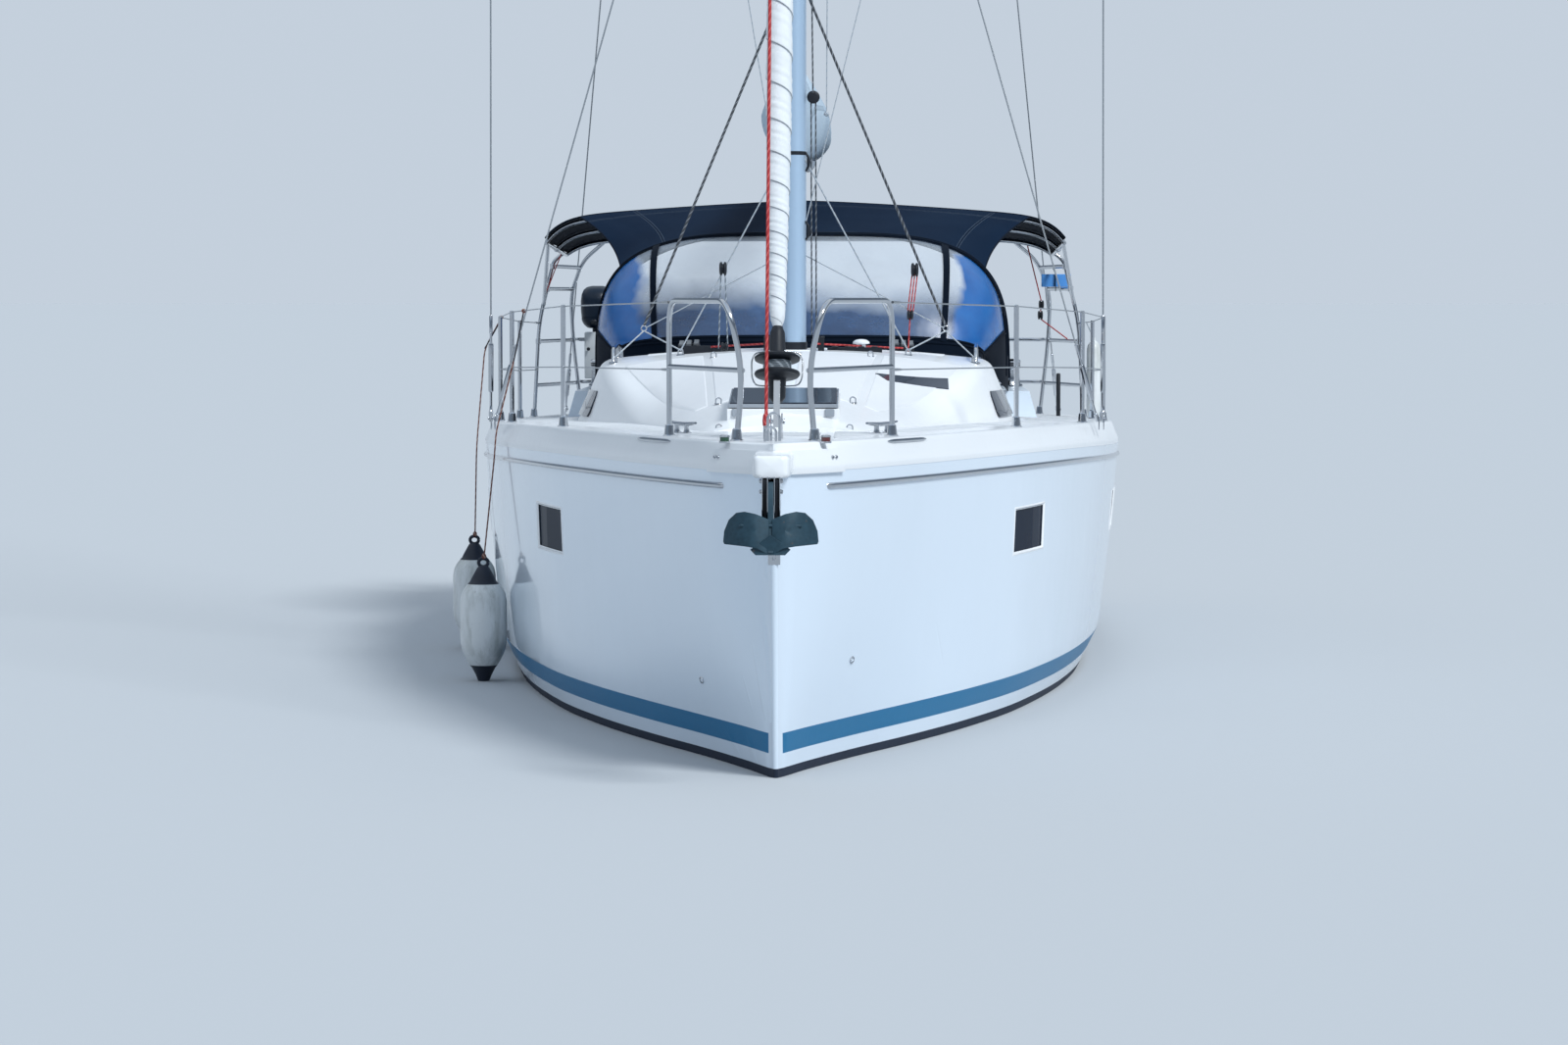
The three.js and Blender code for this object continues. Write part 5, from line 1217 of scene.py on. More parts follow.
# Stem and foredeck fittings: the towing eye low on the stem, a long U-bolt and shackle at the stay's
# foot, side lights, mooring cleats with their fairlead strips, pad eyes, and drains in the topsides.
def u_bar(a, b, height, radius, up=(0, 0, 1)):
    """A bar bent into a U that stands on two points, closed by a half circle."""
    a, b, up = (np.asarray(v, float) for v in (a, b, up))
    t = np.linspace(0, np.pi, 12)[:, None]
    reach = np.linalg.norm(b - a) / 2
    arc = (a + b) / 2 + up * (height - reach) - np.cos(t) * (b - a) / 2 + up * reach * np.sin(t)
    return carried(np.concatenate([[a], arc, [b]]), radius, 10)


stem_aft = lambda z: float(lean(np.array(0.0), z)) - 0.016
eye_z = 0.985
eye = [u_bar(at(0, stem_aft(eye_z - 0.02) + 0.004, eye_z - 0.03),
             at(0, stem_aft(eye_z + 0.02) + 0.004, eye_z + 0.03), 0.05, 0.0065, (0, -1, 0))]
STEM_PLATE = [(-0.026, 0.93), (0.026, 0.93), (0.026, 1.035), (0, 1.05), (-0.026, 1.035)]
eye.append(prism([at(x, stem_aft(z) - 0.001, z) for x, z in STEM_PLATE], (0, 0.006, 0)))
eye += [u_bar(at(-0.030, 0.26, 1.44), at(0.020, 0.26, 1.44), 0.125, 0.006),
        u_bar(at(-0.04, 0.20, 1.437), at(0.006, 0.20, 1.437), 0.07, 0.005),
        u_bar(at(-0.018, 0.30, 1.44), at(-0.018, 0.36, 1.44), 0.06, 0.005)]
piece("bow_eyes", eye, STEEL, bevel=0.0015)


def lamp_part(side, z, profile):
    """A turned part of a side light, upright at the lamp's place."""
    return turned(at(side * 0.215, 0.315, z), (0, 0, 1), profile, 24)


lamps = []
for side in (1, -1):
    lamps.append(lamp_part(side, 1.436, [(0, 0.024), (0.007, 0.024), (0.008, 0.019)]))
    lamps.append(lamp_part(side, 1.461, [(0, 0.022), (0.005, 0.022), (0.009, 0.014)]))
piece("side_light_cases", lamps, STEEL)
LENS_TINTS = {"port": (0.10, 0.008, 0.008, 1), "starboard": (0.006, 0.06, 0.025, 1)}
for name, side in SIDES.items():
    f = Finish(f"lamp_lens_{name}", Roughness=0.12, Coat_Weight=1.0)
    ribs = abs((f.z * 900).sine())
    # Painted shade: the troughs between the lens ribs are darker.
    lens_paint = f.put(Base_Color=f.mix(ribs, scaled(LENS_TINTS[name], 0.6), LENS_TINTS[name]),
                       Normal=f.bump(ribs, 0.0006, 0.6))
    piece(f"side_light_{name}", lamp_part(side, 1.4435, [(0, 0.020), (0.018, 0.020)]), lens_paint)


def mooring_cleat(x, aft, tilt=0.0):
    """A cast cleat: two waisted legs on pads, and horns that taper and lift to rounded ends."""
    base = float(deck_top(x, aft)) + 0.001
    s = np.linspace(-1, 1, 17)
    horns = np.stack([np.full(17, x) + tilt * s, y_of(aft + 0.128 * s), base + 0.044 + 0.008 * s ** 2], -1)
    made = [carried(horns, 0.0125 * (1 - 0.45 * np.abs(s) ** 3), 12, flat=0.75)]
    for d in (-0.045, 0.045):
        made.append(turned(at(x + tilt * d / 0.128, aft + d, base), (0, 0, 1),
                           [(0, 0.024), (0.005, 0.024), (0.010, 0.014), (0.03, 0.011), (0.044, 0.013)], 16))
    return made


def fairlead_strip(side):
    """A flat half-round bar let into the bevelled edge ahead of the cleat."""
    aft = np.linspace(1.06, 1.62, 14)
    edge, level = fair(HULL_ROWS, GUNWALE, aft), fair(HULL_ROWS, SHEER, aft)
    path = np.stack([side * (edge - 0.030), y_of(aft + lean(aft, level)), level - 0.012], -1)
    size = np.clip(np.minimum(np.arange(14), np.arange(14)[::-1]) * 0.5 + 0.35, 0, 1)
    return carried(path, 0.011 * size, 12, flat=0.8)


for name, side in SIDES.items():
    piece(f"mooring_cleat_{name}", mooring_cleat(side * 0.455, 1.62, side * 0.068), STEEL,
          replaces=[f"bow_cleat_{name}"])
piece("fairlead_strips", [fairlead_strip(1), fairlead_strip(-1)], STEEL)

PAD_EYES = [(-0.410, 4.275), (-0.320, 2.500), (-0.293, 1.800), (0.402, 4.320), (0.319, 2.525),
            (0.308, 1.800)]
eyes = []
for x, aft in PAD_EYES:
    z = float(roof_at(x, aft)) if aft > 1.85 else float(deck_top(x, aft)) + 0.002
    eyes.append(u_bar(at(x - 0.013, aft, z - 0.003), at(x + 0.013, aft, z - 0.003), 0.032, 0.0035))
    eyes.append(turned(at(x, aft, z), (0, 0, 1), [(0, 0.020), (0.003, 0.019), (0.004, 0.014)], 18))
DRAINS = [(1, 0.75, 0.46), (-1, 0.85, 0.36)]  # side, distance aft, height
for side, drain_aft, z in DRAINS:
    x = float(topside(np.array(drain_aft), z))
    centre = np.array([side * x, float(y_of(drain_aft + lean(np.array(drain_aft), z))), z])
    turn = np.linspace(0, 2 * np.pi, 25)[:-1]
    lip = centre + np.stack([0 * turn, 0.020 * np.cos(turn), 0.013 * np.sin(turn)], -1)
    lip[:, 0] = side * (topside(lip[:, 1] + MIDSHIP - lean(np.array(drain_aft), z), lip[:, 2]) + 0.003)
    eyes.append(carried(np.vstack([lip, lip[:1]]), 0.0035, 8))
piece("pad_eyes_and_drains", eyes, STEEL)

# Furler: a black drum wound with grey line at the foot of the forestay, between two stainless wire guards,
# held down by a link plate to a pin in the stemhead fork. Its axis lies along the raked stay.
STAY = {"aft": 0.640, "z": 1.520, "head_aft": 4.560, "head_z": 14.650}
STAY_WAY = np.array([0, STAY["head_aft"] - STAY["aft"], STAY["head_z"] - STAY["z"]])
STAY_WAY = STAY_WAY / np.linalg.norm(STAY_WAY)


def on_stay(z):
    """The forestay's place at a height."""
    share = (np.asarray(z, float) - STAY["z"]) / (STAY["head_z"] - STAY["z"])
    aft = STAY["aft"] + (STAY["head_aft"] - STAY["aft"]) * share
    return np.stack([0 * aft, y_of(aft), np.asarray(z, float)], -1)


def along_stay(profile, sides=32):
    """A turned piece on the stay, from (height, radius) pairs."""
    return turned(on_stay(0.0), STAY_WAY, [(z / STAY_WAY[2], r) for z, r in profile], sides)


def helix(foot, axis, radius, rise, turns, thick, sides=8):
    """A cord wound round an axis: a circle of points that climbs by its rise each turn."""
    axis = np.asarray(axis, float) / np.linalg.norm(axis)
    side = np.cross(axis, [1.0, 0, 0])
    side /= np.linalg.norm(side)
    a = np.linspace(0, 2 * np.pi * turns, int(20 * turns))[:, None]
    round_it = np.cos(a) * side + np.sin(a) * np.cross(axis, side)
    return carried(np.asarray(foot) + axis * rise * a / 2 / np.pi + radius * round_it, thick, sides)


def braided_rope(name, tint, fleck=(0.55, 0.55, 0.53, 1), share=0.25):
    """Braided polyester line: a small diamond braid on the surface map, its hollows painted darker as shade,
    with flecks of a second colour.
    """
    f = Finish(name, Roughness=0.75)
    u, v = f.surface()
    braid = ((u * 700 + v * 500).sine() * (u * 700 - v * 500).sine() + 1) * 0.5
    flecks = (v * 160 + u * 300).sine().step(1 - 2 * share, 0.2)
    # Painted shade: the braid's hollows are darkened to 0.55 of the tint.
    return f.put(Base_Color=f.mix(flecks, f.mix(braid, scaled(tint, 0.55), tint), fleck),
                 Normal=f.bump(braid, 0.0006, 0.8))


RED_LINE = braided_rope("red_braid", (0.42, 0.018, 0.022, 1), (0.55, 0.10, 0.09, 1), 0.15)
GREY_LINE = braided_rope("grey_braid", (0.17, 0.205, 0.24, 1), (0.36, 0.40, 0.44, 1), 0.2)
WHITE_LINE = braided_rope("white_braid", (0.46, 0.50, 0.54, 1), (0.25, 0.30, 0.36, 1), 0.15)
FURLER = [(1.600, 0.020), (1.618, 0.036), (1.70, 0.039), (1.706, 0.046), (1.712, 0.094), (1.720, 0.100),
          (1.726, 0.098), (1.729, 0.060), (1.732, 0.046), (1.775, 0.046), (1.779, 0.060), (1.782, 0.098),
          (1.790, 0.100), (1.797, 0.092), (1.802, 0.044), (1.815, 0.036), (1.90, 0.032), (1.912, 0.026),
          (1.925, 0.022)]
piece("furling_drum", [along_stay(FURLER)], BLACK, replaces=["furler"], sharp=40)
wound = [helix(on_stay(1.734 + 0.002 * layer), STAY_WAY, 0.051 + 0.007 * layer, 0.0074, 5.2, 0.0042)
         for layer in (0, 1)]
piece("furling_line_on_drum", wound, GREY_LINE)
GUARD = [(0.030, 0.700, 1.822), (0.098, 0.715, 1.812), (0.112, 0.700, 1.775), (0.108, 0.672, 1.700),
         (0.092, 0.664, 1.672), (0.030, 0.668, 1.668)]
guard = [carried(rounded([at(side * x, aft, z) for x, aft, z in GUARD], 0.022), 0.0035, 10)
         for side in (1, -1)]
link = prism([at(-0.014, 0.560, 1.495), at(0.014, 0.560, 1.495), at(0.014, 0.655, 1.70),
              at(-0.014, 0.655, 1.70)], (0, -0.005, 0))
fork = [prism([at(x, 0.555, 1.425), at(x, 0.640, 1.425), at(x, 0.615, 1.535), at(x, 0.575, 1.555),
               at(x, 0.540, 1.53)], (0.005, 0, 0)) for x in (-0.026, 0.021)]
pin = turned(at(-0.036, 0.580, 1.520), (1, 0, 0),
             [(0, 0.010), (0.004, 0.013), (0.006, 0.009), (0.064, 0.009), (0.066, 0.013), (0.072, 0.011)],
             16)
tack = u_bar(at(-0.012, 0.755, 1.860), at(0.012, 0.755, 1.860), 0.075, 0.004, STAY_WAY)
piece("furler_link", guard + [link, pin, tack] + fork, STEEL, bevel=0.001)
swivel = [along_stay([(13.72, 0.012), (13.73, 0.034), (13.80, 0.036), (13.81, 0.014)]),
          along_stay([(13.80, 0.012), (14.78, 0.012)], 16)]
piece("headsail_swivel", swivel, BLACK)

# Rolled headsail: white laminate rolled round the stay into a slim spindle, its leech laying a raised edge
# that climbs round it in a long spiral, with light creases between the turns.
HEADSAIL = np.array([[1.925, 0.020], [1.960, 0.031], [2.020, 0.0355], [2.28, 0.044], [2.60, 0.052],
                     [3.0, 0.058], [5.0, 0.062], [9.0, 0.052], [12.5, 0.040], [13.6, 0.024],
                     [13.70, 0.010]])
PITCH = np.array([[1.9, 0.092], [2.3, 0.094], [3.0, 0.172], [4.0, 0.25], [13.7, 0.40]])


def rolled_sail():
    """Circles along the stay, wound as the sail rolls: the foot's turns lie close together and the upper
    ones apart. Each turn's lower edge stands proud of the turn under it, and thins out at its upper edge."""
    fine = np.linspace(1.925, 13.7, 3000)
    wound_by = np.concatenate([[0], np.cumsum(np.diff(fine) / np.interp(fine[1:], *PITCH.T))])
    turns = np.linspace(0, wound_by[-1], int(wound_by[-1] * 15))
    z = np.interp(turns, wound_by, fine)[:, None]
    r = fair(HEADSAIL, 1, z)
    share = np.concatenate([np.linspace(0, 0.03, 3), np.linspace(0.06, 0.995, 21)])[None]
    body = np.clip((z - 1.95) / 0.1, 0, 1) * np.clip((13.6 - z) / 0.3, 0, 1)
    crease = 0.0018 * np.sin(z * 47 + share * 17) * np.sin(z * 5.3 + share * 4) * np.sin(np.pi * share)
    radius = r * (1 + body * (0.030 - 0.105 * share - 0.045 * (share < 0.005))) + crease * body
    a = 2 * np.pi * (share - turns[:, None])
    side = np.array([1.0, 0, 0])
    other = np.cross(STAY_WAY, side)
    round_it = np.cos(a)[..., None] * side + np.sin(a)[..., None] * other
    return closed(on_stay(z) + radius[..., None] * round_it)


def sail_laminate(name):
    """White sailcloth: a fine square weave, creases painted grey as shade, a little yellowing, and a dark
    painted shadow along the edge of each turn."""
    f = Finish(name, Roughness=0.62, Sheen_Weight=0.15)
    u, v = f.surface()
    weave = (u * 2600).sine() * (v * 2600).sine()
    crease = f.noise(9, 5, roughness=0.6, stretch=(1, 1, 0.45))
    # Painted shadow: a dark line along the edge of each turn, where it overlaps the turn under it.
    edge = 1 - u.step(0.009, 0.010)
    # Painted shade: grey where the crease noise is high.
    colour = f.mix(crease, (0.84, 0.87, 0.90, 1), (0.56, 0.62, 0.68, 1))
    colour = f.mix(edge * 0.75, f.mix(f.noise(1.1, 3) * 0.3, colour, (0.74, 0.73, 0.66, 1)),
                   (0.16, 0.19, 0.23, 1))
    return f.put(Base_Color=colour, Normal=f.bump(weave * 0.06 + crease - edge * 0.6, 0.006, 0.6))


piece("headsail_roll", rolled_sail(), sail_laminate("sail_laminate"),
      replaces=["rolled_headsail"], sharp=38)

# Mast: a grey-anodised oval extrusion with a luff groove up its after face, stepped on the coachroof, with
# swept aerofoil spreaders, black collars at its joints, and brackets for the boom and its strut.
MAST = {"aft": 4.70, "half": 0.062, "chord": 0.190, "foot": 1.7753, "head": 15.05, "taper_from": 13.0,
        "taper_to": 0.75}
SPREADERS = [(6.90, 1.640, 5.280, 7.010), (10.85, 1.160, 5.150, 10.930)]
GOOSENECK = {"aft": 4.860, "z": 2.750}


def mast_size(z):
    """The share of its full section that the mast has at a height, once its taper begins."""
    fall = np.clip((z - MAST["taper_from"]) / (MAST["head"] - MAST["taper_from"]), 0, 1)
    return 1 - (1 - MAST["taper_to"]) * fall


def mast_ring(z, grow=0.0, groove=0.0):
    """An oval section, a super-ellipse of power 2.3, with a groove pressed into its after end."""
    a = np.linspace(0, 2 * np.pi, 48, endpoint=False)
    round_it = lambda v: np.sign(v) * np.abs(v) ** (2 / 2.3)
    x = (MAST["half"] * mast_size(z) + grow) * round_it(np.sin(a))
    back = (MAST["chord"] / 2 * mast_size(z) + grow) * round_it(-np.cos(a))
    slot = groove * (np.abs(np.sin(a)) < 0.10) * (np.cos(a) < 0)
    return np.stack([x, y_of(MAST["aft"] + back - slot), np.full(48, z)], -1)


def anodised(name, tint=(0.345, 0.46, 0.59, 1), metal=0.35):
    """Anodised aluminium: a satin grey with faint lengthwise drawing marks and chalky streaks."""
    f = Finish(name, Metallic=metal, Roughness=0.36)
    streak = f.noise(14, 4, stretch=(1, 1, 0.02))
    return f.put(Base_Color=f.mix(streak, tint, scaled(tint, 1.25)), Roughness=f.noise(40, 3) * 0.15 + 0.28)


SPAR = anodised("anodised_spar")
levels_z = np.concatenate([[MAST["foot"]], np.linspace(2.2, 13.0, 14), np.linspace(13.3, MAST["head"], 6)])
tube_rings = np.array([mast_ring(z, groove=0.014) for z in levels_z])
collars = []
for low, high, grow in ((1.776, 1.815, 0.006), (2.795, 2.815, 0.0012),
                        (MAST["head"] - 0.03, MAST["head"], 0.002)):
    rings = ((low, 0), (low + 0.001, grow), (high - 0.001, grow), (high, 0))
    collars.append(closed(np.array([mast_ring(z, size) for z, size in rings])))
piece("mast_tube", [closed(tube_rings)], SPAR, replaces=["mast"], sharp=40)
piece("mast_collars", collars, BLACK)


def spreader(row, side):
    """An aerofoil tube from the mast to its tip, 90 mm deep at the root and 60 at the tip."""
    root, tip = at(side * 0.045, MAST["aft"] + 0.02, row[0]), at(side * row[1], row[2], row[3])
    way = (tip - root) / np.linalg.norm(tip - root)
    path = np.linspace(root, tip - way * 0.020, 8)
    return carried(path, np.linspace(0.040, 0.024, 8), 16, flat=0.42, level=(0, 0, 1))


spreaders = [spreader(row, side) for row in SPREADERS for side in (1, -1)]
piece("spreaders", spreaders, SPAR)
ends = [turned(at(side * (row[1] - 0.022), row[2] - 0.004, row[3]), (side, 0.1, 0.02),
               [(-0.03, 0.016), (-0.01, 0.021), (0.006, 0.018)], 14) for row in SPREADERS
        for side in (1, -1)]
piece("spreader_ends", ends, BLACK)
plates = [block(-0.024, 0.024, 4.775, 4.884, z, z + 0.010) for z in (2.700, 2.790)]
plates += [block(-0.018, 0.018, 4.775, 4.878, z, z + 0.009) for z in (2.060, 2.091)]
plates += [turned(at(0, GOOSENECK["aft"], z), (0, 0, 1),
                  [(0, r + 0.004), (0.004, r + 0.004), (0.005, r), (h - 0.005, r), (h - 0.004, r + 0.004),
                   (h, r + 0.004)], 18) for z, h, r in ((2.696, 0.108, 0.010), (2.056, 0.048, 0.009))]
crane = [block(-0.026, 0.026, 4.594, 4.846, 15.042, 15.082)]
crane += [turned(at(-0.012, aft, 15.035), (1, 0, 0), [(0, 0.030), (0.024, 0.030)], 20)
          for aft in (4.63, 4.815)]
piece("mast_brackets", plates + crane, STEEL, bevel=0.002)

# Standing rigging: stranded wires from chainplates in the deck edge over the spreaders to the mast, each
# set up by a rigging screw, and a pair of backstays to the quarters.
SHROUD = 0.0045
SHROUD_FEET = {"cap": (1.662, 5.330), "lower": (1.630, 5.200)}
SCREW = [(-0.01, 0.010), (0.03, 0.012), (0.034, 0.008), (0.06, 0.007), (0.11, 0.007), (0.112, 0.0125),
         (0.12, 0.014), (0.30, 0.014), (0.308, 0.0125), (0.31, 0.007), (0.35, 0.007), (0.352, 0.0095),
         (0.42, 0.009), (0.425, 0.005)]


def rigging_screw(foot, to, long=1.0):
    """A turned bottle screw along the wire, on a chainplate with its clevis pin."""
    way = (np.asarray(to) - foot) / np.linalg.norm(np.asarray(to) - foot)
    outline = ((0.020, -0.03), (0.018, 0.035), (0.010, 0.05), (-0.010, 0.05), (-0.018, 0.035),
               (-0.020, -0.03))
    plate = prism([foot + [0, d, h] for d, h in outline], (0.005, 0, 0))
    clevis = turned(foot + [-0.016, 0, 0.030], (1, 0, 0),
                    [(0, 0.009), (0.003, 0.009), (0.004, 0.006), (0.032, 0.006), (0.036, 0.009)], 12)
    return [turned(foot + way * 0.025, way, [(h * long, r) for h, r in SCREW], 14), clevis, plate]


screws = []
for place, side in SIDES.items():
    head = at(side * 0.040, MAST["aft"] + 0.02, 14.90)
    tips = [at(side * row[1], row[2], row[3]) for row in SPREADERS]
    cap = at(side * SHROUD_FEET["cap"][0], SHROUD_FEET["cap"][1], float(deck_top(*SHROUD_FEET["cap"])))
    low = at(side * SHROUD_FEET["lower"][0], SHROUD_FEET["lower"][1], float(deck_top(*SHROUD_FEET["lower"])))
    quarter = at(side * 1.660, 10.850, 1.262)
    runs = {"cap_shroud": [cap, tips[0], tips[1], head],
            "lower_shroud": [low, at(side * 0.052, MAST["aft"] + 0.02, 6.78)],
            "backstay": [quarter, at(side * 0.020, MAST["aft"] + 0.10, 14.95)]}
    for name, run in runs.items():
        path = stepped(run, 14)
        path[0] = path[0] + (path[1] - path[0]) / np.linalg.norm(path[1] - path[0]) * 0.40
        piece(f"{name}_wire_{place}", carried(path, SHROUD, 8), RIGGING,
              replaces=[f"{name}_{place}"])
        screws += rigging_screw(run[0], run[1], 1.33 if name == "cap_shroud" else 1.0)
piece("rigging_screws", screws, STEEL, bevel=0.0008)

# Boom: an oval anodised tube on its gooseneck, a telescopic strut under it, and on top a sail bag of white
# canvas coloured a pale grey-blue as painted shade, with a zip along its crown. All of it swings about the
# gooseneck's pin.
BOOM = {"front": 4.960, "end": 9.250, "half": 0.050, "deep": 0.075, "rise": 0.120}


def boom_z(aft):
    """Height of the boom's axis, which rises aft of the gooseneck."""
    reach = BOOM["end"] - GOOSENECK["aft"]
    return GOOSENECK["z"] + 0.045 + BOOM["rise"] * (aft - GOOSENECK["aft"]) / reach


def boom_ring(aft, size=1.0):
    """An upright oval round the boom's axis."""
    a = np.linspace(0, 2 * np.pi, 40, endpoint=False)
    return np.stack([BOOM["half"] * size * np.cos(a), np.full(40, y_of(aft)),
                     boom_z(aft) + BOOM["deep"] * size * np.sin(a)], -1)


tube_run = [boom_ring(aft) for aft in np.linspace(BOOM["front"] + 0.01, BOOM["end"] - 0.01, 8)]
CAP = ((0, 0.9), (0.006, 1.02), (0.05, 1.02), (0.052, 0.99))
caps_run = [np.array([boom_ring(front + back, size) for back, size in CAP])
            for front in (BOOM["front"], BOOM["end"] - 0.052)]
caps_run[1] = caps_run[1][::-1] * [1, -1, 1] + [0, 2 * y_of(BOOM["end"] - 0.026), 0]
piece("boom_tube", closed(np.array(tube_run)), SPAR, body="boom", replaces=["boom"])
goose = [block(-0.022, 0.022, 4.838, 4.990, 2.714, 2.786),
         block(-0.016, 0.016, 4.842, 4.935, 2.072, 2.088)]
piece("boom_ends", [closed(rings) for rings in caps_run], BLACK, body="boom")
strut_foot, strut_head = at(0, 4.922, 2.080), at(0, 6.250, float(boom_z(6.25)) - 0.062)
way = (strut_head - strut_foot) / np.linalg.norm(strut_head - strut_foot)
strut = [turned(strut_foot, way, [(0, 0.018), (0.01, 0.026), (0.60, 0.026), (0.61, 0.022)], 20),
         turned(strut_foot, way, [(0.59, 0.018), (np.linalg.norm(strut_head - strut_foot), 0.018)], 18)]
piece("boom_strut", strut, SPAR, body="boom")
piece("boom_fittings", goose, STEEL, body="boom", bevel=0.003)

BAG = np.array([[5.00, 0.130, 0.520], [5.30, 0.165, 0.500], [6.30, 0.170, 0.430], [7.60, 0.165, 0.340],
                [8.70, 0.145, 0.260], [9.13, 0.110, 0.190]])


def lazy_jack_sag(aft):
    """From 0 at a lazy jack to 1 between two of them, which stand 0.98 m apart."""
    return 0.5 + 0.5 * np.cos((aft - 5.2) * 2 * np.pi / 0.98)


def sail_bag():
    """An upright oval carried along the boom, drawn in at the zip on top, hanging in soft folds between its
    lazy jacks: the fold is a sine along the bag that fades towards the zip and the boom."""
    aft = np.concatenate([[5.0, 5.004], np.linspace(5.03, 9.10, 110), [9.126, 9.13]])
    half, height = fair(BAG, 1, aft)[:, None], fair(BAG, 2, aft)[:, None]
    end = np.concatenate([[0.80, 0.95], np.ones(110), [0.95, 0.80]])[:, None]
    b = np.linspace(-np.pi / 2, 3 * np.pi / 2, 56, endpoint=False)[None]
    up = np.sin(b)
    narrow = 1 - 0.35 * np.maximum(0, up) - 0.45 * np.clip((up - 0.80) / 0.2, 0, 1) ** 2
    fold = 0.010 * np.sin(aft[:, None] * 11 + 2.2 * up + 1.5 * np.sin(aft[:, None] * 2.7)) * np.cos(b) ** 2
    fold = fold + 0.006 * np.sin(aft[:, None] * 27 + 5 * up) * np.cos(b) ** 2
    x = (half * narrow * end + (fold - 0.012) * np.sign(np.cos(b))) * np.cos(b)
    low = boom_z(aft)[:, None] - 0.018
    sag = 0.018 * lazy_jack_sag(aft[:, None])
    z = low + (height * end) * (0.5 + 0.5 * up) - sag * np.maximum(0, up) ** 2
    return closed(np.stack([x, np.repeat(y_of(aft)[:, None], 56, 1), z], -1))


def sewn_canvas(name, tint, pale, seams=()):
    """Acrylic canvas: a fine basket weave and slow fading; seams are (map axis, place) pairs in metres,
    drawn as a folded edge with a row of stitches on each side."""
    f = Finish(name, Sheen_Weight=0.02, Sheen_Roughness=0.5, Specular_IOR_Level=0.06)
    u, v = f.surface()
    weave = (u * 1900).sine() * (v * 1900).sine()
    fade = f.noise(1.6, 5, roughness=0.6)
    fold = f.noise(3.2, 3, roughness=0.55)
    colour = f.mix(fade.step(0.52, 0.5), tint, pale)
    height = weave * 0.05 + fold * 1.2
    for axis, place in seams:
        far = abs((u if axis == "u" else v) - place)
        seam = 1 - far.step(0.011, 0.004)
        other = v if axis == "u" else u
        stitch = (1 - (abs(far - 0.008)).step(0.0016, 0.001)) * (other * 1250).sine().step(0, 0.5)
        colour = f.mix(stitch * 0.6, f.mix(seam * 0.35, colour, scaled(tint, 0.5)),
                       (0.16, 0.21, 0.28, 1))
        height = height + seam * 0.5
    return f.put(Base_Color=colour, Roughness=0.92 - fade * 0.2, Normal=f.bump(height, 0.004, 0.55))


# Painted shade: the bag's white canvas is coloured the pale grey-blue it shows in shade.
BAG_CLOTH_SHADED = sewn_canvas("sail_bag_cloth_shaded", (0.34, 0.43, 0.52, 1), (0.46, 0.55, 0.63, 1),
                        [("u", 0.28), ("u", 1.0)])
piece("boom_sail_bag", sail_bag(), BAG_CLOTH_SHADED, body="boom", replaces=["sail_bag"])
zip_aft = np.linspace(5.02, 9.11, 60)
zip_z = boom_z(zip_aft) - 0.018 + fair(BAG, 2, zip_aft) - 0.018 * lazy_jack_sag(zip_aft) + 0.002
zip_path = np.stack([0 * zip_aft, y_of(zip_aft), zip_z], -1)
piece("sail_bag_zip", carried(zip_path, 0.009, 8, flat=0.5, level=(1, 0, 0)), BLACK, body="boom")

# Sprayhood: near-black navy canvas on hidden hoops over the companionway, with a clear vinyl front in three
# panes between two straps, the outer panes tinted by their blue storm covers, and a window in each side.
HOOD_ROWS = np.array([  # share up the hood, crown aft, crown height, foot aft, foot half, foot height
    [0, 6.050, 1.800, 6.400, 1.040, 1.690], [0.2, 6.165, 2.020, 6.480, 1.090, 1.630],
    [0.45, 6.365, 2.290, 6.640, 1.150, 1.560], [0.62, 6.580, 2.402, 6.790, 1.180, 1.528],
    [0.8, 6.900, 2.418, 7.000, 1.200, 1.504], [1, 7.300, 2.420, 7.250, 1.210, 1.5003]])
HOOD_POWER = 0.52
PANE = {"low": 0.035, "high": 0.625, "end": 0.90}
SIDE_PANE = {"low": 0.67, "high": 0.92, "near": 0.845, "far": 0.965}


def on_hood(t, v, out=0.0):
    """The hood: at a share t up its front, a super-ellipse from foot to foot over the crown; v runs from -1
    at the starboard foot over 0 at the crown to 1 at the port foot. out swells it."""
    t, v = np.broadcast_arrays(np.asarray(t, float), np.asarray(v, float))
    crown_aft, crown_z, foot_aft, foot_half, foot_z = (fair(HOOD_ROWS, k, t) for k in range(1, 6))
    b = v * np.pi / 2
    lift = np.abs(np.cos(b)) ** HOOD_POWER
    x = (foot_half + out) * np.sign(v) * np.abs(np.sin(b)) ** HOOD_POWER
    aft = foot_aft + (crown_aft - out - foot_aft) * lift
    return np.stack([x, y_of(aft), foot_z + (crown_z + out - foot_z) * lift], -1)


def hood_sheet(t, v, out):
    """A sheet lying to the hood's form over runs of t and v."""
    return grid(on_hood(t, v, out)).outward((0, 1.2, 1.6))


def spaced(*marks, step=0.03):
    """Values from the first mark to the last with every mark among them, no further apart than a step."""
    runs = [np.linspace(a, b, max(2, int(np.ceil((b - a) / step)) + 1))[:-1]
            for a, b in zip(marks, marks[1:])]
    return np.concatenate(runs + [[marks[-1]]])


def cloth_area(skin):
    """The area of a skin's quads, each taken as half the product of its diagonals' cross product."""
    q = skin.points[skin.faces[0]]
    return float(np.linalg.norm(np.cross(q[:, 2] - q[:, 0], q[:, 3] - q[:, 1]), axis=1).sum() / 2)


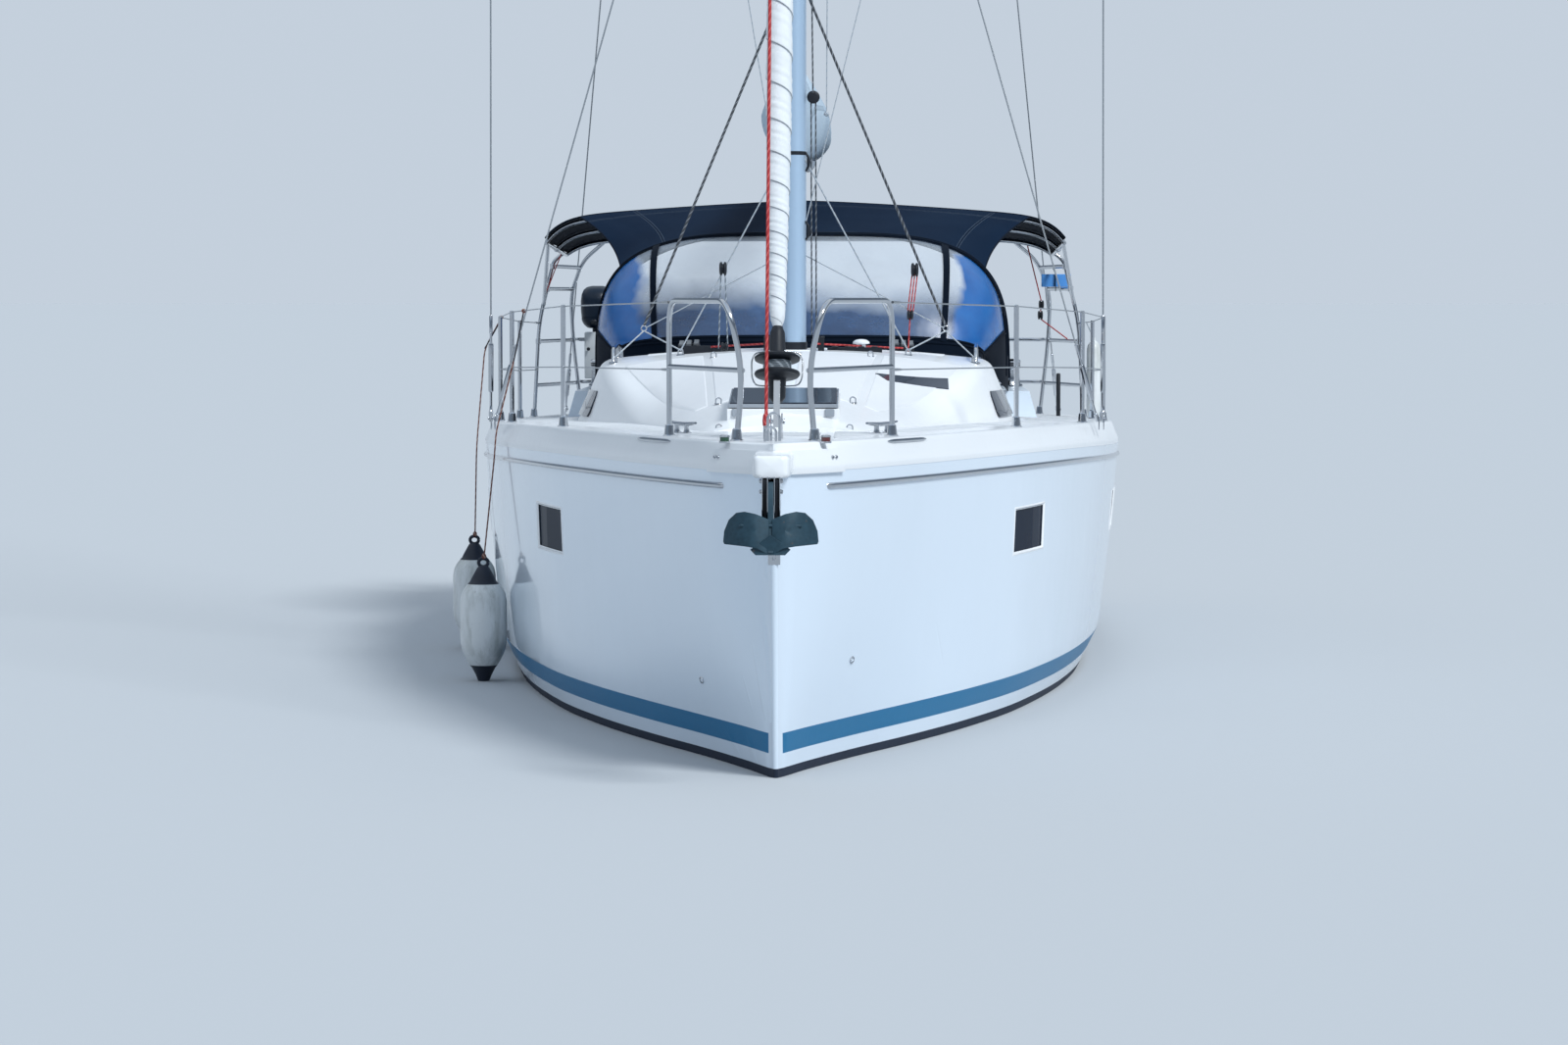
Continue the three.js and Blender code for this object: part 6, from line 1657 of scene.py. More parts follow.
hood_t = spaced(0, PANE["low"], PANE["high"], SIDE_PANE["low"], SIDE_PANE["high"], 1)
half_v = spaced(0, SIDE_PANE["near"], PANE["end"], SIDE_PANE["far"], 1, step=0.025)
half_v = np.concatenate([half_v[:-1], [0.985, 0.994, 0.998, 1.0]])
hood_v = np.concatenate([-half_v[:0:-1], half_v])
hood_points = on_hood(hood_t[:, None], hood_v[None])
mid_t, mid_v = (hood_t[1:] + hood_t[:-1]) / 2, np.abs(hood_v[1:] + hood_v[:-1]) / 2
front_pane = ((mid_t > PANE["low"]) & (mid_t < PANE["high"]))[:, None] & (mid_v < PANE["end"])[None]
side_pane = ((mid_t > SIDE_PANE["low"]) & (mid_t < SIDE_PANE["high"]))[:, None] & (
    (mid_v > SIDE_PANE["near"]) & (mid_v < SIDE_PANE["far"]))[None]
foot_row = hood_points[:1].copy()
foot_row[..., 2] = np.minimum(foot_row[..., 2],
                              roof_at(np.minimum(np.abs(foot_row[..., 0]), 1.03),
                                      foot_row[..., 1] + MIDSHIP) + 0.004)
foot_row[..., 1] -= 0.006
hood_all = np.concatenate([foot_row, hood_points])
keep = np.concatenate([np.ones((1, front_pane.shape[1]), bool), ~(front_pane | side_pane)])
hood_skin = grid(hood_all, keep=keep).outward((0, 1.2, 1.6))
NAVY, NAVY_FADED = (0.0005, 0.0035, 0.010, 1), (0.0010, 0.006, 0.017, 1)
HOOD_CANVAS = sewn_canvas("sprayhood_canvas", (0.0015, 0.0042, 0.010, 1), (0.003, 0.008, 0.018, 1))
hood_cloth = piece("sprayhood_cloth", hood_skin, HOOD_CANVAS, replaces=["sprayhood"],
                   thick=0.003)


def clear_vinyl(name):
    """Clear vinyl: nearly see-through, smeared and creased, with a painted reflection of blue sky over its
    lower part, turning to its blue cover out at the sides.
    """
    f = Finish(name, Roughness=0.16, Coat_Weight=0.1, Coat_Roughness=0.2, Specular_IOR_Level=0.35)
    smear = f.noise(3.2, 5, roughness=0.65, stretch=(1, 1, 1.8))
    sway = f.noise(2.6, 3) - 0.5
    cover = (abs(f.x) + sway * 0.35 - (f.z - 1.95) * 0.20).step(0.865, 0.05)
    deep = f.mix(f.noise(7, 3), (0.002, 0.060, 0.25, 1), (0.018, 0.165, 0.47, 1))
    # Painted reflection: a dark blue, nearly opaque band of sky reflected over the lower part of the panes.
    sky = (2.16 - f.z + sway * 0.25).step(0.10, 0.22)
    clear = f.mix(smear, (0.42, 0.49, 0.58, 1), (0.70, 0.76, 0.82, 1))
    colour = f.mix(cover, f.mix(sky, clear,
                                f.mix(smear.step(0.5, 0.4), (0.010, 0.034, 0.095, 1),
                                      (0.050, 0.105, 0.22, 1))), deep)
    return f.put(Base_Color=colour, Alpha=smear.step(0.55, 0.6) * 0.12 + cover * 0.64
                 + sky * (1 - cover) * 0.60 + 0.16, Roughness=smear * 0.16 + 0.16,
                 Normal=f.bump(f.noise(5, 2, stretch=(1, 1, 0.4)), 0.012, 0.5))


VINYL = clear_vinyl("clear_vinyl")
pane_t = spaced(PANE["low"] - 0.02, PANE["high"] + 0.02)
pane_v = spaced(-PANE["end"] - 0.01, PANE["end"] + 0.01)
piece("sprayhood_front_panes", hood_sheet(pane_t[:, None], pane_v[None], -0.005), VINYL,
      replaces=["sprayhood_window"], thick=0.0015)
side_t = spaced(SIDE_PANE["low"] - 0.02, SIDE_PANE["high"] + 0.02)
side_v = spaced(SIDE_PANE["near"] - 0.008, SIDE_PANE["far"] + 0.005)
side_panes = [hood_sheet(side_t[:, None], sign * side_v[None], -0.005) for sign in (1, -1)]
piece("sprayhood_side_panes", side_panes, VINYL, thick=0.0015)
t = np.linspace(0.01, 0.66, 24)[:, None]
strap_v = 0.415 - 0.081 * (t - 0.04) / 0.58 + np.linspace(-0.017, 0.017, 5)[None]
bands = [hood_sheet(t, sign * strap_v, 0.004) for sign in (1, -1)]
piece("sprayhood_straps", bands, HOOD_CANVAS, thick=0.003)


def hood_line(t, v, radius, out=0.002):
    """A piped edge carried over the hood along matching runs of t and v."""
    t, v = np.broadcast_arrays(np.asarray(t, float), np.asarray(v, float))
    return carried(on_hood(t, v, out), radius, 8)


hoops = [hood_line(t, np.linspace(-0.995, 0.995, 90), r)
         for t, r in ((0.002, 0.006), (PANE["high"] + 0.012, 0.005), (0.998, 0.009))]
hoops += [hood_line(PANE["low"] - 0.012, np.linspace(-0.9, 0.9, 60), 0.004)]
hoops += [hood_line(np.linspace(0.02, 0.64, 40), sign * 0.912, 0.004) for sign in (1, -1)]
piece("sprayhood_piping", hoops, HOOD_CANVAS)

# Awning: near-black navy canvas stretched over three stainless bows, and a bluer panel laced between it and
# the sprayhood, both with hems all round and seams along their bows.
BIMINI = {"front": 8.150, "back": 9.950, "half": 1.580, "front_z": 2.634, "back_z": 2.440, "thick": 0.012}
BOW_AFT = np.array([8.210, 9.050, 9.890])
AWNING_GRID, LINK_GRID = (61, 81), (25, 91)


def bimini_z(x, aft):
    """Gently crowned in front, flat and lower behind, and turned down at both sides by high powers."""
    out = np.abs(x / BIMINI["half"])
    front = BIMINI["front_z"] - 0.100 * out ** 1.3 - 0.120 * out ** 16
    back = BIMINI["back_z"] - 0.095 * out ** 12
    return front + (back - front) * (aft - BIMINI["front"]) / (BIMINI["back"] - BIMINI["front"])


def bow_z(x, aft):
    """A bow's axis: its radius square to the canvas, so further down where the canvas is steep."""
    slope = (bimini_z(np.abs(x) - 0.005, aft) - bimini_z(np.abs(x) + 0.005, aft)) / 0.010
    return bimini_z(x, aft) - BIMINI["thick"] - (TUBE + 0.0009) * np.hypot(1, slope)


def awning():
    """The crowned awning: a power curve across, sagging by a sine between its bows, with scalloped ends."""
    aft = np.linspace(BIMINI["front"], BIMINI["back"], AWNING_GRID[0])[:, None]
    x = BIMINI["half"] * np.sin(np.pi / 2 * np.linspace(-1, 1, AWNING_GRID[1]))[None]
    span = np.clip((aft - BOW_AFT[0]) / (BOW_AFT[1] - BOW_AFT[0]), 0, 2)
    sag = 0.020 * np.sin(np.pi * span) ** 2 * (1 - 0.5 * np.abs(x / BIMINI["half"]))
    pull = 0.030 * (1 - (x / BIMINI["half"]) ** 2) * np.sign(aft - 9.05) * np.abs((aft - 9.05) / 0.9) ** 8
    wrinkle = 0.0022 * np.sin(x * 19 + aft * 7) * np.sin(np.pi * span) ** 2
    return grid(np.stack([x + 0 * aft, y_of(aft - pull) + 0 * x,
                          bimini_z(x, aft) - 0.001 - sag + wrinkle], -1)).outward((0, 3.6, 1.5))


def edge_roll(skin, shape, radius, lift):
    """A hem all round a skin made from a grid of that many rows and columns."""
    p = skin.points.reshape(*shape, 3)
    border = np.concatenate([p[0], p[1:, -1], p[-1, -2::-1], p[-2::-1, 0]])
    return carried(border + [0, 0, lift], radius, 8)


LINK = {"front": 7.300, "back": 8.150, "front_half": 1.060, "back_half": 1.370, "waist": 0.060}


def link_panel():
    """The laced panel: its front edge follows the hood's after hoop and its back edge the awning; its sides
    are drawn in by half a sine."""
    v, t = np.linspace(-1, 1, LINK_GRID[1])[None], np.linspace(0, 1, LINK_GRID[0])[:, None]
    half = LINK["front_half"] + (LINK["back_half"] - LINK["front_half"]) * t
    x = (half - LINK["waist"] * np.sin(np.pi * t)) * v
    front_z = 2.420 - 0.250 * np.abs(v) ** 3.4
    z = front_z + (bimini_z(x, BIMINI["front"]) - front_z) * t - 0.010 * np.sin(np.pi * t) * (1 - v ** 2)
    crease = 0.006 * np.exp(-((np.abs(v) - 0.80 - 0.1 * t) / 0.03) ** 2) * np.sin(np.pi * t)
    return grid(np.stack([x, y_of(LINK["front"] + (LINK["back"] - LINK["front"]) * t) + 0 * v,
                          z - 0.002 - crease], -1)).outward((0, 2.2, 1.5))


def length(points):
    """The length of a path."""
    return float(np.linalg.norm(np.diff(points, axis=0), axis=1).sum())


link_skin, awning_skin = link_panel(), awning()
link_width = length(link_skin.points[-LINK_GRID[1]:])
awning_width = length(awning_skin.points[:AWNING_GRID[1]])
LINK_CANVAS = sewn_canvas("link_canvas", (0.0010, 0.0085, 0.025, 1), (0.0020, 0.013, 0.035, 1),
                          [("v", 0.030), ("v", 0.075), ("v", 0.80), ("u", 0.30), ("u", link_width - 0.55)])
AWNING_CANVAS = sewn_canvas("awning_canvas", NAVY, NAVY_FADED,
                            [("v", 0.06), ("v", 0.90), ("v", 1.74), ("u", 1.12), ("u", 2.24)])
link_cloth = piece("canopy_link_cloth", link_skin, LINK_CANVAS,
                   replaces=["canopy_link"], thick=0.003)
round(min(cloth_area(link_skin), link_width * 0.87), 2)
awning_cloth = piece("awning_cloth", awning_skin, AWNING_CANVAS, replaces=["bimini"],
                     thick=0.003)
round(min(cloth_area(awning_skin), awning_width * 1.82), 2)
hems = [edge_roll(link_skin, LINK_GRID, 0.0045, -0.002), edge_roll(awning_skin, AWNING_GRID, 0.0055, -0.003)]
piece("canopy_hems", hems, HOOD_CANVAS)

# Stern frame: legs rise from the side decks past the rails to the awning's bows, with two rungs a side
# like a ladder, and the stern rails close round the quarters to the gate.
shoulder = lambda aft: float(bow_z(BIMINI["half"], aft))
LEG_TUBES = [  # points as half breadth, distance aft and height; the corners' radius; steps round a corner
    ([(1.770, 9.60, 1.262), (1.735, 9.60, 1.890), (1.640, 9.60, 2.280), (1.580, 9.60, shoulder(9.60))],
     0.12, 10),
    ([(1.520, 10.45, 1.258), (1.575, 10.42, 1.763), (1.585, 10.34, 2.060), (1.490, 10.08, 2.280),
      (1.330, 9.89, float(bow_z(1.330, 9.89)))], 0.12, 10),
    ([(1.580, aft, shoulder(aft)) for aft in BOW_AFT], 0, 0),
    ([(1.741, 9.60, 1.763), (1.577, 10.42, 1.763), (1.560, 10.72, 1.763), (0.660, 10.79, 1.763),
      (0.660, 10.79, 1.258)], 0.12, 8),
    ([(1.756, 9.60, 1.480), (1.549, 10.437, 1.480), (1.560, 10.765, 1.480), (0.660, 10.795, 1.480)],
     0.12, 8),
    ([(1.645, 9.60, 2.245), (1.576, 9.863, 2.243), (1.507, 10.127, 2.240)], 0, 0),
    ([(1.684, 9.60, 2.100), (1.626, 9.946, 2.100), (1.568, 10.293, 2.100)], 0, 0),
    ([(1.580, 8.35, shoulder(8.35)), (1.643, 8.98, shoulder(8.35) / 2 + 1.0), (1.705, 9.60, 2.000)], 0, 0)]
frame_tubes = []
for side in (1, -1):
    for rows, bend, steps in LEG_TUBES:
        path = [at(side * x, aft, z) for x, aft, z in rows]
        frame_tubes.append(rounded(path, bend, steps) if bend else path)
across = BIMINI["half"] * np.sin(np.pi / 2 * np.linspace(-1, 1, 61))
frame_tubes += [np.stack([across, np.full(61, y_of(aft)), bow_z(across, aft)], -1) for aft in BOW_AFT]
cups = [turned(at(side * x, aft, float(deck_top(x, aft))), (0, 0, 1), BASE_CUP)
        for side in (1, -1) for x, aft in ((1.770, 9.60), (1.520, 10.45), (0.660, 10.79))]
CLAMPS = [((1.741, 9.60, 1.763), (0, 0, 1)), ((1.648, 9.60, 2.245), (0, 0, 1)),
          ((1.684, 9.60, 2.100), (0, 0, 1)), ((1.577, 10.42, 1.763), (0, 0, 1)),
          ((1.580, 9.05, shoulder(9.05)), (0, 1, 0))]
clamps = [turned(at(side * x, aft, z) - np.array(way) * 0.018, way,
                 [(0, 0.015), (0.003, 0.018), (0.033, 0.018), (0.036, 0.015)], 14)
          for side in (1, -1) for (x, aft, z), way in CLAMPS]
piece("stern_frame_tubes", [carried(path, TUBE, 14) for path in frame_tubes] + cups + clamps, STEEL,
      replaces=["stern_frame"])

# Halyards and lines: braided polyester held taut between the mast, the eyes on the coachroof and the
# clutches, led through black blocks whose cheeks hide their sheaves.
def line(*points, radius=0.004):
    """A taut line, straight from point to point and a touch rounded where it turns."""
    return carried(rounded([at(*p) for p in points], 0.02, 4), radius, 8)


def sheave_block(x, aft, z, size=0.036, wide=0.040, axis=(1, 0, 0)):
    """A block: two domed cheeks turned on the sheave's axis, with the sheave's groove between them."""
    axis = np.asarray(axis, float)
    shape = [(0, 0.5), (0.06, 0.85), (0.14, 1), (0.36, 1), (0.42, 0.72), (0.58, 0.72), (0.64, 1),
             (0.86, 1), (0.94, 0.85), (1, 0.5)]
    return turned(at(x, aft, z) - axis * wide / 2, axis, [(h * wide, r * size) for h, r in shape], 20)


def on_roof(x, aft, lift=0.0):
    """A point on the coachroof's top."""
    return (x, aft, float(roof_at(x, aft)) + lift)


DARK_LINE = braided_rope("dark_grey_braid", (0.055, 0.062, 0.072, 1), (0.20, 0.22, 0.25, 1), 0.12)
red = [line((-0.044, 0.525, 1.499), (-0.020, 4.575, 15.030), radius=0.0075),
       turned(at(-0.044, 0.525, 1.495), (0, 0.29, 0.96),
              [(0, 0.006), (0.008, 0.014), (0.030, 0.016), (0.055, 0.013), (0.064, 0.0075)], 14),
       line((-0.130, 4.740, 1.806), (-0.575, 5.235, 1.775), radius=0.005),
       line((0.120, 4.600, 1.806), (0.585, 5.215, 1.775), radius=0.005)]
red += [line((0.635 + d, 4.780, 2.170), (0.612 + d, 4.745, 1.975), radius=0.0035)
        for d in (-0.014, 0, 0.014)]
red += [line((0.610, 4.740, 1.940), on_roof(0.600, 4.690, 0.020), radius=0.0035)]
dark, pale = [], []
for side in (1, -1):
    dark.append(line((side * 0.060, 4.700, 3.660), (side * 0.798, 4.800, 1.900), radius=0.007))
    pale += [line((side * 0.800, 4.800, 1.872), on_roof(side * 0.950, 4.690, 0.026)),
             line((side * 0.800, 4.800, 1.872), on_roof(side * 0.600, 4.690, 0.026)),
             line((side * 0.790, 4.797, 1.888), (side * 0.058, 4.700, 2.270), radius=0.003),
             line((side * 0.050, 4.655, 2.785), on_roof(side * 0.600, 4.680, 0.024))]
dark += [line((0.104 + d, 4.690, 1.850), (0.100 + d, 4.690, 3.080)) for d in (-0.012, 0.012)]
dark += [line((0.098, 4.690 + d, 3.120), (0.058, 4.690 + d, 6.450)) for d in (-0.014, 0.014)]
pale += [line((0.169, 4.720, 3.020), (0.190, 4.765, 6.900), radius=0.003),
         line((0.058, 4.660, 2.430), (1.170, 5.110, 6.965), radius=0.003),
         line((-0.058, 4.660, 2.500), (-0.800, 4.982, 6.945), radius=0.003),
         turned(at(0.169, 4.720, 3.000), (0, 0, 1),
                [(0, 0.004), (0.006, 0.013), (0.013, 0.015), (0.022, 0.011), (0.028, 0.004)], 14)]
grey = [line((-0.375 + d, 4.670, 2.175), on_roof(-0.375 + 2.2 * d, 4.680, 0.020), radius=0.0035)
        for d in (-0.011, 0.011)]
piece("red_lines", red, RED_LINE)
piece("dark_lines", dark, DARK_LINE)
piece("pale_lines", pale, WHITE_LINE)
piece("grey_tackle_lines", grey, GREY_LINE)
blocks = [sheave_block(0.635, 4.780, 2.195), sheave_block(0.611, 4.742, 1.957, 0.026, 0.034),
          sheave_block(-0.375, 4.670, 2.200), sheave_block(0.100, 4.690, 3.100, 0.034, 0.030, (0, 1, 0)),
          sheave_block(-0.368, 4.680, 1.790, 0.022, 0.040)]

# Roof gear: organisers and clutches in black plastic bolted to the coachroof, a mushroom vent, eyes for the
# lines, a ring where each bridle meets, cleats on the mast, and a low stainless handrail along each side.
ORGANISERS = [  # half breadth, distance aft, width, depth, height
    (-0.142, 4.620, 0.036, 0.060, 0.075), (0.142, 4.620, 0.032, 0.060, 0.075),
    (0.318, 4.760, 0.290, 0.050, 0.030), (-0.520, 4.760, 0.150, 0.050, 0.048),
    (-0.378, 4.768, 0.136, 0.030, 0.022)]
roof_gear = blocks
for x, aft, wide, deep, tall in ORGANISERS:
    z = float(roof_at(abs(x) + wide / 2, aft)) - 0.003
    roof_gear.append(block(x - wide / 2, x + wide / 2, aft, aft + deep, z, z + tall))
    roof_gear += [turned(at(x + wide * share, aft + deep / 2, z + tall - 0.001), (0, 0, 1),
                         [(0, 0.019), (0.004, 0.019), (0.007, 0.013)], 16)
                  for share in ((-0.36, -0.12, 0.12, 0.36) if wide > 0.2 else (0,)) if deep > 0.04]
CLUTCH = [(5.20, 0), (5.20, 0.030), (5.225, 0.047), (5.30, 0.050), (5.345, 0.034), (5.345, 0)]
LEVER = [(5.21, 0.036), (5.205, 0.046), (5.29, 0.066), (5.36, 0.060), (5.36, 0.054), (5.29, 0.052)]
levers = []
for side in (1, -1):
    for x in (0.540, 0.580, 0.620):
        z = float(roof_at(x + 0.02, 5.24)) - 0.002
        roof_gear.append(prism([at(side * x - 0.017, aft, z + h) for aft, h in CLUTCH], (0.034, 0, 0)))
        levers.append(prism([at(side * x - 0.012, aft, z + h) for aft, h in LEVER], (0.024, 0, 0)))
for side, z in ((1, 2.400), (-1, 2.470), (1, 2.760), (-1, 2.760)):
    roof_gear.append(carried([at(side * 0.060, 4.655, z - 0.050), at(side * 0.074, 4.655, z - 0.025),
                              at(side * 0.076, 4.655, z), at(side * 0.074, 4.655, z + 0.025),
                              at(side * 0.060, 4.655, z + 0.050)], [0.004, 0.008, 0.010, 0.008, 0.004], 10))
piece("roof_gear", roof_gear, BLACK, bevel=0.0025)
piece("clutch_levers", levers, rubber_black("lever_grey", (0.10, 0.11, 0.12, 1)),
      bevel=0.0015)


def upright_ring(centre, wide, high, thick, sides):
    """A bar bent into an oval ring that stands across the hull."""
    turn = np.linspace(0, 2 * np.pi, 25)
    return carried(centre + np.stack([wide * np.cos(turn), 0 * turn, high * np.sin(turn)], -1), thick, sides)


rails = []
for side in (1, -1):
    rise = lambda x, aft, lift: at(side * x, aft, float(roof_at(x, aft)) + lift)
    rails.append(carried(rounded([rise(0.955, 4.680, -0.004), rise(0.957, 4.720, 0.070),
                                  rise(0.975, 5.38, 0.074), rise(0.992, 6.040, 0.070),
                                  rise(0.994, 6.080, -0.004)], 0.05, 8), 0.0105, 12))
    rails.append(carried([rise(0.975, 5.38, -0.004), rise(0.975, 5.38, 0.070)], 0.0095, 12))
    rails += [turned(rise(x, aft, -0.001), (0, 0, 1), [(0, 0.026), (0.004, 0.025), (0.008, 0.014)], 18)
              for x, aft in ((0.955, 4.680), (0.975, 5.38), (0.994, 6.080))]
    rails.append(upright_ring(at(side * 0.800, 4.800, 1.886), 0.014, 0.014, 0.0035, 8))
    for x in (0.600, 0.950):
        foot = rise(x, 4.690, -0.002)
        rails.append(u_bar(foot - [0.013, 0, 0], foot + [0.013, 0, 0], 0.034, 0.0038))
        rails.append(turned(foot, (0, 0, 1), [(0, 0.022), (0.005, 0.021), (0.006, 0.014)], 18))
    rails.append(turned(at(side * 0.062, 4.690, 6.45), (side, 0, 0),
                        [(-0.004, 0.026), (0.003, 0.024), (0.004, 0.014)], 16))
rails.append(u_bar(at(-0.052, 0.520, 1.440), at(-0.036, 0.520, 1.440), 0.062, 0.004))
piece("handrails_and_eyes", rails, STEEL)
vent = turned(at(0.352, 4.930, float(roof_at(0.352, 4.93)) - 0.002), (0, 0, 1),
              [(0, 0.042), (0.006, 0.042), (0.010, 0.024), (0.034, 0.024), (0.038, 0.046), (0.048, 0.044),
               (0.058, 0.030), (0.062, 0.010)], 26)
piece("mushroom_vent", vent, DECK_WHITE)

# Fenders: blown vinyl sausages with black rubber ends, hung from the starboard guard wire on lines hitched
# round it; a slim one hangs inside the port quarter.
def fender_vinyl():
    """Chalky white vinyl with grey scuffs where it rubs and stains that run down from its shoulder."""
    f = Finish("fender_vinyl", Roughness=0.45, Coat_Weight=0.15, Coat_Roughness=0.3)
    run = f.noise(9, 5, roughness=0.7, stretch=(1, 1, 0.22))
    scuff = f.noise(34, 5, roughness=0.75)
    colour = f.mix(run.step(0.56, 0.25), (0.70, 0.725, 0.73, 1), (0.40, 0.42, 0.40, 1))
    return f.put(Base_Color=f.mix(scuff.step(0.66, 0.10) * 0.5, colour, (0.22, 0.23, 0.23, 1)),
                 Roughness=scuff * 0.3 + 0.3, Normal=f.bump(scuff, 0.0015, 0.4))


FENDER_WHITE = fender_vinyl()
FENDER_BLACK = rubber_black("fender_rubber", (0.010, 0.014, 0.024, 1))
FENDER_BODY = [(0.074, 0.062), (0.086, 0.074), (0.110, 0.089), (0.140, 0.105), (0.170, 0.1155),
               (0.200, 0.1225), (0.235, 0.125), (0.420, 0.125), (0.447, 0.1222), (0.473, 0.1155),
               (0.500, 0.100), (0.518, 0.085), (0.530, 0.072)]
FENDER_ENDS = [[(-0.033, 0.008), (-0.031, 0.022), (-0.016, 0.029), (0.0, 0.030), (0.035, 0.044),
                (0.072, 0.063), (0.085, 0.0745), (0.090, 0.070)],
               [(0.514, 0.080), (0.522, 0.0835), (0.531, 0.073), (0.556, 0.061), (0.585, 0.045),
                (0.606, 0.033), (0.616, 0.024), (0.618, 0.016)]]
FENDER_LINES = {"forward": (4.900, [(-1.446, 1.974), (-1.500, 1.710), (-1.596, 1.330), (-1.606, 1.190)]),
                "aft": (6.980, [(-1.749, 1.928), (-1.846, 1.750), (-1.890, 1.250), (-1.897, 1.140)])}
FENDER_LINE = braided_rope("fender_line_braid", (0.16, 0.045, 0.032, 1), (0.30, 0.20, 0.16, 1), 0.2)
for place, (aft, run) in FENDER_LINES.items():
    x = -float(topside(np.array(aft), 0.6)) - 0.1275
    white = [turned(at(x, aft, 0), (0, 0, 1), FENDER_BODY, 40)]
    piece(f"fender_body_{place}", white, FENDER_WHITE, replaces=[f"fender_{place}"])
    ring = upright_ring(at(x, aft, 0.634), 0.025, 0.022, 0.0095, 10)
    strap = carried([at(run[0][0] - 0.002, aft, run[0][1] - 0.012), at(run[1][0], aft, run[1][1])],
                    0.0085, 10, flat=0.45)
    ends = [turned(at(x, aft, 0), (0, 0, 1), end, 32) for end in FENDER_ENDS]
    piece(f"fender_ends_{place}", ends + [ring], FENDER_BLACK)
    hitch = helix(at(run[0][0], aft - 0.008, run[0][1] + 0.004), (0, 1, -0.03), 0.0076, 0.0085, 2.5, 0.004)
    knots = [at(a, aft, z) for a, z in run] + [at(x + 0.004, aft, 0.664), at(x, aft, 0.650)]
    knot = turned(at(x + 0.003, aft, 0.650), (0.02, 0, 1),
                  [(0, 0.006), (0.006, 0.012), (0.024, 0.012), (0.034, 0.005)], 12)
    piece(f"fender_line_{place}", [carried(rounded(knots, 0.05, 5), 0.004, 8), hitch, knot], FENDER_LINE)
    piece(f"fender_strap_{place}", strap, BLACK)
slim = [(0, 0.010), (0.006, 0.024), (0.030, 0.038), (0.060, 0.0445), (0.440, 0.0445), (0.470, 0.038),
        (0.490, 0.024), (0.500, 0.012), (0.520, 0.010)]
piece("quarter_fender", turned(at(1.818, 9.300, 1.272), (0, 0, 1), slim, 28), FENDER_WHITE)
piece("quarter_fender_line", line((1.818, 9.300, 1.785), (1.772, 9.300, 1.886)), WHITE_LINE)

# Stern gear: a small outboard clamped to a pale board on the starboard rail, and on the port side a blue
# board strapped on the lower rung, a tackle from the awning's bow, a black post, and tape round a leg.
OUTBOARD = {"x": -1.440, "aft": 10.766}


def cowl_ring(z, half, deep, shift=0.0):
    """A level super-ellipse of power 2.7, wider across its after end."""
    a = np.linspace(0, 2 * np.pi, 36, endpoint=False)
    c, s = (np.sign(v) * np.abs(v) ** (2 / 2.7) for v in (np.cos(a), np.sin(a)))
    return np.stack([OUTBOARD["x"] + half * c * (1 - 0.06 * s),
                     y_of(OUTBOARD["aft"] + 0.070 + shift + deep * s), np.full(36, z)], -1)


def outboard_paint():
    """Satin black enamel, greyer where the sun has dulled the top of the cowl."""
    f = Finish("outboard_enamel", Roughness=0.4, Coat_Weight=0.05, Coat_Roughness=0.15,
               Specular_IOR_Level=0.18)
    dust = f.noise(18, 5, roughness=0.7)
    return f.put(Base_Color=f.mix(dust * f.z.step(2.08, 0.10) * 0.8, (0.003, 0.009, 0.020, 1),
                                  (0.020, 0.030, 0.046, 1)), Roughness=dust * 0.25 + 0.22)


ENAMEL = outboard_paint()
LOW_COWL = [(1.838, 0.052, 0.085), (1.842, 0.066, 0.104), (1.862, 0.088, 0.130), (1.888, 0.102, 0.147),
            (1.906, 0.105, 0.150), (1.909, 0.099, 0.144)]
TOP_COWL = [(1.905, 0.098, 0.143, 0), (1.912, 0.104, 0.150, 0), (1.960, 0.1085, 0.156, 0),
            (2.020, 0.109, 0.157, 0), (2.066, 0.103, 0.148, 0.004), (2.096, 0.090, 0.130, 0.008),
            (2.114, 0.068, 0.100, 0.012), (2.122, 0.036, 0.055, 0.014)]
COWL_LEG = [(1.322, 0.014, 0.040, 0.005), (1.326, 0.022, 0.052, 0.005), (1.370, 0.026, 0.050, 0.005),
            (1.60, 0.028, 0.034, 0.005), (1.78, 0.033, 0.036, 0.005), (1.86, 0.034, 0.040, 0.005)]
engine_parts = [closed(np.array([cowl_ring(*row) for row in rows]))
                for rows in (LOW_COWL, TOP_COWL, COWL_LEG)]
engine_parts += [block(-1.508, -1.372, 10.690, 10.820, 1.7775, 1.798),
                 block(-1.500, -1.478, 10.712, 10.742, 1.640, 1.7775),
                 block(-1.402, -1.380, 10.712, 10.742, 1.640, 1.7775),
                 block(-1.462, -1.418, 10.560, 10.712, 1.866, 1.896)]
piece("outboard_engine", engine_parts, ENAMEL, replaces=["outboard"], bevel=0.003)
trim = [turned(at(-1.440, 10.480, 1.881), (0, 1, 0),
               [(0, 0.010), (0.004, 0.017), (0.085, 0.015), (0.090, 0.018), (0.100, 0.018)], 18)]
trim += [turned(at(x, 10.640, 1.700), (0, 1, 0),
                [(0, 0.009), (0.004, 0.012), (0.018, 0.012), (0.020, 0.006), (0.070, 0.006)], 12)
         for x in (-1.489, -1.391)]
piece("outboard_grip_and_screws", trim, BLACK)
board_paint = plain_gelcoat("engine_board", (0.52, 0.55, 0.57, 1), (0.42, 0.45, 0.47, 1))
piece("outboard_board", block(-1.518, -1.362, 10.680, 10.709, 1.502, 1.814), board_paint,
      bevel=0.008)


def blue_board():
    """A board in blue canvas paint, its surface slightly uneven."""
    f = Finish("blue_board_paint", Roughness=0.6)
    patch = f.noise(8, 4)
    return f.put(Base_Color=f.mix(patch, (0.045, 0.22, 0.60, 1), (0.10, 0.34, 0.76, 1)),
                 Normal=f.bump(patch, 0.003, 0.5))


